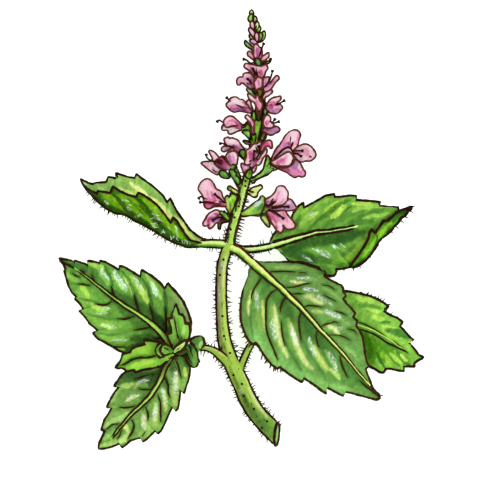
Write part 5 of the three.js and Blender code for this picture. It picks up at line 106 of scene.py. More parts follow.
# brush strokes on the leaves, carrying the drawing's painted shade and painted highlights: (F far part) (g painted
# highlight, as a broken dry-brush stroke) colour, width, opacity, points
PAINT = {
    "leaf_front": dict(base="5f9a47", strokes="""
5b8d46 26 .9 268,268 300,278 335,305 352,340 365,365
4f8a3c 20 .8 262,275 280,300 300,330 330,365 365,390
72b45a 14 .9 248,320 262,345 290,370 320,385 350,392
5d9346 10 .8 250,275 246,295 245,315 248,335
35702e 8 .85 258,270 264,278 270,284
3c7a33 8 .8 262,278 266,285 262,292
3f7c34 8 .8 272,293 278,300 277,312
2f692b 10 .9 284,300 288,310 292,320
2e6a2a 11 .9 302,316 308,328 312,338
2f6d2b 9 .9 318,334 325,346 334,358
35752f 8 .85 345,360 354,374 364,386
6a9e46 7 .6 250,280 253,290 256,300
3e8038 2.5 .8 251,298 250,310 251,325 254,340
7fb24e 6 .6 258,300 259,318 262,332
4a8c40 2 .6 267,300 267,330 272,345 278,360
3a7c36 3.5 .85 284,340 290,352 298,364 304,376
3a7c36 3.5 .85 300,336 308,350 318,364 326,380
3a7c36 3 .8 318,342 326,356 336,370 344,384
4a8e42 3 .6 330,350 340,366 352,384
8cbb52 5 .7 271,305 273,322 277,340 283,352
8cbf50 5 .7 288,318 292,334 297,350 304,362
86bd55 5 .7 309,340 314,352 320,362 326,372
7cb84e 4 .7 325,350 332,362 340,376
c9d97a 3 .85 252,290 250,298 248.5,306 249,315
c6dc78 3.2 .85 262,300 263,310 265,325 267,333
d3e08e 4.4 .8 274,305 276,318 278,330 281,343 285,352 288,358
cfe088 4.8 .8 291,323 294,335 298,347 303,358 308,365 313,369
c0da6e 4.8 .8 314,345 318,355 324,365 328,370
b5dc70 4 .85 329,368 335,373 340,379
7cc062 6 .7 262,347 275,362 288,371
7cc062 6 .7 300,372 312,380 322,383
7cc062 5 .7 330,386 342,388 352,390
8acb6a 4 .5 255,336 262,346
6fa050 3 .6 268,266 290,266 305,267 318,272
86b865 4 .6 275,268 300,268
3f7036 3 .5 285,274 300,276 315,276
4f8040 3 .6 300,280 315,282 325,285
7aa861 5 .6 305,279 316,280
4a7c3a 4 .6 290,289 310,289 325,291
416f33 5 .8 294,296 300,303
3d6c30 6 .8 304,309 314,317 320,324
3f7234 6 .75 318,330 330,342 345,356
7fb560 4 .6 320,310 335,318 350,325
7ab060 4 .6 318,284 332,292 342,302
5e9a4c 6 .6 340,320 352,335 358,350
8cc46a 4 .6 345,347 353,353 358,360
4f9448 5 .6 352,345 362,362 368,378
cdd28a 3 .85 290,281 298,283 306,283
c6d082 5 .75 303,295 311,297 318,302 324,304
a3c468 4 .8 313,311 322,312
d2e090 4.4 .8 327,325 333,328 339,335
g dfe8ec 3 .8 297,278 309,278
g dfe8ec 3.8 .85 304,289 317,290
g dfe8ec 3.5 .7 318,296 331,304
g dfe8ec 5 .85 325,311 340,317
g dfe8ec 2.5 .7 335,328 343,328
g dfe8ec 3.8 .85 256,291 257,300 258,309
g dfe8ec 5 .9 272,320 273,330 276,338
g dfe8ec 4.2 .9 290,326 294,336 298,345
g dfe8ec 4.2 .9 309,338 312,348 315,356
g dfe8ec 4.2 .85 329,352 333,360 336,370"""),
    "leaf_shoot_upper": dict(base="66a53c", strokes="""
7cb848 18 .7 80,290 90,310 105,330 120,340
2f6424 14 .8 104,291 122,300 138,308 152,315 165,325
244f1a 9 .85 156,316 165,328 170,338
3a7228 10 .75 118,306 135,320 150,331 163,340
2f5e20 10 .8 132,338 148,338 160,345
2f5e20 7 .8 118,351 128,350 140,344
3c7c30 6 .75 66,262 76,266 88,272
4a8c35 6 .5 80,265 95,270 105,280
4f9038 8 .6 92,272 100,282 110,290
a9d858 5 .85 88,263 95,266 103,268
8cc850 5 .75 66,274 72,279 78,281
8fcb5a 6 .75 98,268 104,276 108,284
9bd35c 6 .75 112,272 118,280 124,290
b9e070 4 .8 124,276 130,285 134,296
9ccf5a 6 .75 130,276 138,285 144,296
b4d860 6 .8 138,285 144,294 148,302
a3d468 5 .75 146,274 152,283 158,293 162,300
3a7a33 3 .75 104,266 110,276 113,286
336b28 3.5 .75 122,271 129,281 134,293 138,305
33682a 3.5 .75 142,278 148,288 151,300 154,315
33682a 4 .75 164,290 166,300 166,315
84a05a 10 .8 172,290 180,302 185,312 188,325
6a8844 8 .75 170,298 174,308 176,318
a0b478 3 .6 180,300 186,314
a8dc4c 6 .8 82,286 86,292 88,298
84bf4a 6 .75 78,292 84,300 90,304
b4e05a 6 .75 92,305 100,309 108,309
80bc44 8 .75 88,312 100,322 115,326 125,322
b9e262 5 .75 102,324 112,328
84c046 8 .75 100,334 115,340 128,340
aedb55 4 .8 115,347 124,350
5c9a36 5 .5 90,291 100,297 108,300
4c8a35 2.5 .75 70,284 78,284 85,284
4c8a35 2.5 .75 78,298 92,301 100,303
4c8a35 2.5 .75 82,312 95,316 110,319 120,319
4c8a35 2.5 .75 98,333 110,335 122,333
4a8030 3 .6 105,345 120,340
g e4eef2 3.8 .9 101,270 105,276 109,280
g e4eef2 5.4 .95 114,272 120,281 126,290
g e4eef2 3.2 .8 134,278 140,286 143,290
g e4eef2 4.6 .95 151,282 154,288 157,296
g d4e8d0 3 .7 98,308 110,308
g cfe6c4 3 .7 97,313 108,313
g dcebe0 3.4 .85 102,325 116,327
g dcebe0 2.6 .8 113,340 126,340"""),
    "leaf_shoot_lower": dict(base="6ca648", strokes="""
3a7030 12 .9 122,374 135,376 148,377 158,376
3f7a33 10 .85 118,382 128,378 140,374
335f22 9 .85 150,385 155,378 160,370
5d8f3a 6 .7 130,388 145,390 152,389
6a9e48 8 .7 128,393 140,394 150,394
3d7a30 8 .7 142,398 150,394
8cc85a 7 .8 118,388 112,396 108,404
a0cc64 6 .75 120,388 132,384
92c462 6 .6 115,396 112,402
c9e07a 3 .75 125,402 131,399 138,395
c4b860 1.8 .5 133,388 139,385
7ab050 10 .7 113,410 120,412 130,410
84ba5a 10 .7 106,425 112,416 122,414
a5d673 6 .8 104,428 114,421 124,417 132,411
8fca62 6 .75 102,440 110,433 120,427
4f9a42 5 .6 106,434 116,428 122,425
a9da6a 6 .75 100,447 110,444 120,441 130,436
3a6f28 8 .85 170,360 174,370 176,378
4b8a35 8 .8 178,356 184,364 187,374
3b7a2c 6 .75 165,376 165,390
3b7a2c 5 .6 158,388 150,400 142,410
b4dc5c 4 .8 184,368 186,376
90bc4e 5 .75 176,372 178,385 178,398
c0cc88 5 .6 176,373 175,388
84b44e 6 .7 183,385 180,393
a0c064 6 .7 172,392 176,404
bccc6c 5.4 .65 164,392 166,404 165,412
92c054 6 .8 155,402 157,412 156,422 152,432
c0cc84 5 .65 156,409 156,420
ccd086 5.6 .65 144,416 144,426
94c25e 8 .75 150,420 146,432 138,438
cfe07a 5 .85 125,425 128,431
b9dc80 5 .7 130,432 124,440 115,443
7cb850 6 .7 162,415 160,428
5a9c3c 3 .6 168,385 170,400 168,412
5a9c3c 2.5 .6 132,425 133,433 128,441
g dfe8e4 6 .72 175,370 175,382 176,393
g dfe8e4 5 .72 163,389 165,404
g dfe8e4 4.8 .72 156,405 154,420
g dfe6e0 5.4 .62 143,415 144,429
g e8f0f2 2.8 .95 137,384 143,381 149,379
g e8f0f2 3.4 .9 127,400 132,396 138,395"""),
    "leaf_upper_left": dict(base="489010", far="9cca6a", strokes="""
78ba1c 9 .9 118,195 130,200 140,208 150,218 157,226
74b618 6 .85 123,203 135,212 147,222
80bc20 8 .9 103,194 112,199 122,206 130,211
6cb016 7 .85 106,202 118,207
84bf20 8 .9 143,199 152,206 160,213 168,222 176,231 182,237
7cbc1a 6 .85 165,218 174,228 184,238
367208 8 .95 84,186 92,195 102,204 115,211 130,217 145,225 160,234 175,240 190,245
2d6606 5 .9 113,193 118,199 124,206 131,213 140,219 150,226
2d6606 5.5 .9 136,197 144,206 151,215 158,223 166,231
2f6a08 4 .85 95,193 105,205 115,210
3a7a0a 4 .75 90,191 97,195 104,203
3c7c10 3 .6 128,198 136,206 146,216
1f4a04 4 .8 170,238 182,242 192,246
b4dc5a 2 .5 150,222 156,228
4a2808 1.2 .8 138,205 142,207
4a2808 1.2 .8 140,209 144,208
4a2808 1.2 .8 138,214 143,215
3a2006 1.4 .8 158,224 161,221
g d8ecd8 2.4 .85 104,201 109,204
g d8ecd0 2 .8 122,200 129,201
g d8ecd0 2.4 .9 127,207 132,210
g d0e8b0 2.2 .7 153,208 157,208
g d8ecc8 2.8 .8 154,216 160,220
g d8ecc8 2.4 .8 152,226 158,225
g e0f0e0 2.4 .95 160,234 165,231
g e0f0e0 2.2 .9 170,240 174,236
g d8ecc8 2.8 .8 176,226 178,236
g d8ecc8 2.4 .8 185,240 186,245
g d8ecc8 2.4 .8 189,241 190,245
g d0e8b8 2.2 .7 135,217 141,215
F 8ac468 10 .8 90,186 105,188 120,180
F 76b552 6 .6 121,183 130,190
F e4f09c 5.4 .95 130,183 140,190 150,200 160,209 170,217
F d4e48a 4 .8 118,188 128,193 136,196
F 84c060 6 .75 138,182 148,190 158,199 168,206 175,214
F 90c466 5 .75 136,178 146,186 156,194 164,201
F 6cab4a 4 .65 170,203 176,213 183,223 190,232
F d4e68a 4 .8 178,220 186,231 194,240 202,243
F b8dc80 4 .6 98,187 103,190
F c8cfc8 3 .6 82,181 86,184
F e0ec98 4.6 .85 150,197 160,205 168,212 174,220
F dcea92 3.6 .8 175,216 182,225 189,234"""),
    "leaf_upper_right": dict(base="6fab40", far="579c1a", strokes="""
8cc44a 10 .8 292,220 300,210 310,205
7cb544 12 .8 300,228 315,216 335,205 350,198
4c8c34 6 .8 285,232 296,224 300,215
47862e 3 .8 305,234 316,222 326,212
47862e 3.4 .85 320,231 332,220 344,211 352,206
588f3a 5 .7 275,236 285,228
94c850 6 .75 300,227 308,216 318,207 330,199
5f9f3c 5 .65 312,214 322,206 330,203
b4d85a 4 .85 309,219 314,215 318,213
a8d44e 5 .85 325,212 330,208 336,204 344,200
478a2c 5 .85 318,221 326,215 334,208 342,203 350,200
b4dc5c 6 .85 332,218 338,213 343,208 345,206
5a9a3c 6 .8 322,228 335,222 350,214 365,210
b9e060 4 .85 352,204 362,204 372,204
9ccc55 6 .8 352,212 362,207 375,206 388,207
4f9038 6 .8 345,224 358,219 372,213 385,210
9ccc55 4 .8 362,219 372,216 380,216 390,213
4c8c3a 6 .75 350,223 362,222 374,222
316a26 12 .9 290,247 310,242 330,239 350,234 365,232
35712b 8 .85 335,243 345,240 358,234
33702a 12 .85 285,252 300,255 315,260
33702a 8 .75 282,248 292,250 300,248
3f7a2c 8 .8 300,257 318,259 335,262
3f7f22 8 .75 320,268 330,272
3f8222 7 .8 335,262 345,266 350,262
8cc43c 7 .85 346,262 353,254 360,246 364,241
a4d04c 4 .75 354,248 360,243 366,240
7cb840 6 .65 333,262 345,258
c2d890 2 .75 344,251 350,253
3f7f30 4 .7 340,256 350,250 356,244
47862f 5 .65 318,262 326,265
g dce8e4 3 .85 313,248 320,253 328,257
g dce8e4 2.4 .75 316,250 326,252 331,255
g dce8e4 2.4 .8 303,256 312,261
g dce8e4 2.2 .8 332,246 339,249
g dce8e4 1.8 .75 340,243 345,247
g dce8e4 3.2 .7 308,216 316,213
F 4a9014 3.6 .75 352,266 360,262 366,256
F 8cc832 4 .9 362,257 370,246 376,238 384,229 392,222
F 4f8f14 3 .8 372,234 374,240 368,250
F 2f7a0c 4 .8 392,222 400,214 410,207
F 1f5a06 2.2 .85 355,266.6 362,263 368,258
F 3a7a10 1.2 .6 371.5,238 369,246 363,255
F 8cd038 3.6 .9 363.5,258 369.5,250 374,242 380,235
F 2f7a0c 2.2 .75 384,223 391,217.5 399,212.5 407,207.5
F 3c8010 2.4 .7 356,264.5 364,257.5 370,250"""),
    "leaf_back_right": dict(base="84bf48", strokes="""
b4dc5c 5 .9 357,298 364,300 372,299
b9df60 4 .85 369,300 370,304
9ccf55 8 .75 372,301 380,305
78b544 8 .6 352,300 356,308
5f9f3c 5 .85 358,306 368,306 378,308 382,309
b4dc5c 4 .85 368,309 374,311 380,312
b4dc5c 5 .9 372,316 378,319 384,319
4f9038 2.5 .9 379,323 386,322 391,323
b8e05c 4 .85 382,326 390,328 396,328
a9d850 6 .9 382,328 390,335 398,340 406,348 412,354
8cc848 6 .75 400,340 408,346
4a8f36 7 .9 387,330 394,332 402,334 408,338
6fb03c 10 .5 408,352 416,357
4f9410 10 .95 362,333 368,342 372,352 372,362
4f9410 12 .95 372,340 380,350 384,360
54981c 10 .9 386,346 394,352 402,358
3f7f0c 7 .85 364,334 368,342 370,352 368,360
5a9a24 6 .7 402,357 410,361
39731c 2.8 .85 377,353 381,362 386,369
7ec028 6 .9 382,353 388,360 393,368
a4d44c 4 .9 386,356 390,364 392,368
4a8c28 3.2 .85 388,352 394,360 400,367
a9d850 4 .9 390,353 396,359 402,364
a9d850 3.2 .9 395,351 399,358 403,364
4f8f2c 3.5 .85 396,352 402,360 410,365
b4dc5c 3.6 .9 401,355 407,361
4a8c34 4 .85 404,364 410,364
78b848 5 .6 392,367 398,369
7cb838 3 .85 361,325 372,330 384,336"""),
    "leaf_shoot_small_left": dict(base="93cc42", strokes="""
a8dc48 8 .85 132,350 142,349 152,346
8cc83c 5 .75 146,342 155,345
5f9f2c 3.5 .75 128,359 138,356.5 155,355
b4e250 6 .85 133,366 142,362 153,361
6aaf30 4 .75 124,366 132,361 142,359
7ab838 5 .65 155,364 163,361"""),
    "leaf_shoot_small_top": dict(base="82c048", strokes="""
a4d45c 4 .75 173,312 173,328
b0dc6c 3 .85 182,338 185,326 187,320
5f9f34 3 .75 178,318 180,342
8cc850 4 .75 186,324 188,336
6aa83c 4 .65 170,335 174,345
5a9430 4 .7 176,345 184,342"""),
    "leaf_shoot_right_a": dict(base="5f9a3c", strokes="""
3f7a2c 5 .85 183,348 185,353 188,359
84b84c 5 .9 193.5,350 195,357 193,363
a4d05c 2.6 .85 189.5,358 192.5,363"""),
    "leaf_shoot_right_b": dict(base="68a446", strokes="""
5a8c40 5 .75 191,340 196,342 198,339
b4e070 3.4 .9 198,348 200,345 202,342"""),
    "leaf_bud_outer": dict(base="7ab83e", strokes="""
a8dc60 3 .8 158,352 160,356 166,357
4f8c2c 4 .7 170,352 166,354"""),
    "leaf_bud_inner": dict(base="6fae3c", strokes="""
a4d45c 2.5 .8 161,352 163,348
4c8628 4 .7 166,347 171,350"""),
    "leaf_bud_pale": dict(base="c6e278", strokes="""
8cc84a 2.5 .7 175,351 182,347
e0f0a0 2 .7 181,345 187,341"""),
}
# dark vein lines on the leaves: width, points
VEINS = {
    "leaf_upper_left": """
2.0 84,187.5 91,194 99,200.5""",
    "leaf_front": """
1.6 366.2,382.4 371,387.6
1.5 360,380.6 366,386.2 371.5,390.6 376,395
2.2 371.5,388 375,391.8 379,396.5
3 379.3,396.2 380.2,398.2
1.3 261,278 258,283 254,289 252,294 251.5,299
1.5 277,289 271,293 267,299 266,307 266,316 266,325 268,335 271,343 274,350 278,360
1.6 287,297 283,300 281,306 280.5,312
1.2 281,322 282,330 283,338 285,346
1.5 301,312 299,318 299,325 300,332 301,340
1.3 317,331 316,336 317,342 319,347
1.4 340,356 341,362 344,370 348,378
1.3 270,272 278,271.5 286,271.5 295,272
1.1 299,272.5 306,273
1.4 286,287 293,287 299,285.5 305,284 310,283.5
1.2 292,294 298,293.5 304,294
1.0 322,285 329,286 335,290
1.1 324,295 329,298 336,301.5
1.3 303,307 309,305.5 316,306 322,307
1.0 335,311 341,312.5 347,315.5
1.2 320,327 325,324.5 331,323 334,321.5 338,322.5
1.3 348,329 354,330.5 357,333.5
1.0 330,335 337,335 344,337 350,340""",
    "leaf_shoot_upper": """
1.8 115,299 113,293 111.5,286
1.8 139,312 137.5,306 135.5,300 134,295
1.8 153.5,322 153,316 151,310 149.5,304
1.8 165,337 166,328 166,318 165.5,308
1.5 94,281 92.5,277 91,275
1.3 85,275 83.5,272 82.5,270
1.6 79,284 84,284.5 90,285.5
1.6 112,301 108,304 104,305 95,304
1.6 134,316 128,318 124,319 118,318.5
1.4 152,327 146,328 140,329 134,330
1.6 166,338 158,338 155,338
1.5 72,273 76,276 80,277
1.3 112,346 118,347 125,347
2.2 60,260 64,262.5 68,265 75,269""",
    "leaf_shoot_lower": """
1.5 174,357 178,365 180,373 181.5,378
1.6 165,377 168,385 168,392 170,397
1.4 158,395 160,402 160.5,412 160.5,422
1.5 145.5,407 148,413 148,417 147.5,420.5
1.6 132,420 134,425 132.5,431 127.5,439
1.1 145,432 142,437
1.2 121,431 119.5,436 117,440
1.2 135,379 141,377 148,374.5
1.5 151,373.5 153,374
1.5 152,389 146,389.5 139,389
1.6 135,406 128,407.5 119,407.5
1.2 118,424 112,425 107,429 103,431""",
    "leaf_upper_right": """
1.5 350.5,267.2 357.5,264.4 364.5,259.8 370,253.6 374.4,246.6 378,240.5
0.9 376.8,235.4 376.8,239 375.4,242.6
0.9 388.4,227.6 388,230.4 386.4,233
1.3 385,221.5 391.5,216.8 399,211.8 406,207.5
1.4 404,214 409,210 413.5,205.5""",
    "leaf_back_right": """
1.1 358,322 366,325 375,330 383,335 386,337
1.5 360,329 368,332 376,335 386,342 394,346 405,351 408,353
0.9 393,341 398,345 403,348""",
    "leaf_shoot_small_left": """
1.5 158,355 150,357 140,357.5 132,359.5 126,363 120,366""",
    "leaf_shoot_small_top": """
1.3 174,316 177,330 179,341
1.1 181,340 182,336""",
    "leaf_shoot_right_a": """
1.8 185,349 187,354 189.5,359 192.3,363
1.9 187.2,344 190,348 190.8,353 192.8,356.5""",
    "leaf_bud_outer": """
1.1 170,353.5 165,353.5 160,350.5""",
    "leaf_bud_inner": """
1.2 164,347.5 169,349.5""",
    "leaf_bud_pale": """
0.9 177,349.5 180,347.5""",
}
# petals, calyx faces and bracts: @ rows they follow | colour | outline, then brush strokes, which carry the drawing's
# painted shade and painted highlights
SHEETS = {
    "flower_a": """
@ l0 | f3dfe7 | 271.5,159 274,153 276.5,148.5 280,144.5 283,139.5 286,135 290,131.5 294,130 297,130.3 299.5,132.5 300.3,136 299,139.5 298.3,143.5 296.5,147 294,149.5 292.5,152 290,154 286,156 281,158.5 276,161 272.5,162
e27fae 2.6 .9 272.8,159.5 276,152.5 280.5,145.5 285.5,138.5
e9a0c2 2.2 .7 283,145 286.5,139.5 290,134.5
e07fac 2.4 .85 298.3,133.5 297.8,139 295.8,145
e9a6c4 2.6 .75 294.5,141 293.5,146
b07cb0 3.4 .95 279.5,153 283,148.5 286,144.5 287.8,142
d98cb8 2.2 .9 273.8,160 278,154 282,148.4 285,143
b98fb4 2.2 .85 276,157.5 280,153.8
943c7c 4 .95 288.6,142.5 290,145.5 290.2,147.6
5c2048 1.8 .9 292.3,142.5 292,145.5
9a4a86 2.4 .9 286.5,146.5 288.5,147.5
b79abd 3 .95 281,156 285.5,152.8 290,151.4
6a3a66 1.6 .8 277,159 280,157
@ l1 | f2dfe8 | 292.5,150 296,147.8 300,145.5 304.5,144 309,145 313,148.5 315.5,152.5 316,155.5 314,158.5 310.5,160.8 306,161 302,162 298.5,160.5 295.5,158 293.5,155
e4a6c4 4.6 .85 302.5,150 306,152.5 309,155
de9abc 2.4 .75 305,148.5 309.5,151.5
b84888 2.4 .95 293.5,152.6 297,153 301,153.2
f7ecf1 2.4 .85 303,146 308,147 312.5,152
a884ac 2.6 .9 294.5,156.5 296.5,158.8
c99ac2 1.8 .7 299,160 303,159.8
e9b4d0 2.4 .7 311,157 308,158.5
f7ecf1 2 .8 303,158 307,159
@ l2 | dca0c4 | 278.5,167.5 283,167.5 289,166.5 293,163.5 295,159.5 298,161 300.5,163.5 302,166.5 303.5,169.5 305.5,172 305,175.5 302,177 298.5,176 295,177.5 291,175.5 286,172 281,170 278,168.5
b094c2 5 .95 294,162.5 296.5,166 298.5,169.5
a486b8 3 .8 292,165.5 295,169
9a5088 3.4 .9 280,168.3 285,169 289,169.5
72346a 1.4 .8 279.5,168.4 284,168.8
f0a0c6 5 .95 291,172 296,174 300,174.5
c25a98 2.2 .85 286.5,170.5 290.5,172.3
fbeef3 3.8 .98 299.3,165 300.8,169.4
f3c2da 2 .85 302.5,171.5 303.8,174
d2609c 1.6 .75 292,175 296,176.3
e36f9f 1.6 .7 298,171 300.5,173
@ l3 | f6e8ee | 271.5,161.5 275.5,159.5 280,156.5 284,154 288,152 290.5,153 293,156.5 293.5,160 292,163.5 289,165.7 285,166 280,165.8 276,165.5 272.5,164
d9578f 3.6 .95 276.5,162.6 280.5,161 284.5,159.6
c23a70 2.4 .9 276,164.6 280,164
ea92bc 3 .85 285.5,161.4 282,163.3
f0b4d0 2.4 .8 285,157.5 288,156.2
e27fac 1.8 .8 283.5,158.6 287,158.6
e89ac0 1.6 .7 272.5,162.5 275,163.5
fbf3f6 3 .9 289,155.3 291.3,158.5 290.5,162.5""",
    "calyx_a": """
@ c+0.1,p0 | 84c650 | 250.5,178.5 254,177.5 257,175 260,173.3 262.5,170.5 263.8,167 264.8,163 266,159 266.8,155.5 268.5,156.3 269.8,159 270,162 270.3,164 272,165.8 274.5,166.8 276.5,167.5 277.5,168.5 275.5,170 272.5,170.3 270.5,172 267.5,174.8 264,176.3 260,178 256.5,180 253.5,183 251.5,182 249.5,180.5
9ad860 2.4 .9 256,177.5 260,175 264,171.5 266,167 267.3,162
90d058 1.8 .85 267.5,161 268.5,164.5
4a7030 1.6 .8 268.4,157 268.5,160
6a8a4c 2.6 .9 269,168.5 272,168 276,168.6
5c7c3a 1.8 .85 264.5,174.5 267,173 269,171
7f9a66 1.6 .8 252,178.8 256,178.3
6ab83c 1.6 .7 252,181 256,179.5""",
    "flower_b": """
@ l0 | f2dbe5 | 265,203.8 264.6,200 267,198.5 270,197 273,194.5 275.5,191 276.5,188 278.5,186.3 281,185.8 284,186.5 286,189 287.8,192 288,195 287.5,198 287,201 285,203.5 283,205 279,205.8 275,206.5 272,207 270,207.5 268,205.5
e58fba 2.2 .85 279.5,191.5 278,195 276,199
e590bb 1.6 .8 284,198 282.5,201 280.5,203
d4508a 2.6 .9 276.5,200 274,201.3 272,202.5
dd6a9c 2.4 .8 267,202.7 269.5,201.3
ee9cc4 1.8 .8 273.5,205.5 277,204.3 281,203
f8ecf1 3.4 .8 282,189 284.5,193.5 285,197
f6e4eb 2 .8 270,199.3 274,196
@ l1 | bfaac6 | 270,208.5 275,207.6 280,206.4 283.5,204.6 286,201.5 288,199.3 290,199.2 292,200.5 294,203.5 296.5,207.8 295,209.5 291,210.5 286,211 280,211 276,210.8 271,210.3
b098bc 4 .9 289,207.5 293,207
f4dfe8 3 .9 287,203.3 289.5,201.8
9a78aa 1.8 .85 271.5,209.2 276,208.7 281,208.2
7f4a84 1.8 .85 284,208.3 285.5,208
d0b4d4 1.4 .7 280,209.8 287,209.8
@ l2,l3 | f0cfdb | 265.5,211.5 268,215.5 270,219.3 272,223.5 275,227.8 277.5,231 280.5,233 282.6,231 283.2,228 283.1,224.6 284.8,227.2 288,229.3 292,229 294.5,227.5 295.2,225 293.5,222 291,219 288.5,216.3 286.5,213.3 284.5,210.8 281,210.8 277,211.6 272,211.3 268.5,210.6
c03a70 3.2 .95 266.8,212.6 270,216.5 274,222.5 277.6,228.5
d95c90 2.2 .85 270,213.5 274,218 277,223
ea94ba 3 .8 273,213.5 277.5,218.5 280,223
f8ebf0 2.4 .9 278.5,222.5 281,226.5 281.3,230.5
f7e4ec 2 .85 272.5,220.5 274.8,225.5
6a1f3c 2.4 .9 269,210.9 274,211.4 279,211.3
a03a68 2.4 .85 271.5,212.8 276,214.5 280,217
e281ac 3 .9 282.5,212.8 285.5,217 287.5,221.5
f3dbe2 3 .85 286.5,225.5 291.5,226.5
efc6d4 3 .7 289.5,221.5 292.5,225
c9487c 1.6 .8 281.5,216.5 284,219.5""",
    "calyx_b": """
@ c+0.1,p0 | 6cbc38 | 239.8,213.2 243,211.6 246,209.6 250,206.8 253,204.3 256,202.3 259,199.8 260.5,197 262.5,196 264.3,197.2 265,200 264.7,203.5 264.5,206.5 264,209.5 263,212 261.5,214.8 258.5,216 254,215.4 250,215.3 246,215.6 242.5,216
dcefe2 3.6 .95 254.8,206.2 257.8,203.6 261,200.6
c8e6a0 2 .85 262,201.5 262.8,198.6
b4e858 3 .9 245,212.6 250,210.2 254,207.6
a0dc48 3 .8 247,213.6 253,213
2f7428 3 .9 257.5,210.6 260,208 262.5,204.6
58c038 2.2 .9 256.5,212.6 260,211.6 262.5,208.5
8a9f6a 1.4 .7 255,211.5 259,210.3
4a9a30 1.6 .8 250,214.6 256,214.8 260,214.2
@ c+0.5 | 6c9c3a | 264.6,206 266,207 268.5,206.8 270,206 270.5,207.5 268.5,210 266,212 263.5,214 261,215 262,212 263.5,209
3f6a20 1.6 .8 264,210 268,207.8
@ p1 | 7cc43a | 261,216.3 263,215 266,215.3 267.5,218 269,221.5 269.8,225 269.3,227 267.5,226.3 265,223.8 262.5,220.5 261,218.3
e2f284 2.6 .95 263.5,217.8 266,220.3 268.2,222.8
5eb02c 2 .8 262.5,216.3 265.5,216.3""",
    "flower_c": """
@ l0 | f2d6df | 204,201.5 203.5,198.5 202.5,195.5 200.5,192.5 198.5,189.8 198.5,187.5 200,184 202,181.3 205,179.3 207.5,178.8 210,179.8 212.3,181.8 214,184.5 215.3,187.3 216.5,189.3 219,190.3 221,191.8 222,194.5 223,197.5 225,200.5 226,203 222,204 216,203.5 210,202.8 206,202.2
e79abf 2.2 .8 210.8,182 213,187 215,190.5
e28cb8 3.2 .8 216.5,191.5 219,196 221.5,200.5
e58fb8 2.6 .8 206.5,190 208,195 209,199
dd7aac 2 .8 211,191 213,195 216,199
d4508a 2.2 .85 211.5,195 213.5,198.3 216,200.5
e07aac 3.6 .85 205.8,199.3 210,200 214,200.5
f8ecf1 1.5 .8 214.5,190.5 217,194.3 219,198
f7e2ea 4.5 .8 205,183 205.5,189
cf4480 2.4 .8 213,201 217,200.6
a8609c 3 .7 219,203 223,202.5
@ l1 | b86a98 | 205,201.5 204.3,203 204.3,205.5 205.5,207.5 207.5,208.8 210,208.5 212.5,207.2 214,206.5 218,206.3 222,206.3 225.5,206 226.5,203.5 224,201.8 218,201.6 211,201.8
e886b4 6 .98 206,204.6 211,205.4
cf4480 2 .8 208.5,203 211.5,203.6
e88ab4 1.6 .8 206.5,207 209.5,207
6e3058 3.2 .85 212.5,203.9 217,203.6 221,203.6
7a3c6c 3.4 .9 217,204.6 224,204.6""",
    "calyx_c": """
@ c+0.15 | 86c43e | 225.3,198 226.5,196 228,195.8 229.5,197 230.5,195 232,194.2 234,194.8 236.5,195.8 237.5,197 236,200 234.5,203.5 234,207 232.5,210.5 231.5,213.5 231,215.5 229.5,213.5 227.5,210.5 225.8,207 225.3,203
e2f478 2.6 .95 227,198.3 227.5,203 228,207 229.5,211
c8e85a 3 .85 229.5,200.5 230.5,198
a8dc58 2 .8 232.3,196.3 233.5,198.5
62b02c 3 .85 232.5,199.5 233.8,202.5
6a7a28 2.2 .85 230.3,203.5 230.7,208 231,211
9ccc40 1.6 .7 232.3,206.5 231.8,209.5""",
    "flower_d": """
@ l0,l1 | e9c6da | 219.5,211.5 217.5,210.3 215,210.3 212.5,211.5 209.5,213.3 207.3,215.5 206,218 204.5,220.5 203,223 203,225 204.5,226 206.5,225.8 207.8,224.3 208,226 208.5,227.8 210,228.5 212,227.5 214,225.5 215.5,223.5 217.5,222.5 220,221.5 223,220.5 226,219.8 224,217.5 221,215 219.8,213
8f4a84 2.6 .9 213.8,214 217,214.3 220.5,215.6
e07aaa 2.4 .85 212,215.8 209,218.5 207.3,222
c03c78 2.8 .95 207.6,220 208.6,223 209.2,226
d0548e 2.4 .9 209.5,217 207.8,220
a0629a 2.4 .85 213,217 210.8,219.5 211,222
9a70b0 2.8 .9 220.5,219.3 216,220.5 213.5,222.5
5a2850 1.8 .85 212,219 216,217.4 221,217
f8ebf1 1.8 .9 212.5,223.8 210.8,226.3
f8ebf1 1.6 .9 216.5,211.3 212.5,213 208,217""",
    "calyx_d": """
@ c+0.1 | 50a81e | 220.3,211.3 223,211.8 225.5,213 227.5,215 229.3,217.8 229.5,219.5 227.8,220.3 225.8,219 223.5,216.8 221.8,215 220.3,213.8
c4cc6c 2 .9 220.8,212.4 223.3,213.2
6ec832 1.8 .8 225.5,216 228,218.3
@ p0+0.1 | 5f9a38 | 228,220 225,220.4 222,221 219.5,222 218.3,224 218.2,227 219,229.3 220,229 220.6,226.5 221.2,224 223.5,222.5 227,221.8
7cb84a 1.4 .85 222,221.7 220,223 219.4,225.5""",
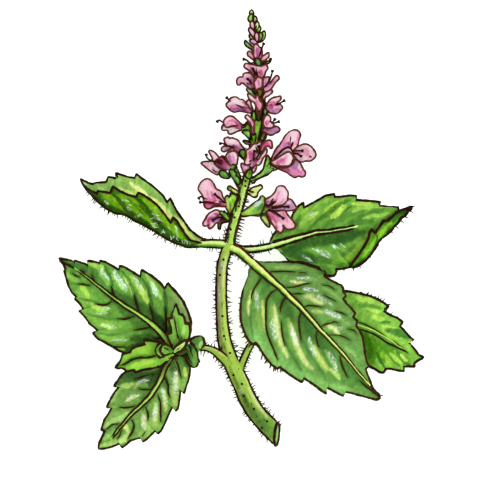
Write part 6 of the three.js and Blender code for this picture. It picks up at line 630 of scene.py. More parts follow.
    "flower_e": """
@ l2 | f3e0e9 | 226,157 227,154 229.5,152 232.5,151 235,151.5 237,153.5 237.8,157 237.5,161 236.5,165 234,166 231,165.5 229,163.5 227.3,160
8f609c 3.6 .9 229,155 229.8,160 231,163.8
e48ab6 3 .85 232.6,155.5 233,163
b49cc0 1.6 .7 228.3,153.8 231,152.8
f8eef3 1.8 .85 235.3,154 235.8,160
@ l0,l1 | f5dde7 | 201,163.3 203,162 206,161.5 208.5,161.7 211,160.5 212.5,159 211.5,156.5 210,154 209,151.5 209.8,150.3 212,151 215,152.8 217.3,155.5 219,158 217,160 215,161.3 214.5,163 216,165 218,167.3 221,169.2 220.5,170.8 219,173 217.3,174.8 214.5,173.5 210,170.8 206.5,168 203.5,165.5
f8e8ef 3 .85 213.3,163 215,166.5 217.5,169.5
f5dde7 2.6 .8 212.5,155 214.5,158.5
e2a8c8 2 .7 205,163.8 209,166.5
b89ac0 1.8 .85 212.3,167.3 214.8,169.6
e9b6ce 2 .7 216,171 218.5,172.3
@ l3 | 8e4e80 | 214,161.8 216.5,159.6 219.5,157.6 222.5,156.2 225.5,158 228,161.5 229,164.5 228,167.5 226.5,170 224,169.8 221.5,168.8 218.5,167 215.8,164.5
b880b0 2 .85 215.5,162 217.3,164.8
dc5890 1.8 .95 221.3,158.6 224,161.8 226.6,165
a04a7c 3 .8 219.5,163.8 223,167
5a2048 1.8 .85 219,160.7 222,161.5
3c1028 2.4 .85 226.3,160.8 227.8,163
cf70a8 1.4 .8 217.2,162.4 218.6,163.2
6a3460 2.4 .8 224.5,166 225.8,168.6""",
    "calyx_e": """
@ p1+0.1,c+0.1 | 62a43c | 230,165 233,164.5 235.5,166 236.2,168.3 234,170 236,172.5 237,173.6 235.8,175.5 238,177 239.5,179.5 240,183 238,184.5 235,181 232,177 229.8,173 229,169
74b850 2.6 .8 232.3,167.5 232.2,171 234,175.5
84c45a 1.6 .7 236.5,177.8 238,181
54823a 2 .7 235.5,181 237.5,183
@ p0+0.05 | 5c9e3c | 219.8,171.5 222.5,171 226,172 228.5,175 229.5,178 226,178.3 222,177.5 219.5,174.6
78bc54 2 .8 222.5,172.6 226,174.5
4a8832 1.6 .7 222.5,176 227,177""",
    "flower_f": """
@ l0,l3 | f1e1e9 | 249,148.8 251,147 252.5,145 254.5,143.8 257,143.5 259,142 260.5,141.8 261.5,143.5 260.5,147 258.5,150.8 258.5,154 257,157.5 255.5,160.5 252.5,163 249.5,164.8 246.5,165 244.8,163.5 244.8,160 246.3,157.5 246.5,154 246,151
da649a 6 .95 250,152.5 252.5,155 251,158.5
d8669a 2.4 .85 249.3,151.5 249.8,158
e07cac 2.6 .85 253.5,151.8 255,156
c8507f 1.6 .7 250.5,160.5 253.5,159
d6c6d4 1.6 .85 247.2,151.5 246.8,158 246,162
f8eef3 2.4 .85 256,145.5 252.8,149
@ l1 | e080ae | 260.5,149.5 261.5,146 263.5,143.5 266,141.3 268.5,140.5 271,141 272,144 272,148 270.5,148.5 269,146.5 266.5,146.5 264.5,148.5 262,151.5 259.5,154 258.3,153
f2dbe6 1.6 .9 267.5,141.6 270,142 271,145.5
cf4c86 2 .85 262.3,148 264.8,145 268,143.6
e896bc 1.6 .8 261,150.8 263.5,147.8
@ l2 | f2e1ea | 258.5,159.5 260,157 262,154 264,151 266,148.8 267,150 266.5,153.5 265,156 263,158 262,160.5 260.5,163.5 258.5,165.3 256.3,165 255.8,162.5 257,160.5
f8eef3 2 .8 264.3,152.5 262,156
c4a4ce 2.2 .85 257.5,162.8 259.3,161.5
e6b0cc 1.4 .8 260,159.5 261.5,157.5
@ l4+0.02,l3 | c8a6be | 241.3,163.5 243.5,164 245.5,165.3 249,164.8 252.5,163 254,165 253,168 251,169 248,170 245.5,171.5 243.5,172.5 242.3,169.5 241.3,166.5
a97cae 2.2 .8 247.5,166.5 250.5,168
e290b8 2 .8 242.8,165.5 244,169.8
d0588f 1.4 .8 249.5,166.5 251,167.2
eedbe6 1.6 .8 246,166 246.5,169
@ l4 | d6b8cc | 254,164 256,165.5 256.3,168 255,171 253.5,173 251.5,173.5 251,171 251.5,168 253,165.5
f0e0ea 1.4 .8 253.5,168.5 252.5,171.5
8a6a90 1.2 .7 254.8,166.5 254.5,169.5""",
    "calyx_f": """
@ c+0.1 | 66a81e | 246.2,176.6 245.8,174.6 246.6,172.6 248,170.6 250,169.3 251.7,170 252.3,172 251.6,175 250.4,177.6 248.6,178.6 247.2,178
2f6a10 2 .85 250.3,170.5 249.3,174.5
a4c83a 1.8 .85 247,173.4 247.5,176.5""",
    "flower_g": """
@ l0,l1 | f3e0e9 | 224,139.3 225.5,138 228,137.3 230,138.3 232.5,138 235,139 237.5,140 239.5,142.5 241,145 243,147.5 245,149.5 243,150.5 240.5,151.5 239,153.5 237.3,151.5 236,149.6 233,148.4 230.5,148.9 227.5,150.4 225,151.5 222.5,151.5 221.3,149.5 222,147.5 224,146.3 226,146 227,145 225.3,143 224.5,141
c08fc0 2.6 .85 224.5,149.3 228,147.5 231,146.4 235,147.3
b07ab0 1.6 .7 229,146.3 232,145.6
c2487c 2.4 .95 233,144.6 235.8,146.7 238.5,150
b89ac8 2 .8 236,144.6 238.5,146.3 240.5,148.4
e9a8cc 1.4 .8 223.5,150 225.5,149.4
8a4070 2.2 .9 238,150.3 239,152.6
faf1f5 3 .8 229,140.8 234,141.8""",
    "calyx_g": """
@ c+0.1 | 66ac38 | 239.5,152 240.5,150.3 243,149.8 245,150.5 245.2,153.5 245,156.5 243.8,159 242.3,157.3 240.8,155 239.5,153.5
84cc50 2 .85 242.4,151.5 242.8,156
4a8a28 1.2 .7 240.8,152.3 242,155""",
    "flower_h": """
@ l0 | f0cfdd | 223.8,124 223.5,121.5 224.8,119 227,117 230,116.2 233,116.7 235.5,118.8 238,121 240.5,123.5 243,126 241.5,127 237,125.8 233,125.6 229.5,126.6 227,127.2 225.3,126.4 224.5,125
e06a9c 3 .9 228.3,121.3 232,120.4 235.5,122.3 239,124.6
bc3c76 2 .9 235.5,122.3 240,125
e080aa 2.2 .85 226,124.8 228.3,123
c8b0d0 1.8 .8 230,124.2 232.5,123.6
f8e6ee 1.8 .85 226.5,119.3 231,118.2
@ l1+0.25,l2+0.25 | fff8fc | 223.8,124 222,127 221.7,129 223.5,130.2 226.5,130 228,130.8 228.3,132.8 229.8,134 232.5,133.5 236,131.8 239.5,130.5 242.5,129.5 242,127.3 238,126.1 234,125.8 230,126.8 227,127.3 225,126
f0b4ca 1.6 .85 230.3,129.9 232,129.4
e9a8c4 1.6 .8 225.3,126.8 227.5,127.6
fbf4f7 2.4 .8 231,128 237,128.2""",
    "calyx_h": """
@ p0+0.1 | 78c044 | 244.3,126.5 245.3,124 246.8,122.3 248.3,121.8 249.6,123.5 250,126 249.5,128.5 247.5,129 245.8,128.2
8ed458 1.8 .8 246.8,124.3 247.3,127
@ c+0.15 | 80c84a | 242.3,132.3 243.5,130.8 246,130.2 248.5,130.3 249.8,131.5 250.3,135 250.5,138.5 249,138 246.5,135.8 244,133.8
98dc60 2.2 .8 247.5,133 248.8,136
6f9a48 1.4 .8 245.3,131.6 247.5,131.2""",
    "flower_i": """
@ l0 | f2dae6 | 245.2,117.5 245.5,115.8 247.5,115 249.5,116.5 251.5,118.5 253.3,121 254.3,123.5 254,126 254,130 253.7,133.5 252,135 251.5,132 251.7,127.5 250.5,124 248.5,121 246.5,119
e06a9c 2 .9 250.5,120 252.8,123.5
a878b0 2 .85 252.8,126 252.7,132
faf0f4 1.6 .85 247,117 249.5,119""",
    "flower_j": """
@ l2 | b58eba | 263.5,128 266,128.3 269,128.6 271,127.5 273.5,127 276.5,126.3 279,127.8 279.8,130 278.3,132 275.5,133 273,134.7 270,135 267,134 264.5,132.5 262.5,131
9e6ca2 2 .8 265.5,129.5 269,129
dcb6d0 1.6 .85 272.5,129.8 277.5,128.4
c4a0c8 2 .7 269,132.5 274,131.8
@ l0,l1 | efd8e2 | 264,119 265,116.5 267,115 269,115.3 270.5,117.5 270.7,120 270,121.8 271.5,122 273,123.5 274,125.5 272.5,127.3 270.5,128 268,128 265.5,127.5 263.8,125.5 263.3,122
dd6699 3.4 .9 265.5,122.3 267.3,122 266.5,125
e288b0 1.6 .8 268.5,122.5 268,124.5
8a3060 1.2 .8 266.4,122.8 267,124.2
f4dbe4 3 .9 270.3,124.5 271.5,126
faf2f5 2.2 .85 267,117.3 267.5,119""",
    "calyx_j": """
@ c+0.1 | 5a6c28 | 261.5,141 260.8,138.5 261.5,136 262.8,133 264.5,132 265.5,134 264.8,137 263.5,139.5
a8d8b8 1.6 .9 261.9,136.8 262.1,139
7a8a28 1.2 .8 263.2,133.8 262.8,135.5""",
    "flower_k": """
@ l0,l1 | f3e2ea | 226.5,106 226.5,103.5 228.5,101.5 230,99 232.5,97.3 236,97 238.5,98.5 240,99.5 242.5,99.5 244.5,101.5 246.5,103.5 248.5,106 250.5,108 252.5,109.5 253,111.5 251,113 247,112.5 243,111.5 239,111 235,112 231.5,111 229,109
935a96 4.2 .95 229.5,108.3 235,109.6 242,108.8 250,111
b06aa4 2 .8 230,107.6 240,108.6
d980b0 1.8 .8 228.3,106.4 233,105.6 238,106.4 241.5,106.2
d9508c 1.6 .85 241.3,101.6 244,103.8 247,106
e9a4c4 1.6 .7 231,105 236,104.6
622a54 2 .85 248,109.5 252,111
faf1f4 3 .8 233,100.8 237,101.6
@ l2 | f4e4ec | 246.5,103.6 247,100.8 249,99.8 250.5,101.5 251,105 252.5,108.5 253,110.5 251.5,110 249.5,107.5 247.6,105
dc5a90 1.6 .9 247.9,104 249.8,107.3
fbf4f6 1.4 .85 248.8,101.3 249.6,103.8""",
    "calyx_k": """
@ c+0.1 | 76b83a | 251.8,119 252,115.5 252.3,112 253.5,110.5 255,112.5 255.5,115 256,118.5 255.5,120
9ad850 1.8 .85 253.3,113 254.2,118""",
    "flower_l": """
@ l0,l1 | ecd0e0 | 267,107 267,104 268.5,101.5 271,98.8 274.5,97.3 278.5,96.5 280.3,96 281,97.8 280.3,100 278,101.5 276.8,103.5 277,105.5 278.5,104.5 280.5,104.5 282.3,106.5 282.7,108 281,110 279,112 277,113.5 273.5,113.5 269.5,112.5 268.5,111 267.5,109
e2609c 5 .98 269.5,104 272,103 275.5,103.6
e2609c 4 .95 268.5,107 272,106.4 275,105.6
f7e8ef 2 .9 270.3,101 275,99.2 279.5,98
b07fb4 3.4 .9 270,110.3 275.5,110.6 280,108.6
a8689c 2.4 .85 269,106.8 272,108.5
f0dfea 1.6 .8 272.8,106.6 277,107.4
9a5f98 1.4 .7 271,112 277,112.2""",
    "calyx_l": """
@ c+0.1 | 6aa04a | 263.5,113 264,110 265,108 266.5,109 267,112 266,114.5 264.5,115.5
88c060 1.4 .8 264.9,110.3 265.2,113.3
@ c-0.1 | 6a9030 | 260.8,118 260.8,113 261.5,110 262.8,111 262.5,115 261.8,118.5
90c050 1.2 .85 261.7,113.8 261.7,117""",
    "flower_m": """
@ l0,l1 | edc8d8 | 247.7,95 248.2,93.2 250,94 252.5,96 254.5,98 256,98.5 256,96.5 257,95 258.3,96.3 259,99 260.5,101.5 262,103.5 262,107 261,109 260.3,112 258.7,114.5 257.3,112 256.8,108 255.5,104.5 253.5,102 250.5,100.3 248.5,97.5
f6e8ef 1.8 .9 249.3,95.6 252.5,98.6
c8a8c8 1.6 .8 255.3,100 256.5,102
e07aa8 2.6 .85 256.3,100.5 258,104 259.2,107
f8ecf0 1.4 .85 257.3,97 258.3,100.5
a84a7a 1.8 .85 258.3,108 258.6,112
f3d0de 1.4 .8 260.6,103.5 260.6,107""",
    "flower_n": """
@ l0,l1 | efcddc | 236.7,82 237,79.3 239,77.2 242,76.8 243.3,76 243,74.3 245,73 248,72.7 251,73.5 252.5,75.5 254,78 255.3,80 254.8,83 253,86 251.8,88.8 250,89 248,87.5 246,85.5 243.5,83.5 241.5,82.7 240,84.5 238,84.8
f6e6ed 2.6 .85 245,75.8 248,77.8 246.5,80
e896bc 2 .85 239.3,82.3 240.8,79.8
c8a0c0 1.6 .8 245.8,77.4 247,78.8
a05a94 3 .9 249,79.3 251.8,80.6 254,79.3
b470a4 2.2 .9 243.5,82 248,86 251,88
dc6098 1.4 .85 249.5,76.6 252,78
8a3f7c 2 .8 251.5,83.5 252,86.5""",
    "calyx_n": """
@ c+0.1 | 4a5a2c | 246.7,89.5 247.3,87.8 249,88.5 251.5,90 253.3,92 254.6,94.5 254.3,97 252.5,96.5 250.5,94 248.5,92
5a7040 1.4 .7 248.8,90.3 252.8,94.8""",
    "flower_o": """
@ l0 | ebbcd2 | 254.3,85 254.2,82 256,79 258,77 260,77.8 261.5,78 262.7,80.5 262.8,84 262.5,88 261,89.5 259,88 257,90.5 255.5,88.5
f2cadc 1.8 .8 256,82 256.3,87
b07aa4 1.8 .85 258.7,80 258.8,86
f5dde8 1.6 .85 260.9,79.5 261,84
@ l1,l2 | e0a8c4 | 262.8,90 263,86 263,81 264,78.3 266.5,77 269,76.8 269.3,79 268.5,82 270,83 272,80.5 274,78 276,75.8 277.8,75.5 279,77.5 278.7,79.5 276.5,81.5 274.5,84 272.5,87 270.5,89.5 268,91 265,91.5
b57fae 2.4 .9 266.5,87 270,84.5 274.5,80.8
f5e4ec 1.8 .9 268,78.6 266.4,81.3
f3d6e4 1.6 .85 277.4,77.2 275.3,79.3
8a6a8a 1.2 .8 265.4,83 266,84.2
dd88b4 1.8 .85 264,84.5 265.3,89
@ l3 | ecd4e0 | 263.5,94.5 265,91.8 267.5,90.3 270,89.3 272.3,90.5 272.5,91.8 270.5,94 268,96 265.8,97 264.5,99 262.5,99.5 262.3,97
c8a8c8 1.6 .8 265.8,93.2 268.3,92
f8ecf1 1.4 .8 269.5,91 267,94""",
    "calyx_o": """
@ c+0.1 | 746e24 | 257.3,95 257.5,91.5 258.3,88.5 260,86.3 262.3,86.3 263.5,88 262.8,91 262,94 261.3,96.5 259.5,96.8
9c9430 1.6 .9 258.6,90.6 260,94.6
220e06 2.8 .95 261.3,88 261.5,90.5""",
    "flower_p": """
@ l0,l1,l2 | eccad8 | 244,66.5 245,63.8 247,63.5 249,64 252,64.7 255.5,65 258.5,65.5 261.5,66.3 264,65.3 266.3,64.8 267.7,67 267.7,69 266,71 265.2,73.5 264.2,76 262.5,77.8 260,78 257.5,77.5 255.5,78 253.8,76 252,73.5 249.8,71 247,69 244.8,67.8
f4e0ea 2 .85 245.8,65.3 247,66
f2dde8 2.2 .85 253.5,66.3 257,67.3 262,68.5 266,67
e0709f 1.8 .85 248,65.3 251,67.3 254,69.3
a05a94 2.8 .85 250.3,67.6 254,72 256,76.5
d85c98 3.6 .95 260.8,70.8 261.2,75
9a5a92 1.6 .85 258.3,73.5 259.5,70.3
a890a8 1.2 .8 256.3,66.3 256.8,68.8""",
    "flower_q": """
@ l1 | e6a0be | 247.5,54.3 247.6,52 249.3,51 251,52.2 253,54.5 254.5,56.5 255.5,58.5 254.8,61 253,59.5 250.5,57.5 248.5,56
f8dce8 1.6 .85 249,53
eec0d2 1.6 .8 249,52.8 251.5,55
d0a0c4 1.6 .8 253.3,57.3 254.3,59
@ l2 | eac8d4 | 260.5,58 262,56.5 264.5,55 267,53 268.7,52.5 269.2,54.5 268.5,57 266.5,59 264,60.5 261.5,61 260.3,60
f5dae6 1.8 .85 264.5,56.5 267.7,54.6
e07aa0 1.6 .85 261.3,58.9 263,58.2
@ l0 | eec6d8 | 254.2,59.5 253.7,55 253.8,51 253.6,47 254,44.7 256,44 257.8,44.6 259,46.5 260.7,48 262,50 262.2,53 261.8,56 260.5,58.5 258,59.5 256,60.5
f4dae6 1.6 .85 254.8,46.3 255,50 254.8,53
8a4a88 3.4 .9 257,49 257.4,53 257.8,57
f5cddc 1.4 .85 260.9,49.8 261,55
b0689c 2 .85 256.5,47.5 256.8,52 257.2,57
e07aa8 1.6 .85 258.3,48 259,53 259.4,57
9a4a80 2 .85 255.8,56.8 259,57.2""",
    "calyx_q": """
@ c+0.15 | 5f8f4a | 255,60 256.5,58.5 259,58.8 260.3,60.5 260.8,63 260,65.3 257.8,65.3 256,63.5
74a85a 1.6 .8 257,60.6 259,63.8
@ p0+0.05 | 66ac34 | 262,63 264,62.3 266.5,61.5 269,60.5 270.3,58.5 271,57.8 271.2,59.5 270,62 268,63.5 265,64 262.8,64.3
7cc848 1 .8 266,62.7 269,61.4""",
    "old_calyx_right": """
@ p0,p1,c+0.1 | deea8a | 248,190.6 250,190 252,188 255,186.8 258,186 260.5,185 262,186 262.3,188 260.5,189.5 258.5,191.5 257.7,193 257.3,195.5 255.5,197.2 253,197 250.8,195.5 249,193.7 247.3,193
e8f6a8 2 .85 253,188.8 258,187.3 260.5,186.8
e8f6a8 2 .8 252.3,194.5 255,195.5
c4d86a 1.2 .7 250.5,190.6 253,190.2""",
    "old_calyx_left": """
@ c+0.1 | 8f9a3c | 227.8,189 228,187.3 229.5,186.3 231,187 233,188.3 236,190 238.5,191.8 238.8,193.5 236.5,194 233.5,192.5 231,190.8 229,190.3
74a830 1.8 .9 229.6,188.2 230,188.4
ecf684 1.8 .95 232.3,190 236.3,192.5""",
    "flower_spike_stem": """
@ b1+0.05 | 8ab850 | 245.2,40 246.5,41 248,42.5 250,44.3 252,46 253.5,48 254,51 252.8,50.5 251,48.8 248,47 246,45.3 244.8,43 244.6,41
b4e070 1.5 .9 246.8,43 249,45.4
@ b2+0.05 | c0b088 | 243.3,140.5 245,140.5 247,141.2 249.5,142 252,143 251,144.5 248,144 246.5,144.2 244.8,142.8 243.3,141.8
96a04c 1.4 .85 246,142.4 248,143""",
}
# dark pen strokes on petals and calyces: width, points
PEN = {
    "flower_a": """
1.8 293,142 291.6,145.5 291,148
1.1 290.6,136.5 290.2,140 290.2,142
1.8 273.5,159.6 278.5,153.8 283,149.8 286.5,147.8 289.6,147.6 291.4,149.8 292.6,153
1.4 284.8,153.6 282,155 279.8,156.8
1.9 292.2,152 293.2,156.5 292.6,161 290.5,164.6 287,166.6 282,166.9 279,166.8
1.9 309.2,155.8 311.8,157.2""",
    "flower_b": """
1.5 273.8,198.3 271.5,201 270.4,204.5
1.4 276.6,201.2 273.6,203.3 271,206.5
1.6 270,204.5 269.3,208
1.6 269.5,208 267.5,211""",
    "calyx_b": """
2.2 260.8,215 264,213.2 268,209.5""",
    "flower_c": """
1.8 214.3,194.3 215.6,195.5
1.6 216.3,196.6 219.6,198.8
1.5 218.3,201 220.6,202.3
1.9 203.5,200.8 206.5,201.6 211,202.4 215,202.7""",
    "flower_d": """
2.2 213,219.8 216,217.8 220.5,216.9 225,218.4
1.4 219,220.2 222,219.2 225,219
1.8 219.8,211.5 219.6,214.5""",
    "flower_e": """
2.2 217.8,155.6 221,156.6 224.3,158.2 227.8,162.3
1.8 216.5,160.9 219.5,160.4 222.6,161
1.3 212.2,169 215,171.4 217.3,172.4""",
    "calyx_e": """
1.8 236.8,170.8 234,170.2
1.8 237.5,175.3 235.6,175""",
    "flower_f": """
1.5 255.4,147 257,150 256.6,154
1.4 253.4,155 253.8,158.7
1.5 249,162 251.5,160.6 254.3,159.6
1.4 259.6,156.4 257.6,158.4 256,160.6
1.6 257.2,152 260,149.8 262,147""",
    "flower_g": """
1.4 233,148.4 230.5,148.9 227.5,150.3""",
    "flower_h": """
1.6 227,127.1 230,126.4 234,125.8 239,126.4 243,127.6""",
    "flower_j": """
1.5 268.8,121.6 270.5,122 272.4,122.8
1.6 262.6,127.3 265.8,129.6
1.3 272.3,127.2 276,126.8""",
    "flower_k": """
1.5 242.3,107.8 245,107.8 247.6,108.6
1.4 244.3,101.8 246.3,103.6""",
    "flower_l": """
2.1 276.9,101.6 278,104.6
1.4 277,105.5 280,104.3""",
    "flower_n": """
1.7 246.8,82.4 249.2,84.3
1.7 248.7,80.3 251.6,83""",
    "flower_o": """
1.5 270,82 269.3,83.5 268.6,84""",
    "flower_p": """
1.1 252,68.8 253.5,71.2 255.6,75.8
1.1 255.6,68.5 256.9,71.6 257.5,76""",
    "old_calyx_right": """
1.8 248.5,191 251.5,192 254.4,192""",
    "calyx_c": """
1.2 229.5,196.8 229.3,198.6""",
}
# stems: colour and brush strokes, with painted shade along one side and painted highlights along the other (g: pale
# highlight dashes)
STEMPAINT = {
    "main_stem": ("a4dc54", """
8f9a68 4.6 .9 220.5,254 218.5,275 217.5,297 218.3,318 220.5,338 223.5,352
a6b088 2.2 .7 221,262 220,285 219.5,305 220.5,325
b8ec62 5 .9 226.8,254 225,272 224,297 225,320 227.5,340 232,356
d8f09c 2 .8 225.5,256 224,272 223.6,286
8cbf4c 2 .7 221.5,285 221.5,305 222.5,325 225.5,345
g dfe6e4 1.8 .9 219,283 219.5,293 219.5,303
g dfe6e4 1.8 .7 222,262 222,270
5ca838 2.4 .7 221,250 221,254
6f9a3c 3 .8 223,342 227,354 230.5,364
5a8a34 4 .9 229,366 234,379 240,391 248,403 256,414 264,424
4a7a34 5 .9 240,392 246,403 252,413 258,422 265,431
8cc850 5 .8 236,370 243,385 251,399
a8e452 6 .85 233,358 239,370 246,384 254,397
dcf28c 2.4 .9 243,372 250,385 257,396 264,406 270,414
64a048 8 .85 250,404 256,414 262,422 268,432
5a9c46 13 .8 263,424 272,438
6aac4c 7 .75 260,410 268,420 274,428
3a7a30 3.4 .8 264,434 270,442
c4dc9c 2 .8 266,409 272,416 276,422
g dfe6dc 1.1 .6 235,381 239,389 243,395
g dfe6dc 1.1 .5 253,394 258,402
dcf490 2.4 .8 249,388 254.5,399 261,409 268,418.5
5a9040 3 .8 236,390 240.5,400 246.5,411 253.5,421.5 261,431.5 269,440.5"""),
    "flower_spike_stem": ("a8e048", """
4a7a34 2.8 .95 226.5,240 229.8,226 233.5,210 238,194 241.5,181
d8f07c 2.2 .8 230.6,233 231.8,228
e4f4a0 2 .8 235,218 236.4,212
7cc030 2.4 .8 234.6,228 236.6,219
88c83a 2.4 .8 239.6,206 241.6,197
c4ee60 2.6 .85 233,240 236,226 239.8,210.5 243.6,195 247,180
e0f49c 1.6 .8 240,210 241.5,203 243.5,194
8cd03c 2 .8 236.8,240 239.8,224 243,209 246.5,193
5fa028 3 .8 246,184 248.5,174
4a7a20 4 .85 249,176 252,168
88e020 6 .98 251,160 253,150 256,138 258.5,122
a4ec3c 2.6 .85 255.5,140 258,124
3a5a18 4 .8 259,114 259,90 257,66
1e2a08 5 .97 264,96 264.5,111"""),
    "left_shoot_stem": ("98d048", """
d6ec80 1.8 .85 227,358 220,352.5 212,347.8 204,346.6 194,347.4 184,348.8
6a9a30 1.8 .8 226,365.5 218,358.5 210,351.8 200,350.4 188,351.6"""),
    "right_shoot_stem": ("a0dc50", """
c8e470 1.6 .8 239.5,366 242,358 246,350.5
5c8c2c 1.8 .8 243,368 246.5,360 250.5,352"""),
}
DOTS = "223.5,259.5 220,275 222.5,316 224,336 230,353 227.5,363 233.5,375 242,384 244,396 254,409 267,421.5 262,428 245.5,181.2 245.3,186 238.8,206.4 234.7,217.5 230.9,229.5"
DASHES = """
1.0 222,267 222.3,269.5
1.0 220,287 220,289.5
1.0 222,302 222.2,306
1.0 223,327 223,329.5
1.0 225.3,338 225.6,340.3
1.0 225,346 225.2,348.4
1.0 235.6,359 236.4,361
1.0 240,362 240.3,364
1.0 238.6,368 239.4,370
1.1 251,402.6 252,405
1.0 256,415 257,417
1.0 258.6,420.6 259.6,422.4
1.0 263.6,419 264.6,421"""
# dark hairs on the flower stalk; those on its left side also stand in for painted shade beside it
SPIKE_HAIRS_AND_SHADE = """
240.5,189.4 233,178.5
240.4,192 233.8,181.4
240.6,187 235,177
240.8,200 238.4,190
240,204 238,194
229,236 224.4,226
228.6,240 223.6,230
228,242.4 222.6,235
262.4,97 265.4,99.6
262.4,99.6 266.4,102.4
262.4,102.2 266.6,105
262.4,104.8 266.4,107.4
262.4,107.4 265.6,109.6
246,190.5 251,190
245,195.6 250.4,195
243.6,199.4 248.8,200.2
242.8,202.6 249.4,202.4
242,206 247.8,206.8
239,219 244.6,219.6
238.4,222.4 244.8,224
237.6,225.6 244,227.4
237,228.4 243,231
236,231.6 242,234
235.4,234.6 241.8,236.6
234.8,238 240,240.2
234,241 239.8,243
232,222.4 226.4,222
230.6,228 225,229.4
229.4,234 222.8,234.6
229,237.4 222.6,237.6"""
# dark pen strokes on the green buds, as painted shade between them
BUD_SHADE_PEN = """
1.1 253.4,12.5 252.6,16 253.4,20
1.0 249.6,20.6 253,21.6 256.4,21
1.1 254.8,22.5 254.4,26.4
1.0 256.8,24.5 256,27.8
1.3 254,30 256,30.8 257.4,29.4
1.0 251.6,36.4 253.6,37.2"""

K, CX, CY, OX, OY = 0.27, 242.0, 230.5, 0.135, -0.255      # mm per drawing unit and where the drawing sits
MM = 0.001


def srgb(h):
    v = np.array([int(h[i:i + 2], 16) / 255 for i in (0, 2, 4)])
    return np.where(v <= 0.04045, v / 12.92, ((v + 0.055) / 1.055) ** 2.4)


def mm_xy(p):
    p = np.asarray(p, float)
    return np.stack([(p[..., 0] - CX) * K + OX, (CY - p[..., 1]) * K + OY], -1)


def draw_xy(v):
    return np.stack([(v[..., 0] - OX) / K + CX, CY - (v[..., 1] - OY) / K], -1)


def unit(v):
    return v / np.maximum(np.linalg.norm(v, axis=-1, keepdims=True), 1e-9)


def smooth(x):
    t = np.clip(x, 0, 1)
    return t * t * (3 - 2 * t)


# ------------------------------------------------------------------ noise
def hash2(ix, iy, seed):
    h = (ix.astype(np.int64) * 374761393 + iy.astype(np.int64) * 668265263 + seed * 2147483647) & 0xFFFFFFFF
    h = ((h ^ (h >> 13)) * 1274126177) & 0xFFFFFFFF
    return ((h ^ (h >> 16)) & 0xFFFF) / 65535.0


def noise(x, y, seed=0, octaves=3):
    """Smooth value noise, 0 to 1, one cell per unit."""
    x, y = np.asarray(x, float), np.asarray(y, float)
    total, amp, norm = 0.0, 1.0, 0.0
    for o in range(octaves):
        ix, iy = np.floor(x), np.floor(y)
        fx, fy = smooth(x - ix), smooth(y - iy)
        a, b = hash2(ix, iy, seed + o), hash2(ix + 1, iy, seed + o)
        c, d = hash2(ix, iy + 1, seed + o), hash2(ix + 1, iy + 1, seed + o)
        total = total + amp * ((a * (1 - fx) + b * fx) * (1 - fy) + (c * (1 - fx) + d * fx) * fy)
        norm += amp
        amp *= 0.5
        x, y = x * 2.03 + 17.1, y * 2.03 + 9.7
    return total / norm


rng = np.random.default_rng(20)


# ------------------------------------------------------------------ curves
class Line:
    """A polyline read by its share of arc length."""

    def __init__(self, P):
        self.P = np.asarray(P, float)
        D = min(3, self.P.shape[1])
        S = np.concatenate([[0], np.cumsum(np.linalg.norm(np.diff(self.P[:, :D], axis=0), axis=1))])
        self.total = S[-1]
        self.marks = S / self.total

    def at(self, t):
        t = np.clip(np.asarray(t, float), 0, 1)
        return np.stack([np.interp(t, self.marks, self.P[:, k]) for k in range(self.P.shape[1])], -1)

    def tan(self, t, e=0.012):
        t = np.asarray(t, float)
        return unit((self.at(np.minimum(1, t + e)) - self.at(np.maximum(0, t - e)))[..., :3])


def curve(ctrl, per=12):
    P = np.asarray(ctrl, float)
    E = np.vstack([P[:1], P, P[-1:]])
    t = (np.arange(per) / per)[:, None]
    out = []
    for i in range(len(P) - 1):
        a, b, c, d = E[i], E[i + 1], E[i + 2], E[i + 3]
        out.append(0.5 * (2 * b + (c - a) * t + (2 * a - 5 * b + 4 * c - d) * t ** 2 + (3 * b - a - 3 * c + d) * t ** 3))
    out.append(P[-1:])
    return Line(np.vstack(out))


def table(z, s):
    return np.interp(np.clip(s, 0, 1), np.linspace(0, 1, len(z)), z)


# ------------------------------------------------------------------ meshes
class Mesh:
    def __init__(self):
        self.v, self.c, self.f, self.n = [], [], [], 0

    def add(self, V, F, C):
        V = np.asarray(V, float).reshape(-1, 3)
        C = np.broadcast_to(np.asarray(C, float), (len(V), 3))
        self.v.append(V)
        self.c.append(C)
        for f in F if isinstance(F, list) else [F]:
            self.f.append(np.asarray(f) + self.n)
        self.n += len(V)

    def object(self, name, material, slot, sharp=50):
        V, C = np.vstack(self.v) * MM, np.vstack(self.c)
        me = bpy.data.meshes.new(name)
        me.vertices.add(len(V))
        me.vertices.foreach_set("co", V.astype(np.float32).ravel())
        loops = np.concatenate([f.ravel() for f in self.f]).astype(np.int32)
        totals = np.concatenate([np.full(len(f), f.shape[1]) for f in self.f]).astype(np.int32)
        me.loops.add(len(loops))
        me.loops.foreach_set("vertex_index", loops)
        me.polygons.add(len(totals))
        me.polygons.foreach_set("loop_start", np.concatenate([[0], np.cumsum(totals)[:-1]]).astype(np.int32))
        me.polygons.foreach_set("loop_total", totals)
        me.update(calc_edges=True)
        me.validate()
        a = me.color_attributes.new("paint", "FLOAT_COLOR", "POINT")
        a.data.foreach_set("color", np.hstack([np.clip(C, 0, 1), np.ones((len(C), 1))]).astype(np.float32).ravel())
        me.polygons.foreach_set("use_smooth", np.ones(len(me.polygons), bool))
        if sharp:
            me.set_sharp_from_angle(angle=math.radians(sharp))
        me.materials.append(material)
        ob = bpy.data.objects.new(name, me)
        bpy.context.scene.collection.objects.link(ob)
        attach(ob, "root")
        return ob


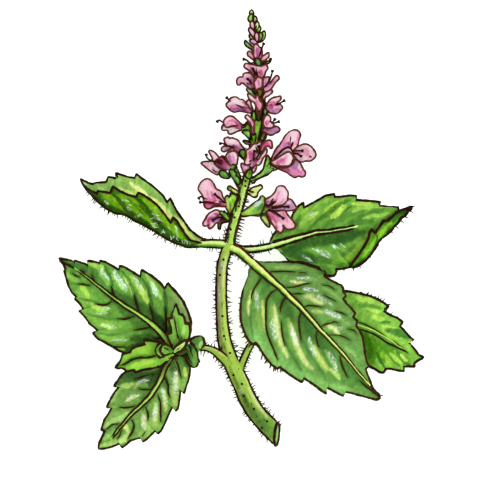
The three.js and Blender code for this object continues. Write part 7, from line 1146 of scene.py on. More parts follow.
def loft(M, rings, cols, endA=None, endB=None):
    """Rings (n, m, 3) joined in order into a closed skin, each end closed by a point."""
    n, m = rings.shape[:2]
    cols = np.broadcast_to(cols, (n, m, 3)) if np.ndim(cols) < 3 or np.shape(cols)[1] != m else cols
    i, j = np.meshgrid(np.arange(n - 1), np.arange(m), indexing="ij")
    a, b = i * m + j, i * m + (j + 1) % m
    quads = np.stack([a, b, b + m, a + m], -1).reshape(-1, 4)
    endA = rings[0].mean(0) if endA is None else endA
    endB = rings[-1].mean(0) if endB is None else endB
    V = np.vstack([rings.reshape(-1, 3), endA[None], endB[None]])
    C = np.vstack([cols.reshape(-1, 3), cols[0].mean(0)[None], cols[-1].mean(0)[None]])
    k, k2, A, B, o = np.arange(m), (np.arange(m) + 1) % m, n * m, n * m + 1, (n - 1) * m
    tris = np.vstack([np.stack([np.full(m, A), k2, k], -1), np.stack([np.full(m, B), o + k, o + k2], -1)])
    T = np.vstack([quads[:, [0, 1, 2]], quads[:, [0, 2, 3]], tris])
    vol = np.einsum("ij,ij->i", V[T[:, 0]], np.cross(V[T[:, 1]], V[T[:, 2]])).sum()
    if vol < 0:
        quads, tris = quads[:, ::-1], tris[:, ::-1]
    M.add(V, [quads, tris], C)


def frames(P, up=(0, 0, 1)):
    """Tangent and two normals along points P, kept from twisting."""
    T = np.gradient(P, axis=0) if len(P) > 1 else np.array([[0, 1, 0.0]])
    T = unit(T)
    R = np.cross(T, np.asarray(up, float))
    weak = np.linalg.norm(R, axis=1) < 0.15
    R = unit(R)
    for i in range(len(P)):
        if weak[i]:
            q = R[i - 1] if i else np.array([1.0, 0, 0])
            R[i] = unit(q - T[i] * np.dot(q, T[i]))
        elif i and np.dot(R[i], R[i - 1]) < 0 and weak[:i].any():
            R[i] = -R[i]
    return T, R, np.cross(R, T)


def tube(M, P, r, sides=8, col=(0, 0, 0), flat=1.0, up=(0, 0, 1), square=0.0, caps=(0.6, 0.6), paint=None):
    """A rod through points P, of radius r. paint(a, s) gives colours by angle (0 right, 90 degrees up) and share of length."""
    P = np.asarray(P, float)
    n = len(P)
    r = np.broadcast_to(np.asarray(r, float), (n,))
    T, R, N = frames(P, up)
    a = np.arange(sides) / sides * 2 * np.pi
    q = 1 + square * np.cos(4 * a - np.pi)
    off = r[:, None, None] * (R[:, None] * (np.cos(a) * q)[None, :, None] + N[:, None] * (np.sin(a) * q * flat)[None, :, None])
    rings = P[:, None] + off
    if paint is not None:
        s = np.linspace(0, 1, n)[:, None] * np.ones((1, sides))
        cols = paint(np.broadcast_to(a, (n, sides)), s, rings)
    else:
        cols = np.asarray(col, float)
        cols = np.broadcast_to(cols[:, None] if cols.ndim == 2 else cols, (n, sides, 3))
    loft(M, rings, cols, P[0] - T[0] * r[0] * caps[0], P[-1] + T[-1] * r[-1] * caps[1])
    return rings


INK_WIDTH = 1.72
INK = srgb("2a1806")
INK2 = srgb("4c2c10")


def ink_line(M, P, r, seed=0, sides=7, flat=0.8, taper=0.25, col=None, up=(0, 0, 1)):
    """A dark line of uneven width, as a thin rod."""
    P = np.asarray(P, float)
    r = np.asarray(r, float) * INK_WIDTH
    S = np.concatenate([[0], np.cumsum(np.linalg.norm(np.diff(P, axis=0), axis=1))])
    s = S / max(S[-1], 1e-6)
    w = 0.66 + 0.48 * noise(S / 1.1, np.full(len(P), seed * 3.7), seed, 2) + 0.26 * noise(S / 0.42, np.full(len(P), seed * 1.3), seed + 3, 1)
    P = P + np.column_stack([noise(S / 1.7, np.full(len(P), seed * 2.9), seed + 31, 2) - 0.5, noise(S / 1.7, np.full(len(P), seed * 5.3), seed + 37, 2) - 0.5, np.zeros(len(P))]) * 0.16
    ends = np.minimum(1, np.minimum(S, S[-1] - S) / max(1e-6, taper * 3) * 0.65 + 0.35)
    k = noise(S / 2.1, np.full(len(P), seed * 1.9 + 5), seed + 9, 2)[:, None]
    c = (INK if col is None else col) * (1 - k) + (INK2 if col is None else col * 1.35) * k
    tube(M, P, r * w * ends, sides, c, flat, up)


def resample(P, step):
    L = Line(P)
    n = max(2, int(round(L.total / step)) + 1)
    return L.at(np.linspace(0, 1, n))


def corners(P, step):
    """A polyline with its corners kept and long pieces divided."""
    P = np.asarray(P, float)
    out = [P[:1]]
    for a, b in zip(P[:-1], P[1:]):
        k = max(1, int(math.ceil(np.linalg.norm(b - a) / step)))
        out.append(a + (b - a) * (np.arange(1, k + 1) / k)[:, None])
    return np.vstack(out)


def hairs(M, P, D, r=0.16, length=(0.7, 1.6), col=None, bend=0.22, sides=4):
    """Short tapered hairs from points P in directions D."""
    for p, d in zip(P, D):
        L = rng.uniform(*length) * (0.6 if rng.random() < 0.35 else 1)
        if rng.random() < 0.14:
            continue
        d = unit(d + rng.normal(0, 0.20, 3))
        q = unit(d + np.array([rng.normal(0, bend), rng.normal(0, bend), -0.1]))
        c = (INK * 0.4 + INK2 if col is None else col) * rng.uniform(0.8, 1.25)
        tube(M, np.array([p - d * 0.1, p + d * L * 0.5, p + d * L * 0.5 + q * L * 0.5]), np.array([r * 1.1, r * 0.85, r * 0.45]), sides, c, caps=(0, 0.6))


# ------------------------------------------------------------------ brush strokes
def parse(text):
    out = []
    for line in text.strip().splitlines():
        w = line.split()
        tag = ""
        while w[0] in ("g", "F"):
            tag += w.pop(0)
        out.append((tag, srgb(w[0]), float(w[1]), float(w[2]), np.array([[float(c) for c in p.split(",")] for p in w[3:]])))
    return out


def parse_lines(text):
    out = []
    for line in text.strip().splitlines():
        w = line.split()
        out.append((float(w[0]), np.array([[float(c) for c in p.split(",")] for p in w[1:]])))
    return out


def stroke_distance(Q, pts):
    """Distance of points Q to a polyline and the share of its length where they are nearest."""
    best = np.full(len(Q), 1e9)
    at = np.zeros(len(Q))
    seg = np.linalg.norm(np.diff(pts, axis=0), axis=1)
    S = np.concatenate([[0], np.cumsum(seg)])
    for i in range(len(pts) - 1):
        a, d = pts[i], pts[i + 1] - pts[i]
        t = np.clip(((Q - a) @ d) / max(d @ d, 1e-9), 0, 1)
        dist = np.linalg.norm(Q - a - t[:, None] * d, axis=1)
        m = dist < best
        best[m] = dist[m]
        at[m] = (S[i] + t[m] * seg[i]) / max(S[-1], 1e-9)
    return best, at


def apply_strokes(Q, col, strokes, seed=0, soft=1.0, mask=None, strength=1.0):
    """Paints strokes over colours col at drawing points Q."""
    wob = np.stack([noise(Q[:, 0] / 3.0, Q[:, 1] / 3.0, seed + 1, 2) - 0.5, noise(Q[:, 0] / 3.0, Q[:, 1] / 3.0, seed + 2, 2) - 0.5], -1)
    for k, (tag, c, w, op, pts) in enumerate(strokes):
        lo, hi = pts.min(0) - w - 3, pts.max(0) + w + 3
        near = np.all((Q > lo) & (Q < hi), axis=1)
        if mask is not None:
            near &= mask(tag)
        idx = np.nonzero(near)[0]
        if not len(idx):
            continue
        q = Q[idx] + wob[idx] * min(2.4, 0.5 + w * 0.25)
        d, t = stroke_distance(q, pts)
        run = np.linalg.norm(np.diff(pts, axis=0), axis=1).sum()
        low = 0.55 if run < 3.5 * w or "g" in tag else 0.22
        taper = low + (1 - low) * np.clip(1 - np.abs(2 * t - 1) ** 2.4, 0, 1) ** 0.6
        edge = max(0.5, w * (0.22 if "g" in tag else 0.36) * soft)
        a = smooth((w * 0.5 * taper - d) / edge + 0.5) * op * strength
        if "g" in tag:      # a painted highlight, as a broken dry-brush stroke
            dirn = unit((pts[-1] - pts[0])[None])[0]
            u, v = q @ dirn, q @ np.array([-dirn[1], dirn[0]])
            g = noise(u / 1.3 + v * 0.6, v / 0.75, seed + k * 7, 2)
            a = a * (0.06 + 0.62 * smooth((g - 0.43) / 0.18))
        else:
            g = noise(q[:, 0] / 1.6, q[:, 1] / 1.6, seed + k * 5, 2)
            a = a * (0.66 + 0.48 * g)
        a = np.clip(a, 0, 1)[:, None]
        col[idx] = col[idx] * (1 - a) + c * a
    return col


def flecks(M, bvh, text, r=0.19, col=None):
    """Short dark hairs from one drawing point to another, starting on a surface where there is one."""
    z = None
    for line in text.strip().splitlines():
        a, b = [mm_xy(np.array([float(c) for c in p.split(",")])) for p in line.split()]
        hit = bvh.ray_cast(Vector((a[0], a[1], 60)), Vector((0, 0, -1)))
        if hit[0] is not None:
            z = hit[0][2] - 0.1
        if z is None:
            continue
        p, q = np.append(a, z), np.append(b, max(0.1, z - 0.15))
        d = unit(q - p)
        m = (p + q) / 2 + np.array([-d[1], d[0], 0]) * 0.06
        tube(M, np.array([p - d * 0.15, m, q]), np.array([r * 1.15, r, r * 0.5]), 5, (INK * 0.5 + INK2 * 0.6) if col is None else col, caps=(0, 0.6))


# ------------------------------------------------------------------ leaves
def leaf_surface(d, step, nv):
    """Rows across a blade from its base to its tip: left margin, midrib, right margin."""
    spine, t0, p, up = curve(d["spine"]), d["t0"], d["p"], unit(np.asarray(d["up"], float))
    side = {"L": Line(d["L"]), "R": Line(d["R"])}
    ws = [0.0, 1.0]
    for k in "LR":
        ws += list(side[k].marks ** (1 / p))
    ws = np.unique(np.round(ws, 6))
    ws = ws[np.concatenate([[True], np.diff(ws) > 0.0012])]
    length = max(spine.total * (1 - t0), side["L"].total, side["R"].total)
    rows = [0.0]
    for a, b in zip(ws[:-1], ws[1:]):
        k = max(1, int(math.ceil((b - a) * length / step)))
        rows += list(a + (b - a) * np.arange(1, k + 1) / k)
    w = np.array(rows)
    w = w[w < 0.9975]
    t = t0 + (1 - t0) * w
    c, T = spine.at(t), spine.tan(t)
    R = unit(np.cross(T, up))
    N = np.cross(R, T)
    s = w ** p
    FOLD = 0.62

    def bez(A, B, q):
        D = np.linalg.norm(B - A, axis=1)[:, None]
        C = (A + B) / 2 - T * d["bow"] * D + N * d["puff"] * D
        q = q[None, :, None]
        return (1 - q) ** 2 * A[:, None] + 2 * q * (1 - q) * C[:, None] + q * q * B[:, None]

    halves, rolled = {}, {}
    for k in "LR":
        m = side[k].at(s)
        P1 = np.column_stack([m[:, :2], table(d["z" + k], s)])
        v = np.linspace(0, 1, nv)
        rolled[k] = np.zeros((len(w), nv), bool)
        if k == "R" and "fold" in d:
            fs = side["R"].marks[d["foldAt"]]
            fl = Line(d["fold"])
            mid = bez(c, P1, np.array([FOLD]))[:, 0]
            kk = smooth((s - fs + 0.28) / 0.28)[:, None]
            F = np.where((s > fs)[:, None], fl.at((s - fs) / (1 - fs)), mid * (1 - kk) + P1 * kk)
            a = bez(c, F, v[v <= FOLD] / FOLD)
            q = ((v[v > FOLD] - FOLD) / (1 - FOLD))[None, :, None]
            out = unit(F - c)[:, None]
            g = np.sin(np.pi * q) * np.where(s > fs, 0.22, 0)[:, None, None] * np.linalg.norm(P1 - F, axis=1)[:, None, None]
            b = F[:, None] * (1 - q) + P1[:, None] * q + out * g
            halves[k] = np.concatenate([a, b], 1)
            rolled[k][:, v > FOLD] = (s > fs)[:, None]
        else:
            halves[k] = bez(c, P1, v)
    S = np.concatenate([halves["L"][:, ::-1], halves["R"][:, 1:]], 1)
    roll = np.concatenate([rolled["L"][:, ::-1], rolled["R"][:, 1:]], 1)
    return dict(w=w, t=t, S=S, roll=roll, c=c, T=T, R=R, N=N, spine=spine, nv=nv, side=side, s=s)


def grid_normals(S):
    du = np.gradient(S, axis=0)
    dv = np.gradient(S, axis=1)
    return unit(np.cross(dv, du))


def strokes_on(bvh, pts, z0=60.0, step=0.45, lift=0.02, keep=None):
    """Drawing points laid on the first surface seen from above, as lists of unbroken runs."""
    P = mm_xy(curve(np.column_stack([pts, np.zeros(len(pts))]), 8).P[:, :2]) if len(pts) > 2 else mm_xy(pts)
    P = resample(np.column_stack([P, np.zeros(len(P))]), step)
    run, runs = [], []
    for x, y, _ in P:
        hit = bvh.ray_cast(Vector((x, y, z0)), Vector((0, 0, -1)))
        if hit[0] is None:
            if len(run) > 1:
                runs.append(np.array(run))
            run = []
            continue
        run.append([hit[0][0] + hit[1][0] * lift, hit[0][1] + hit[1][1] * lift, hit[0][2] + abs(hit[1][2]) * lift])
    if len(run) > 1:
        runs.append(np.array(run))
    return runs


def build_leaf(name, d, spec):
    M = Mesh()
    big = spec.get("step", 0.24)
    G = leaf_surface(d, big, spec["nv"])
    S, nv = G["S"], G["nv"]
    n, m = S.shape[:2]
    mid = nv - 1
    Nn = grid_normals(S)
    if (Nn[n // 3, mid] @ G["N"][n // 3]) < 0:
        Nn = -Nn
    Q = draw_xy(S.reshape(-1, 3))
    seed = spec.get("seed", 1)
    lines = parse_lines(VEINS.get(name, ""))
    # relief: blades are quilted between the side veins and grooved along them
    depth = np.zeros(n * m)
    for wdt, pts in lines:
        dist, _ = stroke_distance(Q, pts)
        depth = np.maximum(depth, np.exp(-(dist / 2.2) ** 2))
    fromrib = np.abs(np.arange(m) - mid)[None] / (nv - 1.0)
    quilt = (noise(Q[:, 0] / 7.0, Q[:, 1] / 7.0, seed, 2) - 0.5).reshape(n, m) * 0.5
    fine = (noise(Q[:, 0] / 1.6, Q[:, 1] / 1.6, seed + 3, 2) - 0.5).reshape(n, m) * 0.09
    fade = smooth(fromrib / 0.10) * smooth((1 - fromrib) / 0.10) * smooth(G["w"] / 0.06)[:, None] * smooth((1 - G["w"]) / 0.05)[:, None]
    relief = (quilt + fine - 0.24 * depth.reshape(n, m)) * fade * spec.get("relief", 1.0)
    thick = spec.get("half", 0.13) * (0.55 + 0.45 * smooth((1 - fromrib) / 0.3))
    thick = thick * np.clip((1 - G["w"]) * 12, 0.4, 1)[:, None]
    base = S + Nn * relief[..., None]
    top, bot = base + Nn * thick[..., None], base - Nn * thick[..., None]
    # colours
    far = np.zeros((n, m), bool)
    if name == "leaf_upper_left":
        far[:, mid:] = True
    elif "fold" in d:
        far = G["roll"]
    farf = far.ravel()
    strokes = parse(spec["strokes"])
    c0 = np.where(farf[:, None], srgb(spec.get("far", spec["base"])), srgb(spec["base"]))
    g = noise(Q[:, 0] / 5.0, Q[:, 1] / 5.0, seed + 4, 3)[:, None]
    c0 = c0 * (0.86 + 0.28 * g)
    mask = (lambda tag: farf if "F" in tag else ~farf)
    col = apply_strokes(Q, c0.copy(), strokes, seed, spec.get("soft", 1.0), mask=mask)
    for wdt, pts in lines:       # painted shade: a soft dark wash beside each drawn vein, where the blade is grooved
        dist, tt = stroke_distance(Q, pts)
        a = (np.exp(-(dist / 2.3) ** 2) * 0.55)[:, None]
        col = col * (1 - a) + col * srgb("6a9a4a") * 1.3 * a
    g2 = noise(Q[:, 0] / 0.9, Q[:, 1] / 0.9, seed + 8, 2)[:, None]
    col = col * (0.92 + 0.16 * g2)
    row = G["w"][:, None] * G["spine"].total + 0 * fromrib
    streak = noise(row / 1.15, fromrib * 1.6 + 0 * row + np.sign(np.arange(m) - mid)[None] * 7.3, seed + 12, 3).reshape(-1, 1)
    g3 = noise(Q[:, 0] / 4.0, Q[:, 1] / 4.0, seed + 14, 2)[:, None]
    col = col * (0.83 + 0.34 * streak) * (0.90 + 0.20 * g3)
    under = srgb(spec.get("under", "8fb765")) * (0.85 + 0.3 * g)
    under = apply_strokes(Q, under, [(t, c * 0.6 + srgb("8fb765") * 0.4, w_, o * 0.55, p_) for t, c, w_, o, p_ in strokes if "g" not in t], seed + 5, 1.6, mask=mask)
    # painted shade: the underside darker along the vein grooves
    under = under * (1 - 0.35 * depth[:, None])
    ctop, cbot = col.reshape(n, m, 3), under.reshape(n, m, 3)
    if name == "leaf_upper_left":    # both faces carry the drawn colours where they are seen
        cbot = ctop.copy()
    if "fold" in d:
        cbot = np.where(G["roll"][..., None], ctop, cbot)
    rings = np.concatenate([top, bot[:, ::-1]], 1)
    cols = np.concatenate([ctop, cbot[:, ::-1]], 1)
    tip = G["spine"].at(1.0)[:3]
    loft(M, rings, cols, endB=tip)
    # surface used to lay lines on
    V = np.vstack([top.reshape(-1, 3), bot.reshape(-1, 3)])
    i, j = np.meshgrid(np.arange(n - 1), np.arange(m - 1), indexing="ij")
    a = (i * m + j).ravel()
    quads = np.stack([a, a + 1, a + m + 1, a + m], -1)
    bvh = BVHTree.FromPolygons(V.tolist(), np.vstack([quads, quads + n * m]).tolist())
    # margins
    rim = spec.get("rim", 0.23)
    for k, e in (("L", 0), ("R", m - 1)):
        P = np.vstack([base[:, e], tip[None]])
        ink_line(M, P, rim, seed + (3 if k == "L" else 4), 7, 0.9)
    if "fold" in d:      # the outer side of the roll, as seen from above: a thick dark line, partly its outline and partly painted shade just inside it
        rows = np.nonzero(G["roll"][:, -1])[0]
        line = []
        for i in rows:
            part = base[i, mid + 1:]
            away = (part[:, :2] - G["c"][i, :2]) @ unit(np.array([[G["T"][i, 1], -G["T"][i, 0]]]))[0]
            line.append(part[np.argmax(away)])
        line = np.array(line)
        ker = np.ones(5) / 5
        pad = np.vstack([line[:1]] * 2 + [line] + [line[-1:]] * 2)
        line = np.stack([np.convolve(pad[:, k], ker, "valid") for k in range(3)], -1)
        ink_line(M, np.vstack([line, tip[None]]) + np.array([0, 0, 0.1]), np.linspace(0.33, 0.32, len(line) + 1), seed + 6, 7, 0.9)
    # midrib and stalk
    sp, t0 = G["spine"], d["t0"]
    rr = d["rb"] + (d["rt"] - d["rb"]) * G["w"] ** 0.8
    k = np.arange(0, n, max(1, n // 140))
    if k[-1] != n - 1:
        k = np.append(k, n - 1)
    st = np.linspace(0, 1, max(8, int(sp.total * t0 / 0.5)))[:-1]
    Pst = sp.at(st * t0)[:, :3]
    midN = unit(Nn[k, mid])
    Prib = base[k, mid] + midN * (rr[k] * 0.18)[:, None]
    up = d["up"]
    rib_end = spec.get("rib_end", 0.93)
    kk = G["w"][k] <= rib_end
    path = np.vstack([Pst, Prib[kk]])
    slim = 1 - (1 - spec.get("slim", 0.62)) * smooth(G["w"][k][kk] / 0.22)
    rad = np.concatenate([d["rp"] + (d["rb"] - d["rp"]) * st, rr[k][kk] * slim])
    Sr = np.concatenate([[0], np.cumsum(np.linalg.norm(np.diff(path, axis=0), axis=1))])
    rad = rad * (0.90 + 0.24 * noise(Sr / 2.4, Sr * 0 + seed, seed + 15, 2) * (np.arange(len(rad)) > len(st)) + 0.08 * (np.arange(len(rad)) <= len(st)))
    sway = (noise(Sr / 3.0, Sr * 0 + seed * 1.7, seed + 16, 2) - 0.5) * 0.30 * smooth((np.arange(len(rad)) - len(st)) / 8.0)
    path = path + unit(np.cross(unit(np.gradient(path, axis=0)), np.asarray(up, float))) * sway[:, None]
    if "rib_dark" in spec:
        rad = rad * (0.72 + 0.28 * smooth((np.linspace(0, 1, len(rad)) - spec["rib_dark"][0]) / spec["rib_dark"][1]))
    rc = [srgb(h) for h in spec.get("rib", ("dcee94", "9fd052", "5f9c36"))]

    rc2 = [srgb(h) for h in spec["rib2"]] if "rib2" in spec else rc
    turn = (len(st) + 2) / len(path)

    def rib_paint(a, s, V3):
        # painted light and shade: each rib and stalk lighter on its lit side, darker on its shaded side and underneath
        q = draw_xy(V3)
        g = noise(q[..., 0] / 2.2, q[..., 1] / 2.2, seed + 6, 2)
        u = np.cos(a) * spec.get("lit", 1) + (g - 0.5) * 0.7
        topness = smooth((np.sin(a) + 0.25) / 0.5)
        x = smooth((u + 0.55) / 1.1)[..., None]
        x2 = smooth((u - spec.get("shade", 0.35)) / 0.5)[..., None]
        w2 = smooth((s - turn) / 0.05)[..., None]
        k0, k1, k2 = [p * (1 - w2) + q * w2 for p, q in zip(rc, rc2)]
        c = (k0 * (1 - x) + k1 * x) * (1 - x2) + k2 * x2
        c = c * topness[..., None] + k2 * 0.9 * (1 - topness[..., None])
        if "rib_dark" in spec:      # the rib starts deep green
            c = c * (0.42 + 0.58 * smooth((s - spec["rib_dark"][0]) / spec["rib_dark"][1]))[..., None]
        return c * (0.9 + 0.2 * g[..., None])

    tube(M, path, rad, 16, flat=spec.get("flat", 0.78), up=up, paint=rib_paint, caps=(0, 0.8))
    T, R, N = frames(path, up)
    inkr = spec.get("ribink", 0.21)
    ns, keel = len(st), name == "leaf_upper_left"
    side_r = rad * (spec.get("flat", 0.78) if keel else 1)
    T0, R0, N0 = frames(path[:ns + 2])
    for sgn in (-1, 1):      # outlines of the stalk
        if ns > 4:
            L = path[:ns + 2] + R0 * (side_r[:ns + 2] * 0.98 * sgn)[:, None] + N0 * (rad[:ns + 2] * 0.22)[:, None]
            a0 = spec.get("stalk_from", (0, 0))[sgn > 0]
            ink_line(M, L[a0:], spec.get("stalkink", 0.20), seed + 40 + sgn, 7, 0.9)
        if keel or sgn in spec.get("rib_skip", ()):
            continue
        L = path[ns:] + R[ns:] * (rad[ns:] * 0.98 * sgn)[:, None] + 0.08 * N[ns:]
        stop = len(L) - (5 if sgn > 0 else 3)
        ink_line(M, L[:stop], inkr * np.linspace(1.1, spec.get("inkfall", 0.8), stop), seed + 20 + sgn, 6, 0.9)
    if keel:
        L = path[ns - 2:] - N[ns - 2:] * (rad[ns - 2:] * 0.9)[:, None] + np.array([0, 0, 0.3])
        ink_line(M, L, 0.19, seed + 22, 6, 0.9)
    # drawn side veins
    for q, (wdt, pts) in enumerate(lines):
        for run in strokes_on(bvh, pts):
            ink_line(M, run, wdt * K * 0.42, seed * 31 + q, 6, 0.55, taper=0.5)
    # painted highlights laid on the blade as fine pale lines
    for w0, c0_, pts in spec.get("down", ()):
        for run in strokes_on(bvh, np.array(pts, float), lift=0.05, step=0.3):
            tube(M, run, np.linspace(w0, w0 * 0.5, len(run)), 4, srgb(c0_))
    # hairs on the stalk, and on a margin where the drawing has them
    if spec.get("stalk_hairs", True) and len(st) > 6:
        s_, path_ = path[: len(st)], None
        hp = resample(s_, spec.get("hair_step", 0.85))
        T2, R2, N2 = frames(hp, (0, 0, 1) if keel else up)
        rloc = np.interp(np.linspace(0, 1, len(hp)), np.linspace(0, 1, len(st)), d["rp"] + (d["rb"] - d["rp"]) * st)
        for sgn in (-1, 1):
            jit = rng.uniform(-0.35, 0.35, len(hp))
            dirs = unit(R2 * sgn + T2 * jit[:, None] + N2 * rng.uniform(-0.5, 0.35, len(hp))[:, None])
            hairs(M, hp + R2 * (rloc * sgn)[:, None] * 0.95, dirs)
    for e, a0, a1, gap in spec.get("margin_hairs", ()):
        col_i = {"L": 0, "R": m - 1, "K": mid}[e]
        ks = np.nonzero((G["w"] >= a0) & (G["w"] <= a1))[0]
        if e == "K":
            P = (base[ks, mid] - G["N"][ks] * 0.3)
            D0 = -G["N"][ks]
        else:
            P = base[ks, col_i]
            D0 = unit((base[ks, col_i] - base[ks, col_i + (3 if e == "L" else -3)]) * np.array([1, 1, 0.15]))
        L = np.concatenate([[0], np.cumsum(np.linalg.norm(np.diff(P, axis=0), axis=1))])
        pos = np.arange(gap * 0.5, L[-1], gap) + rng.uniform(-gap * 0.3, gap * 0.3, len(np.arange(gap * 0.5, L[-1], gap)))
        ii = np.searchsorted(L, pos).clip(0, len(P) - 1)
        hairs(M, P[ii], D0[ii])
    flecks(M, bvh, spec.get("flecks", ""))
    return M, G, bvh


EXPOSE = 0.80
# how each wash is mixed: powers for red, green and blue, contrast, middle tone
WASH = {
    "leaf_front": (0.84, 0.87, 0.98, 1.34, 0.20), "leaf_back_right": (1.05, 1.08, 1.06, 1.35, 0.27), "leaf_upper_right": (1.05, 1.14, 1.10, 1.38, 0.22),
    "leaf_upper_left": (1.02, 1.14, 1.15, 1.36, 0.25), "leaf_shoot_upper": (0.95, 1.0, 1.0, 1.36, 0.21), "leaf_shoot_lower": (0.90, 1.0, 1.0, 1.34, 0.24),
    "leaf_shoot_small_left": (1.08, 1.04, 1.05, 1.15, 0.3), "main_stem": (1.04, 1.32, 1.20, 1.24, 0.34), "left_shoot_stem": (1.04, 1.28, 1.18, 1.2, 0.34), "right_shoot_stem": (1.04, 1.28, 1.18, 1.2, 0.34), "flower_spike_stem": (0.95, 0.96, 0.9, 1.15, 0.36),
    "calyx_b": (0.8, 0.9, 0.85, 1.1, 0.3), "petal_pink": (0.76, 1.15, 1.12, 1.25, 0.42), "bud_pink": (0.9, 1.22, 1.12, 1.1, 0.45), "calyx_green": (0.98, 1.0, 1.0, 1.15, 0.25)}


# ------------------------------------------------------------------ sheets: petals, calyx faces, bracts
def points(text):
    return np.array([[float(c) for c in p.split(",")] for p in text.split()])


def closed_smooth(P, step):
    """A closed outline rounded through its points and divided evenly."""
    n, out, t = len(P), [], (np.arange(6) / 6)[:, None]
    for i in range(n):
        a, b, c, d = P[i - 1], P[i], P[(i + 1) % n], P[(i + 2) % n]
        out.append(0.5 * (2 * b + (c - a) * t + (2 * a - 5 * b + 4 * c - d) * t ** 2 + (3 * b - a - 3 * c + d) * t ** 3))
    Q = np.vstack(out)
    Q = np.vstack([Q, Q[:1]])
    L = Line(Q)
    m = max(12, int(L.total / step))
    return L.at(np.arange(m) / m)


class Height:
    """Height of a petal at any place seen from above, blended from its rows of [x, y, z, half width]."""

    def __init__(self, refs):
        self.refs = [(curve(c, 10).P, cup, dome, lift) for c, cup, dome, lift in refs]

    def __call__(self, XY):
        num, den = np.zeros(len(XY)), np.zeros(len(XY))
        for P, cup, dome, lift in self.refs:
            d2 = ((XY[:, None] - P[None, :, :2]) ** 2).sum(-1)
            # soft nearest point keeps the surface smooth
            w = np.exp(-(d2 - d2.min(1, keepdims=True)) / 0.12)
            w /= w.sum(1, keepdims=True)
            d, z, h = np.sqrt(d2.min(1)), w @ P[:, 2], w @ P[:, 3]
            q = d / np.maximum(h, 0.2)
            if dome:
                zz = z + h * np.sqrt(np.clip(1 - q ** 2, 0.0, 1)) - np.clip(q - 0.95, 0, 2) * h * 0.5 + lift
            else:
                zz = z + cup * h * np.clip(q, 0, 1.35) ** 2 + lift
            k = np.exp(-np.clip(q, 0, 6) ** 2 * 1.6) + 1e-7
            num += zz * k
            den += k
        return num / den


def closed_ring(M, P, r, seed, sides=7, flat=0.9, col=None):
    """A dark rim: a rod along a closed outline."""
    n, r = len(P), r * INK_WIDTH
    T = unit(np.roll(P, -1, 0) - np.roll(P, 1, 0))
    R = unit(np.cross(T, np.array([0, 0, 1.0])))
    N = np.cross(R, T)
    s = np.arange(n) / n
    S = s * np.linalg.norm(np.diff(np.vstack([P, P[:1]]), axis=0), axis=1).sum()
    w = 0.72 + (0.36 * noise(S / 1.2 + seed, np.full(n, seed * 2.3), seed, 2) + 0.26 * noise(S / 0.45, np.full(n, seed * 1.1), seed + 7, 1)) * smooth(np.minimum(s, 1 - s) * 12) + 0.3 * (1 - smooth(np.minimum(s, 1 - s) * 12))
    a = np.arange(sides) / sides * 2 * np.pi
    rr = (r * w)[:, None, None]
    rings = P[:, None] + rr * (R[:, None] * np.cos(a)[None, :, None] + N[:, None] * (np.sin(a) * flat)[None, :, None])
    k = noise(S / 1.9, np.full(n, seed * 1.7), seed + 4, 2)[:, None] * smooth(np.minimum(s, 1 - s) * 10)[:, None]
    c = (INK if col is None else col) * (1 - k) + (INK2 if col is None else col * 1.4) * k
    i, j = np.meshgrid(np.arange(n), np.arange(sides), indexing="ij")
    A, B = i * sides + j, i * sides + (j + 1) % sides
    C, D = ((i + 1) % n) * sides + (j + 1) % sides, ((i + 1) % n) * sides + j
    M.add(rings, np.stack([A, B, C, D], -1).reshape(-1, 4), np.repeat(c, sides, 0))


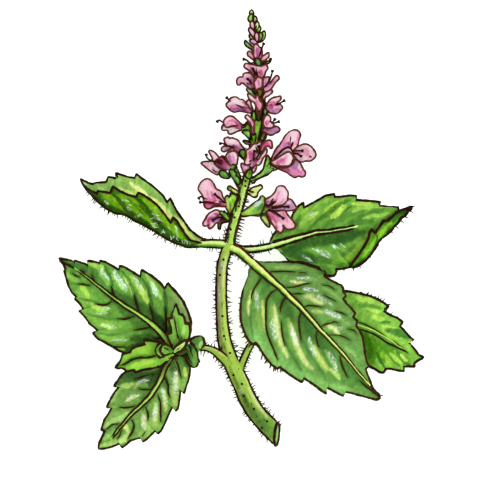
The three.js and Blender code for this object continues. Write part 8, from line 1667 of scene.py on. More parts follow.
def sheet(M, outline, height, base, strokes, seed, half=0.12, step=0.21, rim=0.21, under=0.88, wave=0.05, rimcol=None):
    """A closed petal cut to an outline, laid on a height field, painted, with its rim."""
    B = mm_xy(closed_smooth(outline, 0.24 / K * 1.0))
    lo, hi = B.min(0), B.max(0)
    xs, ys = np.arange(lo[0] + step / 2, hi[0], step), np.arange(lo[1] + step / 2, hi[1], step)
    gx, gy = np.meshgrid(xs, ys)
    gx = gx + (np.arange(len(ys)) % 2 * step * 0.5)[:, None]
    G = np.stack([gx.ravel(), gy.ravel()], -1)
    # inside the outline, and clear of it
    x, y = G[:, 0], G[:, 1]
    inside = np.zeros(len(G), bool)
    for p, q in zip(B, np.roll(B, -1, 0)):
        c = (p[1] > y) != (q[1] > y)
        inside ^= c & (x < (q[0] - p[0]) * (y - p[1]) / ((q[1] - p[1]) if q[1] != p[1] else 1e-9) + p[0])
    dist = np.sqrt(((G[:, None] - B[None]) ** 2).sum(-1)).min(1)
    G = G[inside & (dist > step * 0.6)]
    n = len(B)
    P2 = np.vstack([B, G])
    res = delaunay_2d_cdt([Vector(p) for p in P2], [(i, (i + 1) % n) for i in range(n)], [list(range(n))], 1, 1e-6)
    V2 = np.array([[v[0], v[1]] for v in res[0]])
    F = np.array([f[:] for f in res[2] if len(f) == 3])
    edges = {}
    for t in F:
        for a, b in ((t[0], t[1]), (t[1], t[2]), (t[2], t[0])):
            edges[(a, b)] = 1
    border = np.array([e for e in edges if (e[1], e[0]) not in edges])
    isb = np.zeros(len(V2), bool)
    isb[border.ravel()] = True

    def z(XY):
        q = draw_xy(XY)
        return height(XY) + (noise(q[:, 0] / 3.1, q[:, 1] / 3.1, seed, 2) - 0.5) * wave * 2

    Z = z(V2)
    e = 0.06
    gx = (z(V2 + [e, 0]) - z(V2 - [e, 0])) / (2 * e)
    gy = (z(V2 + [0, e]) - z(V2 - [0, e])) / (2 * e)
    N = unit(np.stack([-gx, -gy, np.ones(len(gx))], -1))
    C3 = np.column_stack([V2, Z])
    d = np.sqrt(((V2[:, None] - B[None]) ** 2).sum(-1)).min(1)
    th = half * (0.5 + 0.5 * smooth(d / 0.35))
    Q = draw_xy(V2)
    top, bot = C3 + N * th[:, None], C3 - N * th[:, None]
    col = np.broadcast_to(srgb(base), (len(V2), 3)) * (0.95 + 0.10 * noise(Q[:, 0] / 2.5, Q[:, 1] / 2.5, seed + 3, 2))[:, None]
    ctop = apply_strokes(Q, col.copy(), strokes, seed, soft=0.8)
    ctop = ctop * (0.965 + 0.07 * noise(Q[:, 0] / 0.8, Q[:, 1] / 0.8, seed + 6, 2))[:, None]
    cbot = apply_strokes(Q, col.copy(), strokes, seed + 2, soft=1.8, strength=0.6) * under
    m = len(V2)
    side = np.stack([border[:, 0], border[:, 0] + m, border[:, 1] + m, border[:, 1]], -1)
    area = np.cross(V2[F[:, 1]] - V2[F[:, 0]], V2[F[:, 2]] - V2[F[:, 0]])
    if area.sum() < 0:
        F, side = F[:, ::-1], side[:, ::-1]
    M.add(np.vstack([top, bot]), [F, F[:, ::-1] + m, side], np.vstack([ctop, cbot]))
    if rim:
        R = closed_smooth(outline, 0.30 / K)
        R = mm_xy(R)
        closed_ring(M, np.column_stack([R, z(R)]), rim, seed, col=rimcol)
    return top, F


def read_sheets(text):
    out = []
    for block in text.strip().split("@")[1:]:
        lines = block.strip().splitlines()
        refs, base, outline = [s.strip() for s in lines[0].split("|")]
        out.append((refs.split(","), base, points(outline), parse("\n".join(lines[1:])) if len(lines) > 1 else []))
    return out


def refs_of(names, f, cup_lobe=-0.22, cup_lip=-0.3):
    out = []
    for nm in names:
        k, lift = nm[0], 0.0
        rest = nm[1:]
        for sgn in "+-":
            if sgn in rest:
                rest, v = rest.split(sgn)
                lift = float(sgn + v)
        if k == "l":
            out.append((f["lobes"][int(rest)], cup_lobe, False, lift))
        elif k == "p":
            out.append((f["lips"][int(rest)], cup_lip, False, lift))
        elif k == "b":
            out.append((DATA["BRACTS"][int(rest)], cup_lip, False, lift))
        elif k == "c":
            out.append((f["calyx"], 0, True, lift))
    return out


class Tops:
    """The upper faces gathered from some sheets, to lay pen strokes on."""

    def __init__(self):
        self.v, self.f, self.n = [], [], 0

    def add(self, V, F):
        self.v.append(V)
        self.f.append(F + self.n)
        self.n += len(V)

    def bvh(self):
        return BVHTree.FromPolygons(np.vstack(self.v).tolist(), np.vstack(self.f).tolist())


BROWN = srgb("58442a")


def pen(M, text, bvh, seed):
    for q, (wdt, pts) in enumerate(parse_lines(text)):
        for run in strokes_on(bvh, pts, step=0.22):
            ink_line(M, run, wdt * K * 0.36, seed * 17 + q, 7, 0.6, taper=0.16)


def build_sheets(M, node, f, seed, tops, **kw):
    for i, (names, base, outline, strokes) in enumerate(read_sheets(SHEETS.get(node, ""))):
        V, F = sheet(M, outline, Height(refs_of(names, f)), base, strokes, seed * 7 + i, rimcol=BROWN if node.startswith("flower_") and f else None, **kw)
        tops.add(V, F)


def stamen(M, pts, seed, share=1.0, head=1.0):
    P = resample(curve(pts, 8).P[:, :3], 0.18)
    P = P[: max(6, int(len(P) * share))]
    n = len(P)
    r = 0.22 + 0.10 * noise(np.arange(n) / 3.0, np.full(n, float(seed)), seed)
    c = INK * 1.25
    tube(M, P, r, 8, c, caps=(0, 0.8))
    # a two-lobed anther across the end of the filament
    e, T = P[-1], unit(P[-1] - P[-3])
    R = unit(np.cross(T, np.array([0, 0, 1.0])))
    N = np.cross(R, T)
    for sgn in (-1, 1):
        c0 = e + R * 0.16 * sgn + N * 0.02
        if head < 0.2:
            continue
        s = np.linspace(-1, 1, 9) * head
        axis = unit(T + R * 0.25 * sgn)
        A = c0 + axis * (s * 0.40)[:, None]
        tube(M, A, 0.30 * head * np.sqrt(np.clip(1 - (s / head * 0.93) ** 2, 0.02, 1)), 9, INK * 0.9 + srgb("5a3020") * 0.15 * (sgn > 0), caps=(0.4, 0.4))


def corolla_tube(M, f, seed, shrink=0.9):
    P4 = curve(f["tube"], 12).P
    P = resample(P4, 0.16)
    a, b = srgb("e6a9c8"), srgb("6a2f58")

    def paint(ang, s, V):
        q = draw_xy(V)
        g = noise(q[..., 0] / 1.2, q[..., 1] / 1.2, seed, 2)
        # darker towards the throat: the tube's purple, with painted shade in the throat
        x = smooth(s * 0.8 + (g - 0.5) * 0.5)[..., None]
        c = a * (1 - x) + b * x
        vein = (0.5 + 0.5 * np.cos(ang * 5))[..., None] ** 3
        return c * (1 - 0.25 * vein) * (0.85 + 0.3 * g[..., None])

    rings = tube(M, P[:, :3], P[:, 3] * shrink, 16, paint=paint, caps=(0, 0.1))
    return rings


def calyx_cup(M, f, seed, base, dark, ink=True, ribs=10, teeth=5, wall=0.16, grow=1.0, node="", mouth_ink=True, start=0.0):
    """A ribbed cup on a short stalk with a toothed, hollow mouth."""
    C = curve(f["calyx"], 14)
    n = max(14, int(C.total / 0.22))
    t = np.linspace(start, 1, n)
    P = C.at(t)
    T, R, N = frames(P[:, :3])
    sides = 40
    a = np.arange(sides) / sides * 2 * np.pi
    rad = P[:, 3] * grow
    rib = 1 + 0.045 * np.cos(a * ribs)[None] * smooth(t / 0.25)[:, None]
    rings = P[:, None, :3] + (rad[:, None] * rib)[..., None] * (R[:, None] * np.cos(a)[None, :, None] + N[:, None] * np.sin(a)[None, :, None])
    rm = rad[-1]
    tooth = np.abs(((a / (2 * np.pi) * teeth + 0.25) % 1) * 2 - 1)
    shift = 0.34 * rm * smooth(tooth)
    mouth = []
    for k, (q, rr) in enumerate(((0.34, 0.99), (0.67, 0.975), (1.0, 0.96))):
        mouth.append(P[-1, :3] + (rm * rr) * (R[-1] * np.cos(a)[:, None] + N[-1] * np.sin(a)[:, None]) + T[-1] * (shift * q)[:, None])
    inner = [P[-1, :3] + max(0.1, rm - wall) * (R[-1] * np.cos(a)[:, None] + N[-1] * np.sin(a)[:, None]) + T[-1] * (shift * 0.72)[:, None]]
    deep = 0.8 * rm
    for q in (0.35, 0.7, 1.0):
        tt = max(0.05, 1 - deep * q / C.total)
        p = C.at(tt)
        Tn = C.tan(tt)
        Rn = unit(np.cross(Tn, np.array([0, 0, 1.0])))
        Nn = np.cross(Rn, Tn)
        ri = max(0.08, (p[3] * grow - wall) * (1 - 0.25 * q ** 2))
        inner.append(p[:3] + ri * (Rn * np.cos(a)[:, None] + Nn * np.sin(a)[:, None]))
    allr = np.concatenate([rings, np.stack(mouth), np.stack(inner)])
    m = len(rings) + 3
    s = np.concatenate([t, [1, 1, 1, 1, 0.9, 0.8, 0.7]])
    q = draw_xy(allr)
    g = noise(q[..., 0] / 1.8, q[..., 1] / 1.8, seed, 2)[..., None]
    b, d = srgb(base), srgb(dark)
    # painted shade in the grooves between the ribs
    groove = (0.5 - 0.5 * np.cos(a * ribs))[None, :, None] ** 2
    col = b * (0.82 + 0.36 * g) * (1 - 0.30 * groove) + 0 * allr
    for names, face, outline, strokes in read_sheets(SHEETS.get(node, "")):
        if any(nm[0] == "c" for nm in names):
            up = (np.sin(a)[None] > -0.2) & (np.arange(len(allr)) < m)[:, None] & (q[..., 0] > outline[:, 0].min()) & (q[..., 0] < outline[:, 0].max()) & (q[..., 1] > outline[:, 1].min()) & (q[..., 1] < outline[:, 1].max())
            flat = np.where(up[..., None], srgb(face) * (0.88 + 0.24 * g) * (1 - 0.15 * groove), col).reshape(-1, 3)
            uf = up.ravel()
            col = apply_strokes(q.reshape(-1, 2), flat, strokes, seed, mask=lambda tag: uf).reshape(col.shape)
    # painted shade: the lower side of the cup darker
    low = smooth((0.1 - np.sin(a)) / 0.9)[None, :, None]
    col = col * (1 - 0.25 * low)
    # painted shade: the inside of the mouth dark
    col[m:] = d * 0.8
    loft(M, allr, col, endB=inner[-1].mean(0) - T[-1] * 0.05)
    if ink:
        for sgn in (3, sides // 2 - 3):
            L = allr[: m, sgn]
            ink_line(M, L, 0.17, seed + sgn, 7, 0.9)
        edge = resample(np.vstack([allr[m - 1], allr[m - 1][:1]])[:, :3], 0.2)[:-1]
        if mouth_ink:
            closed_ring(M, edge, 0.15, seed + 3, 6)
    return allr[: m]


def lip_strip(M, ctrl, cup, th, base, seed, rows=None, rim=0.19, strokes=(), cols=6, under=0.85, vein=True):
    """A lip or young leaf on its own centre line, when it is seen from another side."""
    C = curve(ctrl, 12)
    wEnd = ctrl[-1][3]
    tEnd = 1 - min(0.45, wEnd / C.total)
    rows = rows or max(8, int(C.total / 0.22))
    t = np.concatenate([np.linspace(0, tEnd, rows), tEnd + (1 - tEnd) * np.array([0.3, 0.55, 0.75, 0.9, 0.97])])
    P = C.at(t)
    T = C.tan(t)
    R = unit(np.cross(T, np.array([0, 0, 1.0])))
    N = np.cross(R, T)
    w = P[:, 3] * np.where(t > tEnd, np.sqrt(np.clip(1 - ((t - tEnd) / (1 - tEnd)) ** 2, 0.02, 1)), 1)
    v = np.linspace(-1, 1, cols * 2 + 1)
    S = P[:, None, :3] + (R * w[:, None])[:, None] * v[None, :, None] + N[:, None] * (cup * w[:, None] * v[None] ** 2)[..., None]
    q = draw_xy(S.reshape(-1, 3))
    wob = (noise(q[:, 0] / 2.4, q[:, 1] / 2.4, seed, 2) - 0.5).reshape(S.shape[:2]) * 0.10
    wob = wob - 0.06 * np.exp(-(v / 0.12) ** 2)[None] * (1 if vein else 0)
    S = S + N[:, None] * wob[..., None]
    h = th * (0.6 + 0.4 * smooth((1 - np.abs(v)) / 0.3))[None, :, None] * np.ones((len(t), 1, 1))
    Nn = np.broadcast_to(N[:, None], S.shape)
    top, bot = S + Nn * h, S - Nn * h
    col = srgb(base) * (0.86 + 0.28 * noise(q[:, 0] / 2.2, q[:, 1] / 2.2, seed + 2, 2))[:, None]
    col = apply_strokes(q, col, strokes, seed) if len(strokes) else col
    if vein:
        col = col * (1 - 0.22 * np.exp(-(np.tile(v, len(t)) / 0.10) ** 2))[:, None]
    ct = col.reshape(*S.shape)
    rings = np.concatenate([top, bot[:, ::-1]], 1)
    cols_ = np.concatenate([ct, ct[:, ::-1] * under], 1)
    loft(M, rings, cols_, endB=C.at(1.0)[:3])
    if rim:
        P_ = np.vstack([S[:, 0], C.at(1.0)[None, :3], S[::-1, -1]])
        ink_line(M, resample(P_, 0.25), rim, seed + 5, 7, 0.9)
    m, n = S.shape[1], S.shape[0]
    i, j = np.meshgrid(np.arange(n - 1), np.arange(m - 1), indexing="ij")
    A = (i * m + j).ravel()
    return top.reshape(-1, 3), np.vstack([np.stack([A, A + 1, A + m + 1], -1), np.stack([A, A + m + 1, A + m], -1)])


# ------------------------------------------------------------------ stems
def stem(M, name, seed, sides=22, square=0.03, inkr=0.24, cut=None, hair=True, hair_gap=0.72, skip=(0, 0), grow=1.0, rise=0.34, lean=(), gaps=(), sink=None):
    ctrl = DATA["STEMS"][name]
    base, text = STEMPAINT[name]
    strokes = parse(text)
    C = curve(ctrl, 14)
    n = int(C.total / 0.32)
    t = np.linspace(0, 1, n)
    P = C.at(t)
    if lean:      # the stalk sways a little from its straight course
        y = draw_xy(P)[:, 1]
        P[:, 0] += np.interp(y, *zip(*lean))
        if name == "flower_spike_stem":
            P[:, 3] *= (1 + 0.13 * smooth((y - 172) / 12)) * (1 + 0.38 * smooth((y - 114) / 5) * smooth((148 - y) / 6)) * (1 + 0.5 * smooth((y - 92) / 5) * smooth((117 - y) / 5))
    if sink:
        P[:, 2] -= sink[1] * smooth((sink[0] - draw_xy(P)[:, 0]) / 7)
    S = t * C.total
    r = P[:, 3] * grow * (1 + 0.05 * (noise(S / 2.6, np.full(n, 3.0), seed, 2) - 0.5))
    T, R, N = frames(P[:, :3])
    a = np.arange(sides) / sides * 2 * np.pi
    q = 1 + square * np.cos(4 * a - np.pi) + 0.012 * np.cos(a * 14)
    rings = P[:, None, :3] + (r[:, None] * q[None])[..., None] * (R[:, None] * np.cos(a)[None, :, None] + N[:, None] * np.sin(a)[None, :, None])
    if cut is not None:
        nv = unit(np.asarray(cut, float))
        k = max(2, int(3.0 / 0.32))
        for i in range(k):      # the cut slants the first rings, less and less
            d = rings[i] - P[i, :3]
            h = (d @ nv) / (T[i] @ nv)
            rings[i] = rings[i] - T[i] * (h * (1 - i / k))[:, None]
    Q = draw_xy(rings)
    g = noise(Q[..., 0] / 3.0 + a[None] * 0, Q[..., 1] / 3.0, seed + 2, 3)
    streak = noise(S[:, None] / 4.0 + 0 * a[None], a[None] * 3.2 + 0 * S[:, None], seed + 5, 2)
    col = srgb(base) * (0.82 + 0.20 * g + 0.18 * streak)[..., None]
    up = np.sin(a)[None, :] + 0 * S[:, None] > -0.12
    flat, upf = col.reshape(-1, 3), up.ravel()
    flat = apply_strokes(Q.reshape(-1, 2), flat, strokes, seed, mask=lambda tag: upf)
    col = flat.reshape(col.shape)
    # painted shade: the underside of each stem darker
    low = smooth((-0.1 - np.sin(a)) / 0.8)[None, :, None]
    col = col * (1 - 0.28 * low) + srgb("6a9a38") * 0.15 * low
    start = P[0, :3]
    if cut is not None:
        # the cut face: bark ring, green flesh, pale pith
        face = [(1.0, INK), (0.95, srgb("3a6a24")), (0.86, srgb("4f9438")), (0.70, srgb("74b04c")), (0.45, srgb("a4cc7c")), (0.25, srgb("8cc064")), (0.12, srgb("6aa848"))]
        fr = np.stack([P[0, :3] + (rings[0] - P[0, :3]) * k for k, _ in face[::-1]])
        for i in range(len(fr)):
            fr[i] += T[0] * 0.05 * np.sin(i * 2.1)
        fc = np.stack([np.broadcast_to(c, (sides, 3)) * (0.93 + 0.14 * noise(a * 2.0, np.full(sides, i * 2.0), seed + i, 2))[:, None] for i, (_, c) in enumerate(face[::-1])])
        rings, col = np.concatenate([fr[:-1], rings]), np.concatenate([fc[:-1], col])
        col[len(fr) - 1] = INK
    loft(M, rings, col, endA=start, endB=P[-1, :3] + T[-1] * r[-1] * 0.3)
    a0, b0 = skip
    keep = slice(a0, len(P) - b0 if b0 else None)
    for sgn in (-1, 1):
        L = P[keep, :3] + R[keep] * (r[keep] * math.cos(rise) * sgn)[:, None] + N[keep] * (r[keep] * math.sin(rise))[:, None]
        if cut is not None:
            first = (len(rings) - n)
            for i in range(9):
                L[i] = rings[first + i][1 if sgn > 0 else sides // 2 - 1]
        q2 = draw_xy(L)
        hide = np.zeros(len(L), bool)
        for x0, y0, x1, y1 in gaps:
            hide |= (q2[:, 0] > x0) & (q2[:, 0] < x1) & (q2[:, 1] > y0) & (q2[:, 1] < y1)
        cuts = np.nonzero(np.diff(hide.astype(int)))[0] + 1
        for piece, h in zip(np.split(L, cuts), np.split(hide, cuts)):
            if len(piece) > 3 and not h[0]:
                ink_line(M, piece, inkr, seed + 10 + sgn, 8, 0.9)
    if cut is not None:
        edge = resample(np.vstack([rings[len(rings) - n], rings[len(rings) - n][:1]]), 0.3)[:-1]
        closed_ring(M, edge, 0.23, seed + 40, 8)
    if hair:
        for sgn in (-1, 1):
            pos = np.arange(0.8, C.total - 0.5, hair_gap)
            pos = pos + rng.uniform(-0.3, 0.3, len(pos))
            i = np.clip(np.searchsorted(S, pos), 0, n - 1)
            dirs = unit(R[i] * sgn + T[i] * rng.uniform(-0.55, 0.35, len(i))[:, None] + N[i] * rng.uniform(-0.45, 0.45, len(i))[:, None])
            hairs(M, P[i, :3] + R[i] * (r[i] * sgn)[:, None], dirs, r=0.17, length=(0.8, 1.8))
        # a few on the upper face and below
        pos = np.arange(1.1, C.total - 0.8, hair_gap * 2.1)
        i = np.clip(np.searchsorted(S, pos), 0, n - 1)
        for s0 in (1, -1):
            ang = rng.uniform(0.25, 0.75, len(i)) * np.pi * s0
            d = R[i] * np.cos(ang)[:, None] + N[i] * np.sin(ang)[:, None]
            if s0 < 0 and name == "main_stem":
                m = P[i, 2] - r[i] > 1.6
                hairs(M, (P[i, :3] + d * r[i][:, None])[m], unit(d + T[i] * 0.4)[m], r=0.05, length=(0.35, 0.7))
            else:
                hairs(M, P[i, :3] + d * r[i][:, None], unit(d * 0.6 + T[i] * rng.uniform(-0.9, 0.9, len(i))[:, None]), r=0.045, length=(0.35, 0.6), col=srgb("7a6a40"))
    i, j = np.meshgrid(np.arange(n - 1), np.arange(sides), indexing="ij")
    A, B = i * sides + j, i * sides + (j + 1) % sides
    body = rings[-n:]
    return BVHTree.FromPolygons(body.reshape(-1, 3).tolist(), np.stack([A, B, B + sides, A + sides], -1).reshape(-1, 4).tolist())


def dots_on(M, text, bvh, r=0.34):
    for x, y in points(text):
        X, Y = mm_xy(np.array([x, y]))
        hit = bvh.ray_cast(Vector((X, Y, 60)), Vector((0, 0, -1)))
        if hit[0] is None:
            continue
        c, nn = np.array(hit[0]), np.array(hit[1])
        nn = nn if nn[2] > 0 else -nn
        s = np.linspace(-1, 1, 6)
        tube(M, c + nn * (0.12 + s * 0.14)[:, None], r * np.sqrt(np.clip(1 - (s * 0.9) ** 2, 0.05, 1)), 9, INK, up=(1, 0.2, 0), caps=(0.1, 0.1))


def bud(M, ctrl, base, light, seed, ink=0.215, cap=0.5, sides=14, slim=0.86):
    C = curve(np.asarray(ctrl, float) * [1, 1, 1, slim], 12)
    n = max(12, int(C.total / 0.12))
    t = np.linspace(0, 1, n)
    P = C.at(t)
    r = P[:, 3] * np.sqrt(np.clip(1 - np.abs(2 * t - 1) ** 6 * 0.75, 0.1, 1))

    def paint(ang, s, V):
        q = draw_xy(V)
        g = noise(q[..., 0] / 1.1, q[..., 1] / 1.1, seed, 2)
        # painted light: the upper side of each bud lighter than its lower side
        x = smooth((np.sin(ang) + 0.2) / 1.0 * (0.4 + 0.6 * s) + (g - 0.5) * 0.6)[..., None]
        c = srgb(base) * (1 - x) + srgb(light) * x
        seam = np.exp(-((np.cos(ang) / 0.10) ** 2)) * (np.sin(ang) > 0)
        return c * (0.9 + 0.2 * g[..., None]) * (1 - 0.12 * seam[..., None])

    tube(M, P[:, :3], r, sides, paint=paint, caps=(0.5, cap))
    T, R, N = frames(P[:, :3])
    if ink:
        k = slice(1, None)
        loop = np.vstack([(P[k, :3] - R[k] * r[k, None] * 1.02), P[-1:, :3] + T[-1:] * (r[-1] * 0.5 + 0.12), (P[k, :3] + R[k] * r[k, None] * 1.02)[::-1], P[:1, :3] - T[:1] * (r[0] * 0.5)])
        loop = resample(np.vstack([loop, loop[:1]]), 0.2)[:-1]
        loop[:, 2] += 0.04
        closed_ring(M, loop, ink, seed + 1, 7)


# ------------------------------------------------------------------ materials
def material(name, rough=0.55, spread=0.12, bump=0.15, scale=900.0, vary=0.10, sheen=0.0):
    m = bpy.data.materials.new(name)
    m.use_nodes = True
    nt = m.node_tree
    nt.nodes.clear()
    out = nt.nodes.new("ShaderNodeOutputMaterial")
    b = nt.nodes.new("ShaderNodeBsdfPrincipled")
    nt.links.new(b.outputs["BSDF"], out.inputs["Surface"])
    b.inputs["Metallic"].default_value = 0.0
    b.inputs["IOR"].default_value = 1.42
    b.inputs["Specular IOR Level"].default_value = 0.06
    att = nt.nodes.new("ShaderNodeAttribute")
    att.attribute_name = "paint"
    tex = nt.nodes.new("ShaderNodeTexCoord")
    n1 = nt.nodes.new("ShaderNodeTexNoise")
    n1.inputs["Scale"].default_value = scale
    n1.inputs["Detail"].default_value = 3.0
    n1.inputs["Roughness"].default_value = 0.6
    nt.links.new(tex.outputs["Object"], n1.inputs["Vector"])
    r1 = nt.nodes.new("ShaderNodeMapRange")
    r1.inputs["From Min"].default_value, r1.inputs["From Max"].default_value = 0.3, 0.7
    r1.inputs["To Min"].default_value, r1.inputs["To Max"].default_value = 1 - vary, 1 + vary
    nt.links.new(n1.outputs["Fac"], r1.inputs["Value"])
    mul = nt.nodes.new("ShaderNodeVectorMath")
    mul.operation = "SCALE"
    nt.links.new(att.outputs["Color"], mul.inputs[0])
    nt.links.new(r1.outputs["Result"], mul.inputs["Scale"])
    nt.links.new(mul.outputs["Vector"], b.inputs["Base Color"])
    n2 = nt.nodes.new("ShaderNodeTexNoise")
    n2.inputs["Scale"].default_value = scale * 0.45
    n2.inputs["Detail"].default_value = 2.0
    nt.links.new(tex.outputs["Object"], n2.inputs["Vector"])
    r2 = nt.nodes.new("ShaderNodeMapRange")
    r2.inputs["From Min"].default_value, r2.inputs["From Max"].default_value = 0.3, 0.7
    r2.inputs["To Min"].default_value, r2.inputs["To Max"].default_value = rough - spread, rough + spread
    nt.links.new(n2.outputs["Fac"], r2.inputs["Value"])
    nt.links.new(r2.outputs["Result"], b.inputs["Roughness"])
    if bump:
        bp = nt.nodes.new("ShaderNodeBump")
        bp.inputs["Strength"].default_value = bump
        bp.inputs["Distance"].default_value = 0.0001
        nt.links.new(n1.outputs["Fac"], bp.inputs["Height"])
        nt.links.new(bp.outputs["Normal"], b.inputs["Normal"])
    return m


MAT = {
    "stem_green": material("stem_green", 0.55, 0.10, 0.25, 1500, 0.09),
    "leaf_green": material("leaf_green", 0.52, 0.10, 0.25, 1300, 0.16),
    "leaf_light": material("leaf_light", 0.52, 0.10, 0.25, 1300, 0.15),
    "leaf_young": material("leaf_young", 0.50, 0.10, 0.2, 1400, 0.08),
    "petal_pink": material("petal_pink", 0.60, 0.10, 0.12, 1800, 0.09),
    "calyx_green": material("calyx_green", 0.60, 0.10, 0.2, 1700, 0.10),
    "calyx_yellow": material("calyx_yellow", 0.65, 0.10, 0.15, 1700, 0.06),
    "bud_green": material("bud_green", 0.60, 0.10, 0.15, 1700, 0.08),
    "bud_pink": material("bud_pink", 0.58, 0.10, 0.10, 1800, 0.05),
}


# how the lightest parts of a wash are tinted: from, to, red, green, blue
TINT = {
    "petal_pink": (0.42, 0.60, (0.945, 0.77, 0.755)), "bud_pink": (0.42, 0.60, (0.95, 0.80, 0.82)), "main_stem": (0.28, 0.60, (0.96, 0.80, 1.3)), "left_shoot_stem": (0.28, 0.60, (0.96, 0.80, 1.3)), "right_shoot_stem": (0.28, 0.60, (0.96, 0.80, 1.3)), "flower_spike_stem": (0.3, 0.65, (0.97, 0.92, 1.1)),
    "leaf_front": (0.35, 0.6, (0.98, 0.97, 1.02))}


def place(M, node, slot):
    M.c = [tone(c, WASH.get(node, WASH.get(slot, (1, 1, 1, 1.1, 0.3))), TINT.get(node, TINT.get(slot))) for c in M.c]
    ob = M.object("vis_" + node, MAT[slot], slot)
    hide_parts(node)
    return ob


def tone(c, wash, tint=None):
    """Colours as painted, set for the light they are seen in."""
    w = np.array([0.25, 0.65, 0.10])
    y = np.maximum(c @ w, 1e-4)[:, None]
    k = np.clip((y / wash[4]) ** (wash[3] - 1), 0.55, 1.5)
    out = np.clip(np.maximum(c, 1e-4) ** np.array(wash[:3]) * k, 0, 1.0 if tint else 1.12)
    if tint:
        h = smooth((out @ w - tint[0]) / (tint[1] - tint[0]))[:, None]
        out = out * (1 - h * (1 - np.array(tint[2])))
    return np.minimum(out, 1.12) * EXPOSE


# ------------------------------------------------------------------ build: leaves
LEAF_SLOT = {"leaf_back_right": "leaf_light", "leaf_shoot_small_left": "leaf_young", "leaf_shoot_small_top": "leaf_young", "leaf_shoot_right_b": "leaf_young"}
LEAF_SPEC = {
    "leaf_front": dict(nv=44, seed=11, slim=0.86, rib_end=0.905, ribink=0.24, inkfall=0.5, shade=0.12, stalkink=0.24, margin_hairs=[("R", 0.05, 0.42, 0.8)], soft=2.2, rib=("c8ea78", "98d848", "4f9a34")),
    "leaf_upper_right": dict(nv=38, seed=12, slim=0.95, rib_end=0.60, ribink=0.27, stalkink=0.24, rib=("cfe8a0", "a0d858", "5f9c36"), margin_hairs=[("L", 0.0, 0.12, 0.9)]),
    "leaf_upper_left": dict(nv=38, seed=13, flat=1.0, rim=0.205, slim=0.45, stalkink=0.22, rib=("c8e888", "90cc54", "5fa83c"), rib2=("3f7a10", "33700c", "2a5f08"), margin_hairs=[("K", 0.03, 0.9, 0.75)]),
    "leaf_back_right": dict(nv=38, seed=14, slim=0.6, rib_skip=(-1, 1), rib_end=0.80, margin_hairs=[("L", 0.2, 0.6, 0.9)], rib=("b4dc64", "90c848", "5fa030")),
    "leaf_shoot_upper": dict(nv=40, seed=15, slim=0.8, rib_end=0.86, ribink=0.23, inkfall=0.6, rib=("9ed058", "86c04a", "56923a")),
    "leaf_shoot_lower": dict(nv=40, seed=16, rim=0.205, slim=0.82, rib_dark=(0.10, 0.18), ribink=0.20, inkfall=0.8, rib_end=0.86, rib=("a8d060", "8cc44c", "4a8434")),
    "leaf_shoot_small_left": dict(nv=20, seed=17, rim=0.25, relief=0.6, ribink=0.12, slim=0.35, rib_skip=(-1, 1), rib=("93cc42", "8cc840", "7ab838")),
    "leaf_shoot_small_top": dict(nv=18, seed=18, rim=0.25, relief=0.5, ribink=0.12, slim=0.35, rib_skip=(-1, 1), rib=("82c048", "82bc48", "6aa83c")),
    "leaf_shoot_right_a": dict(nv=14, seed=19, rim=0.25, relief=0.4, ribink=0.10, slim=0.35, rib_skip=(-1, 1), rib=("68a446", "5f9a3c", "4a8a30"), stalk_hairs=False),
    "leaf_shoot_right_b": dict(nv=14, seed=20, rim=0.25, relief=0.4, ribink=0.10, slim=0.35, rib_skip=(-1, 1), rib=("68a446", "5f9a3c", "4a8a30"), stalk_hairs=False),
}
LEAF_SPEC["leaf_upper_right"]["flecks"] = """
377,246 380,248
381,240 383.6,242.4
385,236 388.6,237.6
390,231 393,233.4
396,226.4 398.4,229
401,221 404,223.4
405,217 408.4,218.4
410,211 413,213
412,207 415.4,206
369,255 371,258
359,265.6 360.6,268.6
353,268.6 353.6,271
344,268.6 343.6,271.2"""
LEAF_SPEC["leaf_front"]["flecks"] = """
249.5,266 246.6,264.6
247.4,271 244.4,270
245.6,276 242.4,275.4
244.2,281 241,280.6
243,286.6 239.8,286
242.4,292 239.4,291
241.8,297.6 238.4,297.8
241.6,303 238,303.4
241.4,309 238.2,310.4
241.6,315 238,316
242,320.4 239.2,322.4
242.8,326 239.6,327.6
243.8,331 241,333.4
245.4,336 242,337.8
247.6,341 245,343.6
250.4,345 248,347.6
262,357 260.6,360.4
266,361 264,363.6
271,365.4 269.4,368.6
276,368 275,371.4
281,369.6 280.4,372.6
376,394 379.6,398
380,396 384,396"""
# painted highlights: fine pale lines raised on the blade: radius, colour, points
LEAF_SPEC["leaf_upper_left"]["down"] = [(0.10, "dcecec", p) for p in (
    ((152, 213.5), (155, 215)), ((156, 215), (160, 216)), ((150, 219), (153, 218.4)), ((158, 219.5), (162, 221)), ((151, 224), (157, 223)),
    ((154, 227.6), (159, 227)), ((163, 229.6), (164.6, 233.4)), ((168, 227), (171, 230)), ((170.4, 236), (171.6, 240)), ((175, 225.6), (177.4, 231)),
    ((176.4, 238), (178, 241)), ((182, 240), (183.4, 245)), ((187, 241), (187.6, 245.6)), ((190, 244), (190.6, 247.6)), ((139, 214), (143, 215.4)), ((129, 204.4), (132, 206)))]
for name, spec in LEAF_SPEC.items():
    spec.update(PAINT[name])
    M, G, bvh = build_leaf(name, DATA["LEAVES"][name], spec)
    place(M, name, LEAF_SLOT.get(name, "leaf_green"))
for i, (name, r) in enumerate(DATA["SHOOT_RIBBONS"].items()):
    M = Mesh()
    top, F = lip_strip(M, r["pts"], r["cup"], r["th"] * 0.42, PAINT[name]["base"], 60 + i, rim=0.27, strokes=parse(PAINT[name]["strokes"]), cols=10)
    pen(M, VEINS.get(name, ""), BVHTree.FromPolygons(top.tolist(), F.tolist()), 70 + i)
    place(M, name, "leaf_young")

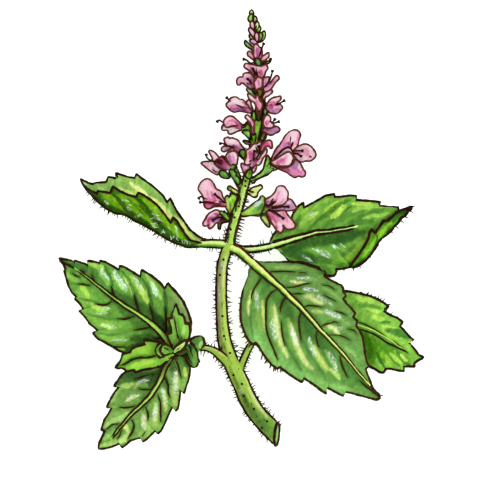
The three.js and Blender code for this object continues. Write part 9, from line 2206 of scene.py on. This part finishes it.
# ------------------------------------------------------------------ build: stems
M = Mesh()
bv = stem(M, "main_stem", 31, lean=((386, 0), (398, -0.28), (412, -0.3), (428, -0.12), (442, 0)), cut=(-0.965, 0.13, -0.23), gaps=((238, 354, 249, 369),))
pen(M, DASHES, bv, 5)
dots_on(M, DOTS, bv)
place(M, "main_stem", "stem_green")
M = Mesh()
bv = stem(M, "flower_spike_stem", 32, inkr=0.265, hair_gap=1.25, rise=0.5, lean=((88, 0), (96, 0.25), (104, 0.45), (111, 0.3), (118, 0), (125, -0.1), (132, -0.3), (141, -0.4), (149, -0.2), (160, 0), (176, 0.02), (184, -0.10), (191, -0.18), (200, -0.12), (207, -0.24), (215, -0.32), (225, -0.46), (236, -0.48), (246, -0.1), (248, 0)))
flecks(M, bv, SPIKE_HAIRS_AND_SHADE)
dots_on(M, DOTS, bv)
tops = Tops()
build_sheets(M, "flower_spike_stem", None, 400, tops, half=0.11, rim=0.18)
lip_strip(M, DATA["BRACTS"][0], -0.3, 0.14, "a8e890", 405, rim=0.16, vein=False)
place(M, "flower_spike_stem", "stem_green")
for name, sd in (("left_shoot_stem", 33), ("right_shoot_stem", 34)):
    M = Mesh()
    if sd == 33:      # the deep green heart of the bud, and a dark rod at its core in painted shade
        tube(M, [mm_xy(np.array(p)).tolist() + [z] for p, z in (((187, 350.5), 9.4), ((181, 352.2), 9.8), ((176, 353), 10.1))], [0.4, 0.8, 0.6], 10, srgb("3f7a2c"), caps=(0.3, 0.5))
        tube(M, [mm_xy(np.array(p)).tolist() + [z] for p, z in (((178.5, 355.5), 9.8), ((174.5, 354.2), 10.3), ((171, 353.2), 10.5), ((168, 353.4), 10.2), ((163, 353), 9.6))], [0.4, 0.6, 0.7, 0.7, 0.4], 10, INK * 1.4, caps=(0.3, 0.5))
    stem(M, name, sd, inkr=0.2, square=0.0, sink=(204, 2.0) if sd == 33 else None, hair_gap=0.85, grow=0.78 if sd == 34 else 0.95, rise=0.42)
    place(M, name, "stem_green")

# ------------------------------------------------------------------ build: flowers
# calyx colours: outside, and the inside of the mouth in painted shade
CALYX = {"a": ("7ab84a", "3a5a20"), "b": ("6cb83c", "3a6a20"), "c": ("8cc840", "4a6a20"), "d": ("58a030", "2a5018"), "e": ("5c9a3c", "2f5a20"), "f": ("5a9a20", "2a5010"),
         "g": ("60a038", "2a5018"), "h": ("72b444", "3a5a20"), "i": ("74c42c", "4c8c1c"), "j": ("5a6c28", "2a3010"), "k": ("6cac3c", "2a4a10"), "l": ("628a3c", "2a3a14"),
         "m": ("4a5a24", "1e1408"), "n": ("4a6a34", "2a3a18"), "o": ("6a6a24", "220e06"), "p": ("4a5a24", "1e1408"), "q": ("5f8f4a", "2a4018")}
# how far a stamen dips under the lobe in front of it, mm
DIP = {("j", 0): 1.3, ("j", 1): 1.3, ("l", 0): 1.2}
# share of a stamen's length that is drawn, and the size of its anther
STAMEN = {("a", 0): (0.95, 1.0), ("a", 1): (0.95, 1.0), ("a", 2): (0.3, 0.1), ("b", 1): (0.9, 0.1)}
for i, (k, f) in enumerate(DATA["FLOWERS"].items()):
    M, tops = Mesh(), Tops()
    corolla_tube(M, f, 100 + i)
    build_sheets(M, "flower_" + k, f, 100 + i, tops, half=0.12, rim=0.185)
    bvh = tops.bvh()
    pen(M, PEN.get("flower_" + k, ""), bvh, 100 + i)
    for j, s in enumerate(f["stamens"]):
        s = [list(p[:2]) + [p[2] - DIP.get((k, j), 0) * q] + list(p[3:]) for p, q in zip(s, (1, 1, 0.4, 0, 0))]
        stamen(M, s, 200 + i * 5 + j, *STAMEN.get((k, j), (1.0, 1.0)))
    place(M, "flower_" + k, "petal_pink")
    M, tops = Mesh(), Tops()
    calyx_cup(M, f, 300 + i, CALYX[k][0], CALYX[k][1], node="calyx_" + k, mouth_ink=k != "b", grow={"f": 0.8, "c": 0.84}.get(k, 1.0), start=0.42 if k == "f" else 0.0)
    build_sheets(M, "calyx_" + k, f, 300 + i, tops, half=0.11, rim=0.18, wave=0.04)
    if tops.n:
        pen(M, PEN.get("calyx_" + k, ""), tops.bvh(), 300 + i)
    place(M, "calyx_" + k, "calyx_green")
for i, (name, f) in enumerate(DATA["OLD_CALYX"].items()):
    M, tops = Mesh(), Tops()
    back = "back" in name
    calyx_cup(M, f, 500 + i, "a8b85c" if back else "d4de80", "6a7a34", ink=back)
    if back:
        for lp in f["lips"]:
            lip_strip(M, lp, -0.3, 0.14, "a8bc5c", 520 + i)
    build_sheets(M, name, f, 500 + i, tops, half=0.12, rim=0.19, wave=0.04)
    if tops.n:
        pen(M, PEN.get(name, ""), tops.bvh(), 500 + i)
    place(M, name, "calyx_yellow")

# ------------------------------------------------------------------ build: buds
M = Mesh()
# the axis among the green buds, coloured ink-dark as painted shade between them
C = curve(DATA["BUD_CORE"], 10)
P = C.at(np.linspace(0, 1, 60))
tube(M, P[:, :3], P[:, 3] * 1.05, 14, INK * 1.1, caps=(0.3, 0.5))
# bud colours: shaded lower side, lit upper side
GREENS = [("5a9a30", "7cc848"), ("4f8a30", "a8dc78"), ("6aa838", "c8f090"), ("3a6a20", "b8e090"), ("7cb04a", "d8f0a0"), ("4f9028", "a8e060"), ("5fb030", "9ce058"), ("6aa040", "b8e080"), ("6ab838", "b0e868")]
for i, b in enumerate(DATA["BUDS_GREEN"]):
    bud(M, b, GREENS[i % 9][0], GREENS[i % 9][1], 600 + i)
quads = [f for f in M.f if f.shape[1] == 4]
pen(M, BUD_SHADE_PEN, BVHTree.FromPolygons(np.vstack(M.v).tolist(), np.vstack(quads).tolist()), 640)
place(M, "buds_green", "bud_green")
for i, (name, b) in enumerate(DATA["BUDS_PINK"].items()):
    M = Mesh()
    bud(M, b, "ecb4c6", "f8d6e2", 620 + i, slim=0.8)
    place(M, name, "bud_pink")

# ------------------------------------------------------------------ table, light, camera
def plain(name, colour, rough):
    m = bpy.data.materials.new(name)
    m.use_nodes = True
    b = m.node_tree.nodes["Principled BSDF"]
    b.inputs["Base Color"].default_value = (*srgb(colour), 1)
    b.inputs["Roughness"].default_value = rough
    b.inputs["Specular IOR Level"].default_value = 0.1
    return m


me = bpy.data.meshes.new("table")
me.from_pydata([(-3, -3, -0.0004), (3, -3, -0.0004), (3, 3, -0.0004), (-3, 3, -0.0004)], [], [(0, 1, 2, 3)])
table_top = bpy.data.objects.new("table", me)
paper = plain("paper_white", "fcfcfc", 0.9)
paper.node_tree.nodes["Principled BSDF"].inputs["Emission Color"].default_value = (0.97, 0.985, 1.0, 1)
paper.node_tree.nodes["Principled BSDF"].inputs["Emission Strength"].default_value = 0.6
me.materials.append(paper)
bpy.context.scene.collection.objects.link(table_top)

world = bpy.data.worlds.new("world")
bpy.context.scene.world = world
world.use_nodes = True
bg = world.node_tree.nodes["Background"]
bg.inputs["Color"].default_value = (0.96, 0.985, 1.05, 1)
bg.inputs["Strength"].default_value = 0.98


def light(name, at, size, power, colour=(1, 1, 1)):
    d = bpy.data.lights.new(name, "AREA")
    d.shape, d.size, d.energy, d.color = "DISK", size, power, colour
    o = bpy.data.objects.new(name, d)
    o.location = at
    o.rotation_euler = (Vector((0, 0, 0)) - Vector(at)).to_track_quat("-Z", "Y").to_euler()
    o.visible_camera = False
    bpy.context.scene.collection.objects.link(o)


light("key", (0.50, -0.12, 0.50), 0.20, 1.6, (1, 0.97, 0.92))
light("fill", (-0.35, 0.30, 0.60), 0.5, 0.3, (1, 0.98, 0.95))

cam = bpy.data.cameras.new("camera")
cam.type, cam.sensor_width, cam.lens = "PERSP", 36, 600
cam.clip_start, cam.clip_end = 0.5, 8
camera = bpy.data.objects.new("camera", cam)
camera.location = (((240 - CX) * K + OX) * MM, ((CY - 240) * K + OY) * MM, 2.160 + 0.007)
bpy.context.scene.collection.objects.link(camera)
bpy.context.scene.camera = camera
bpy.context.scene.view_settings.view_transform = "Standard"
bpy.context.scene.view_settings.look = "None"
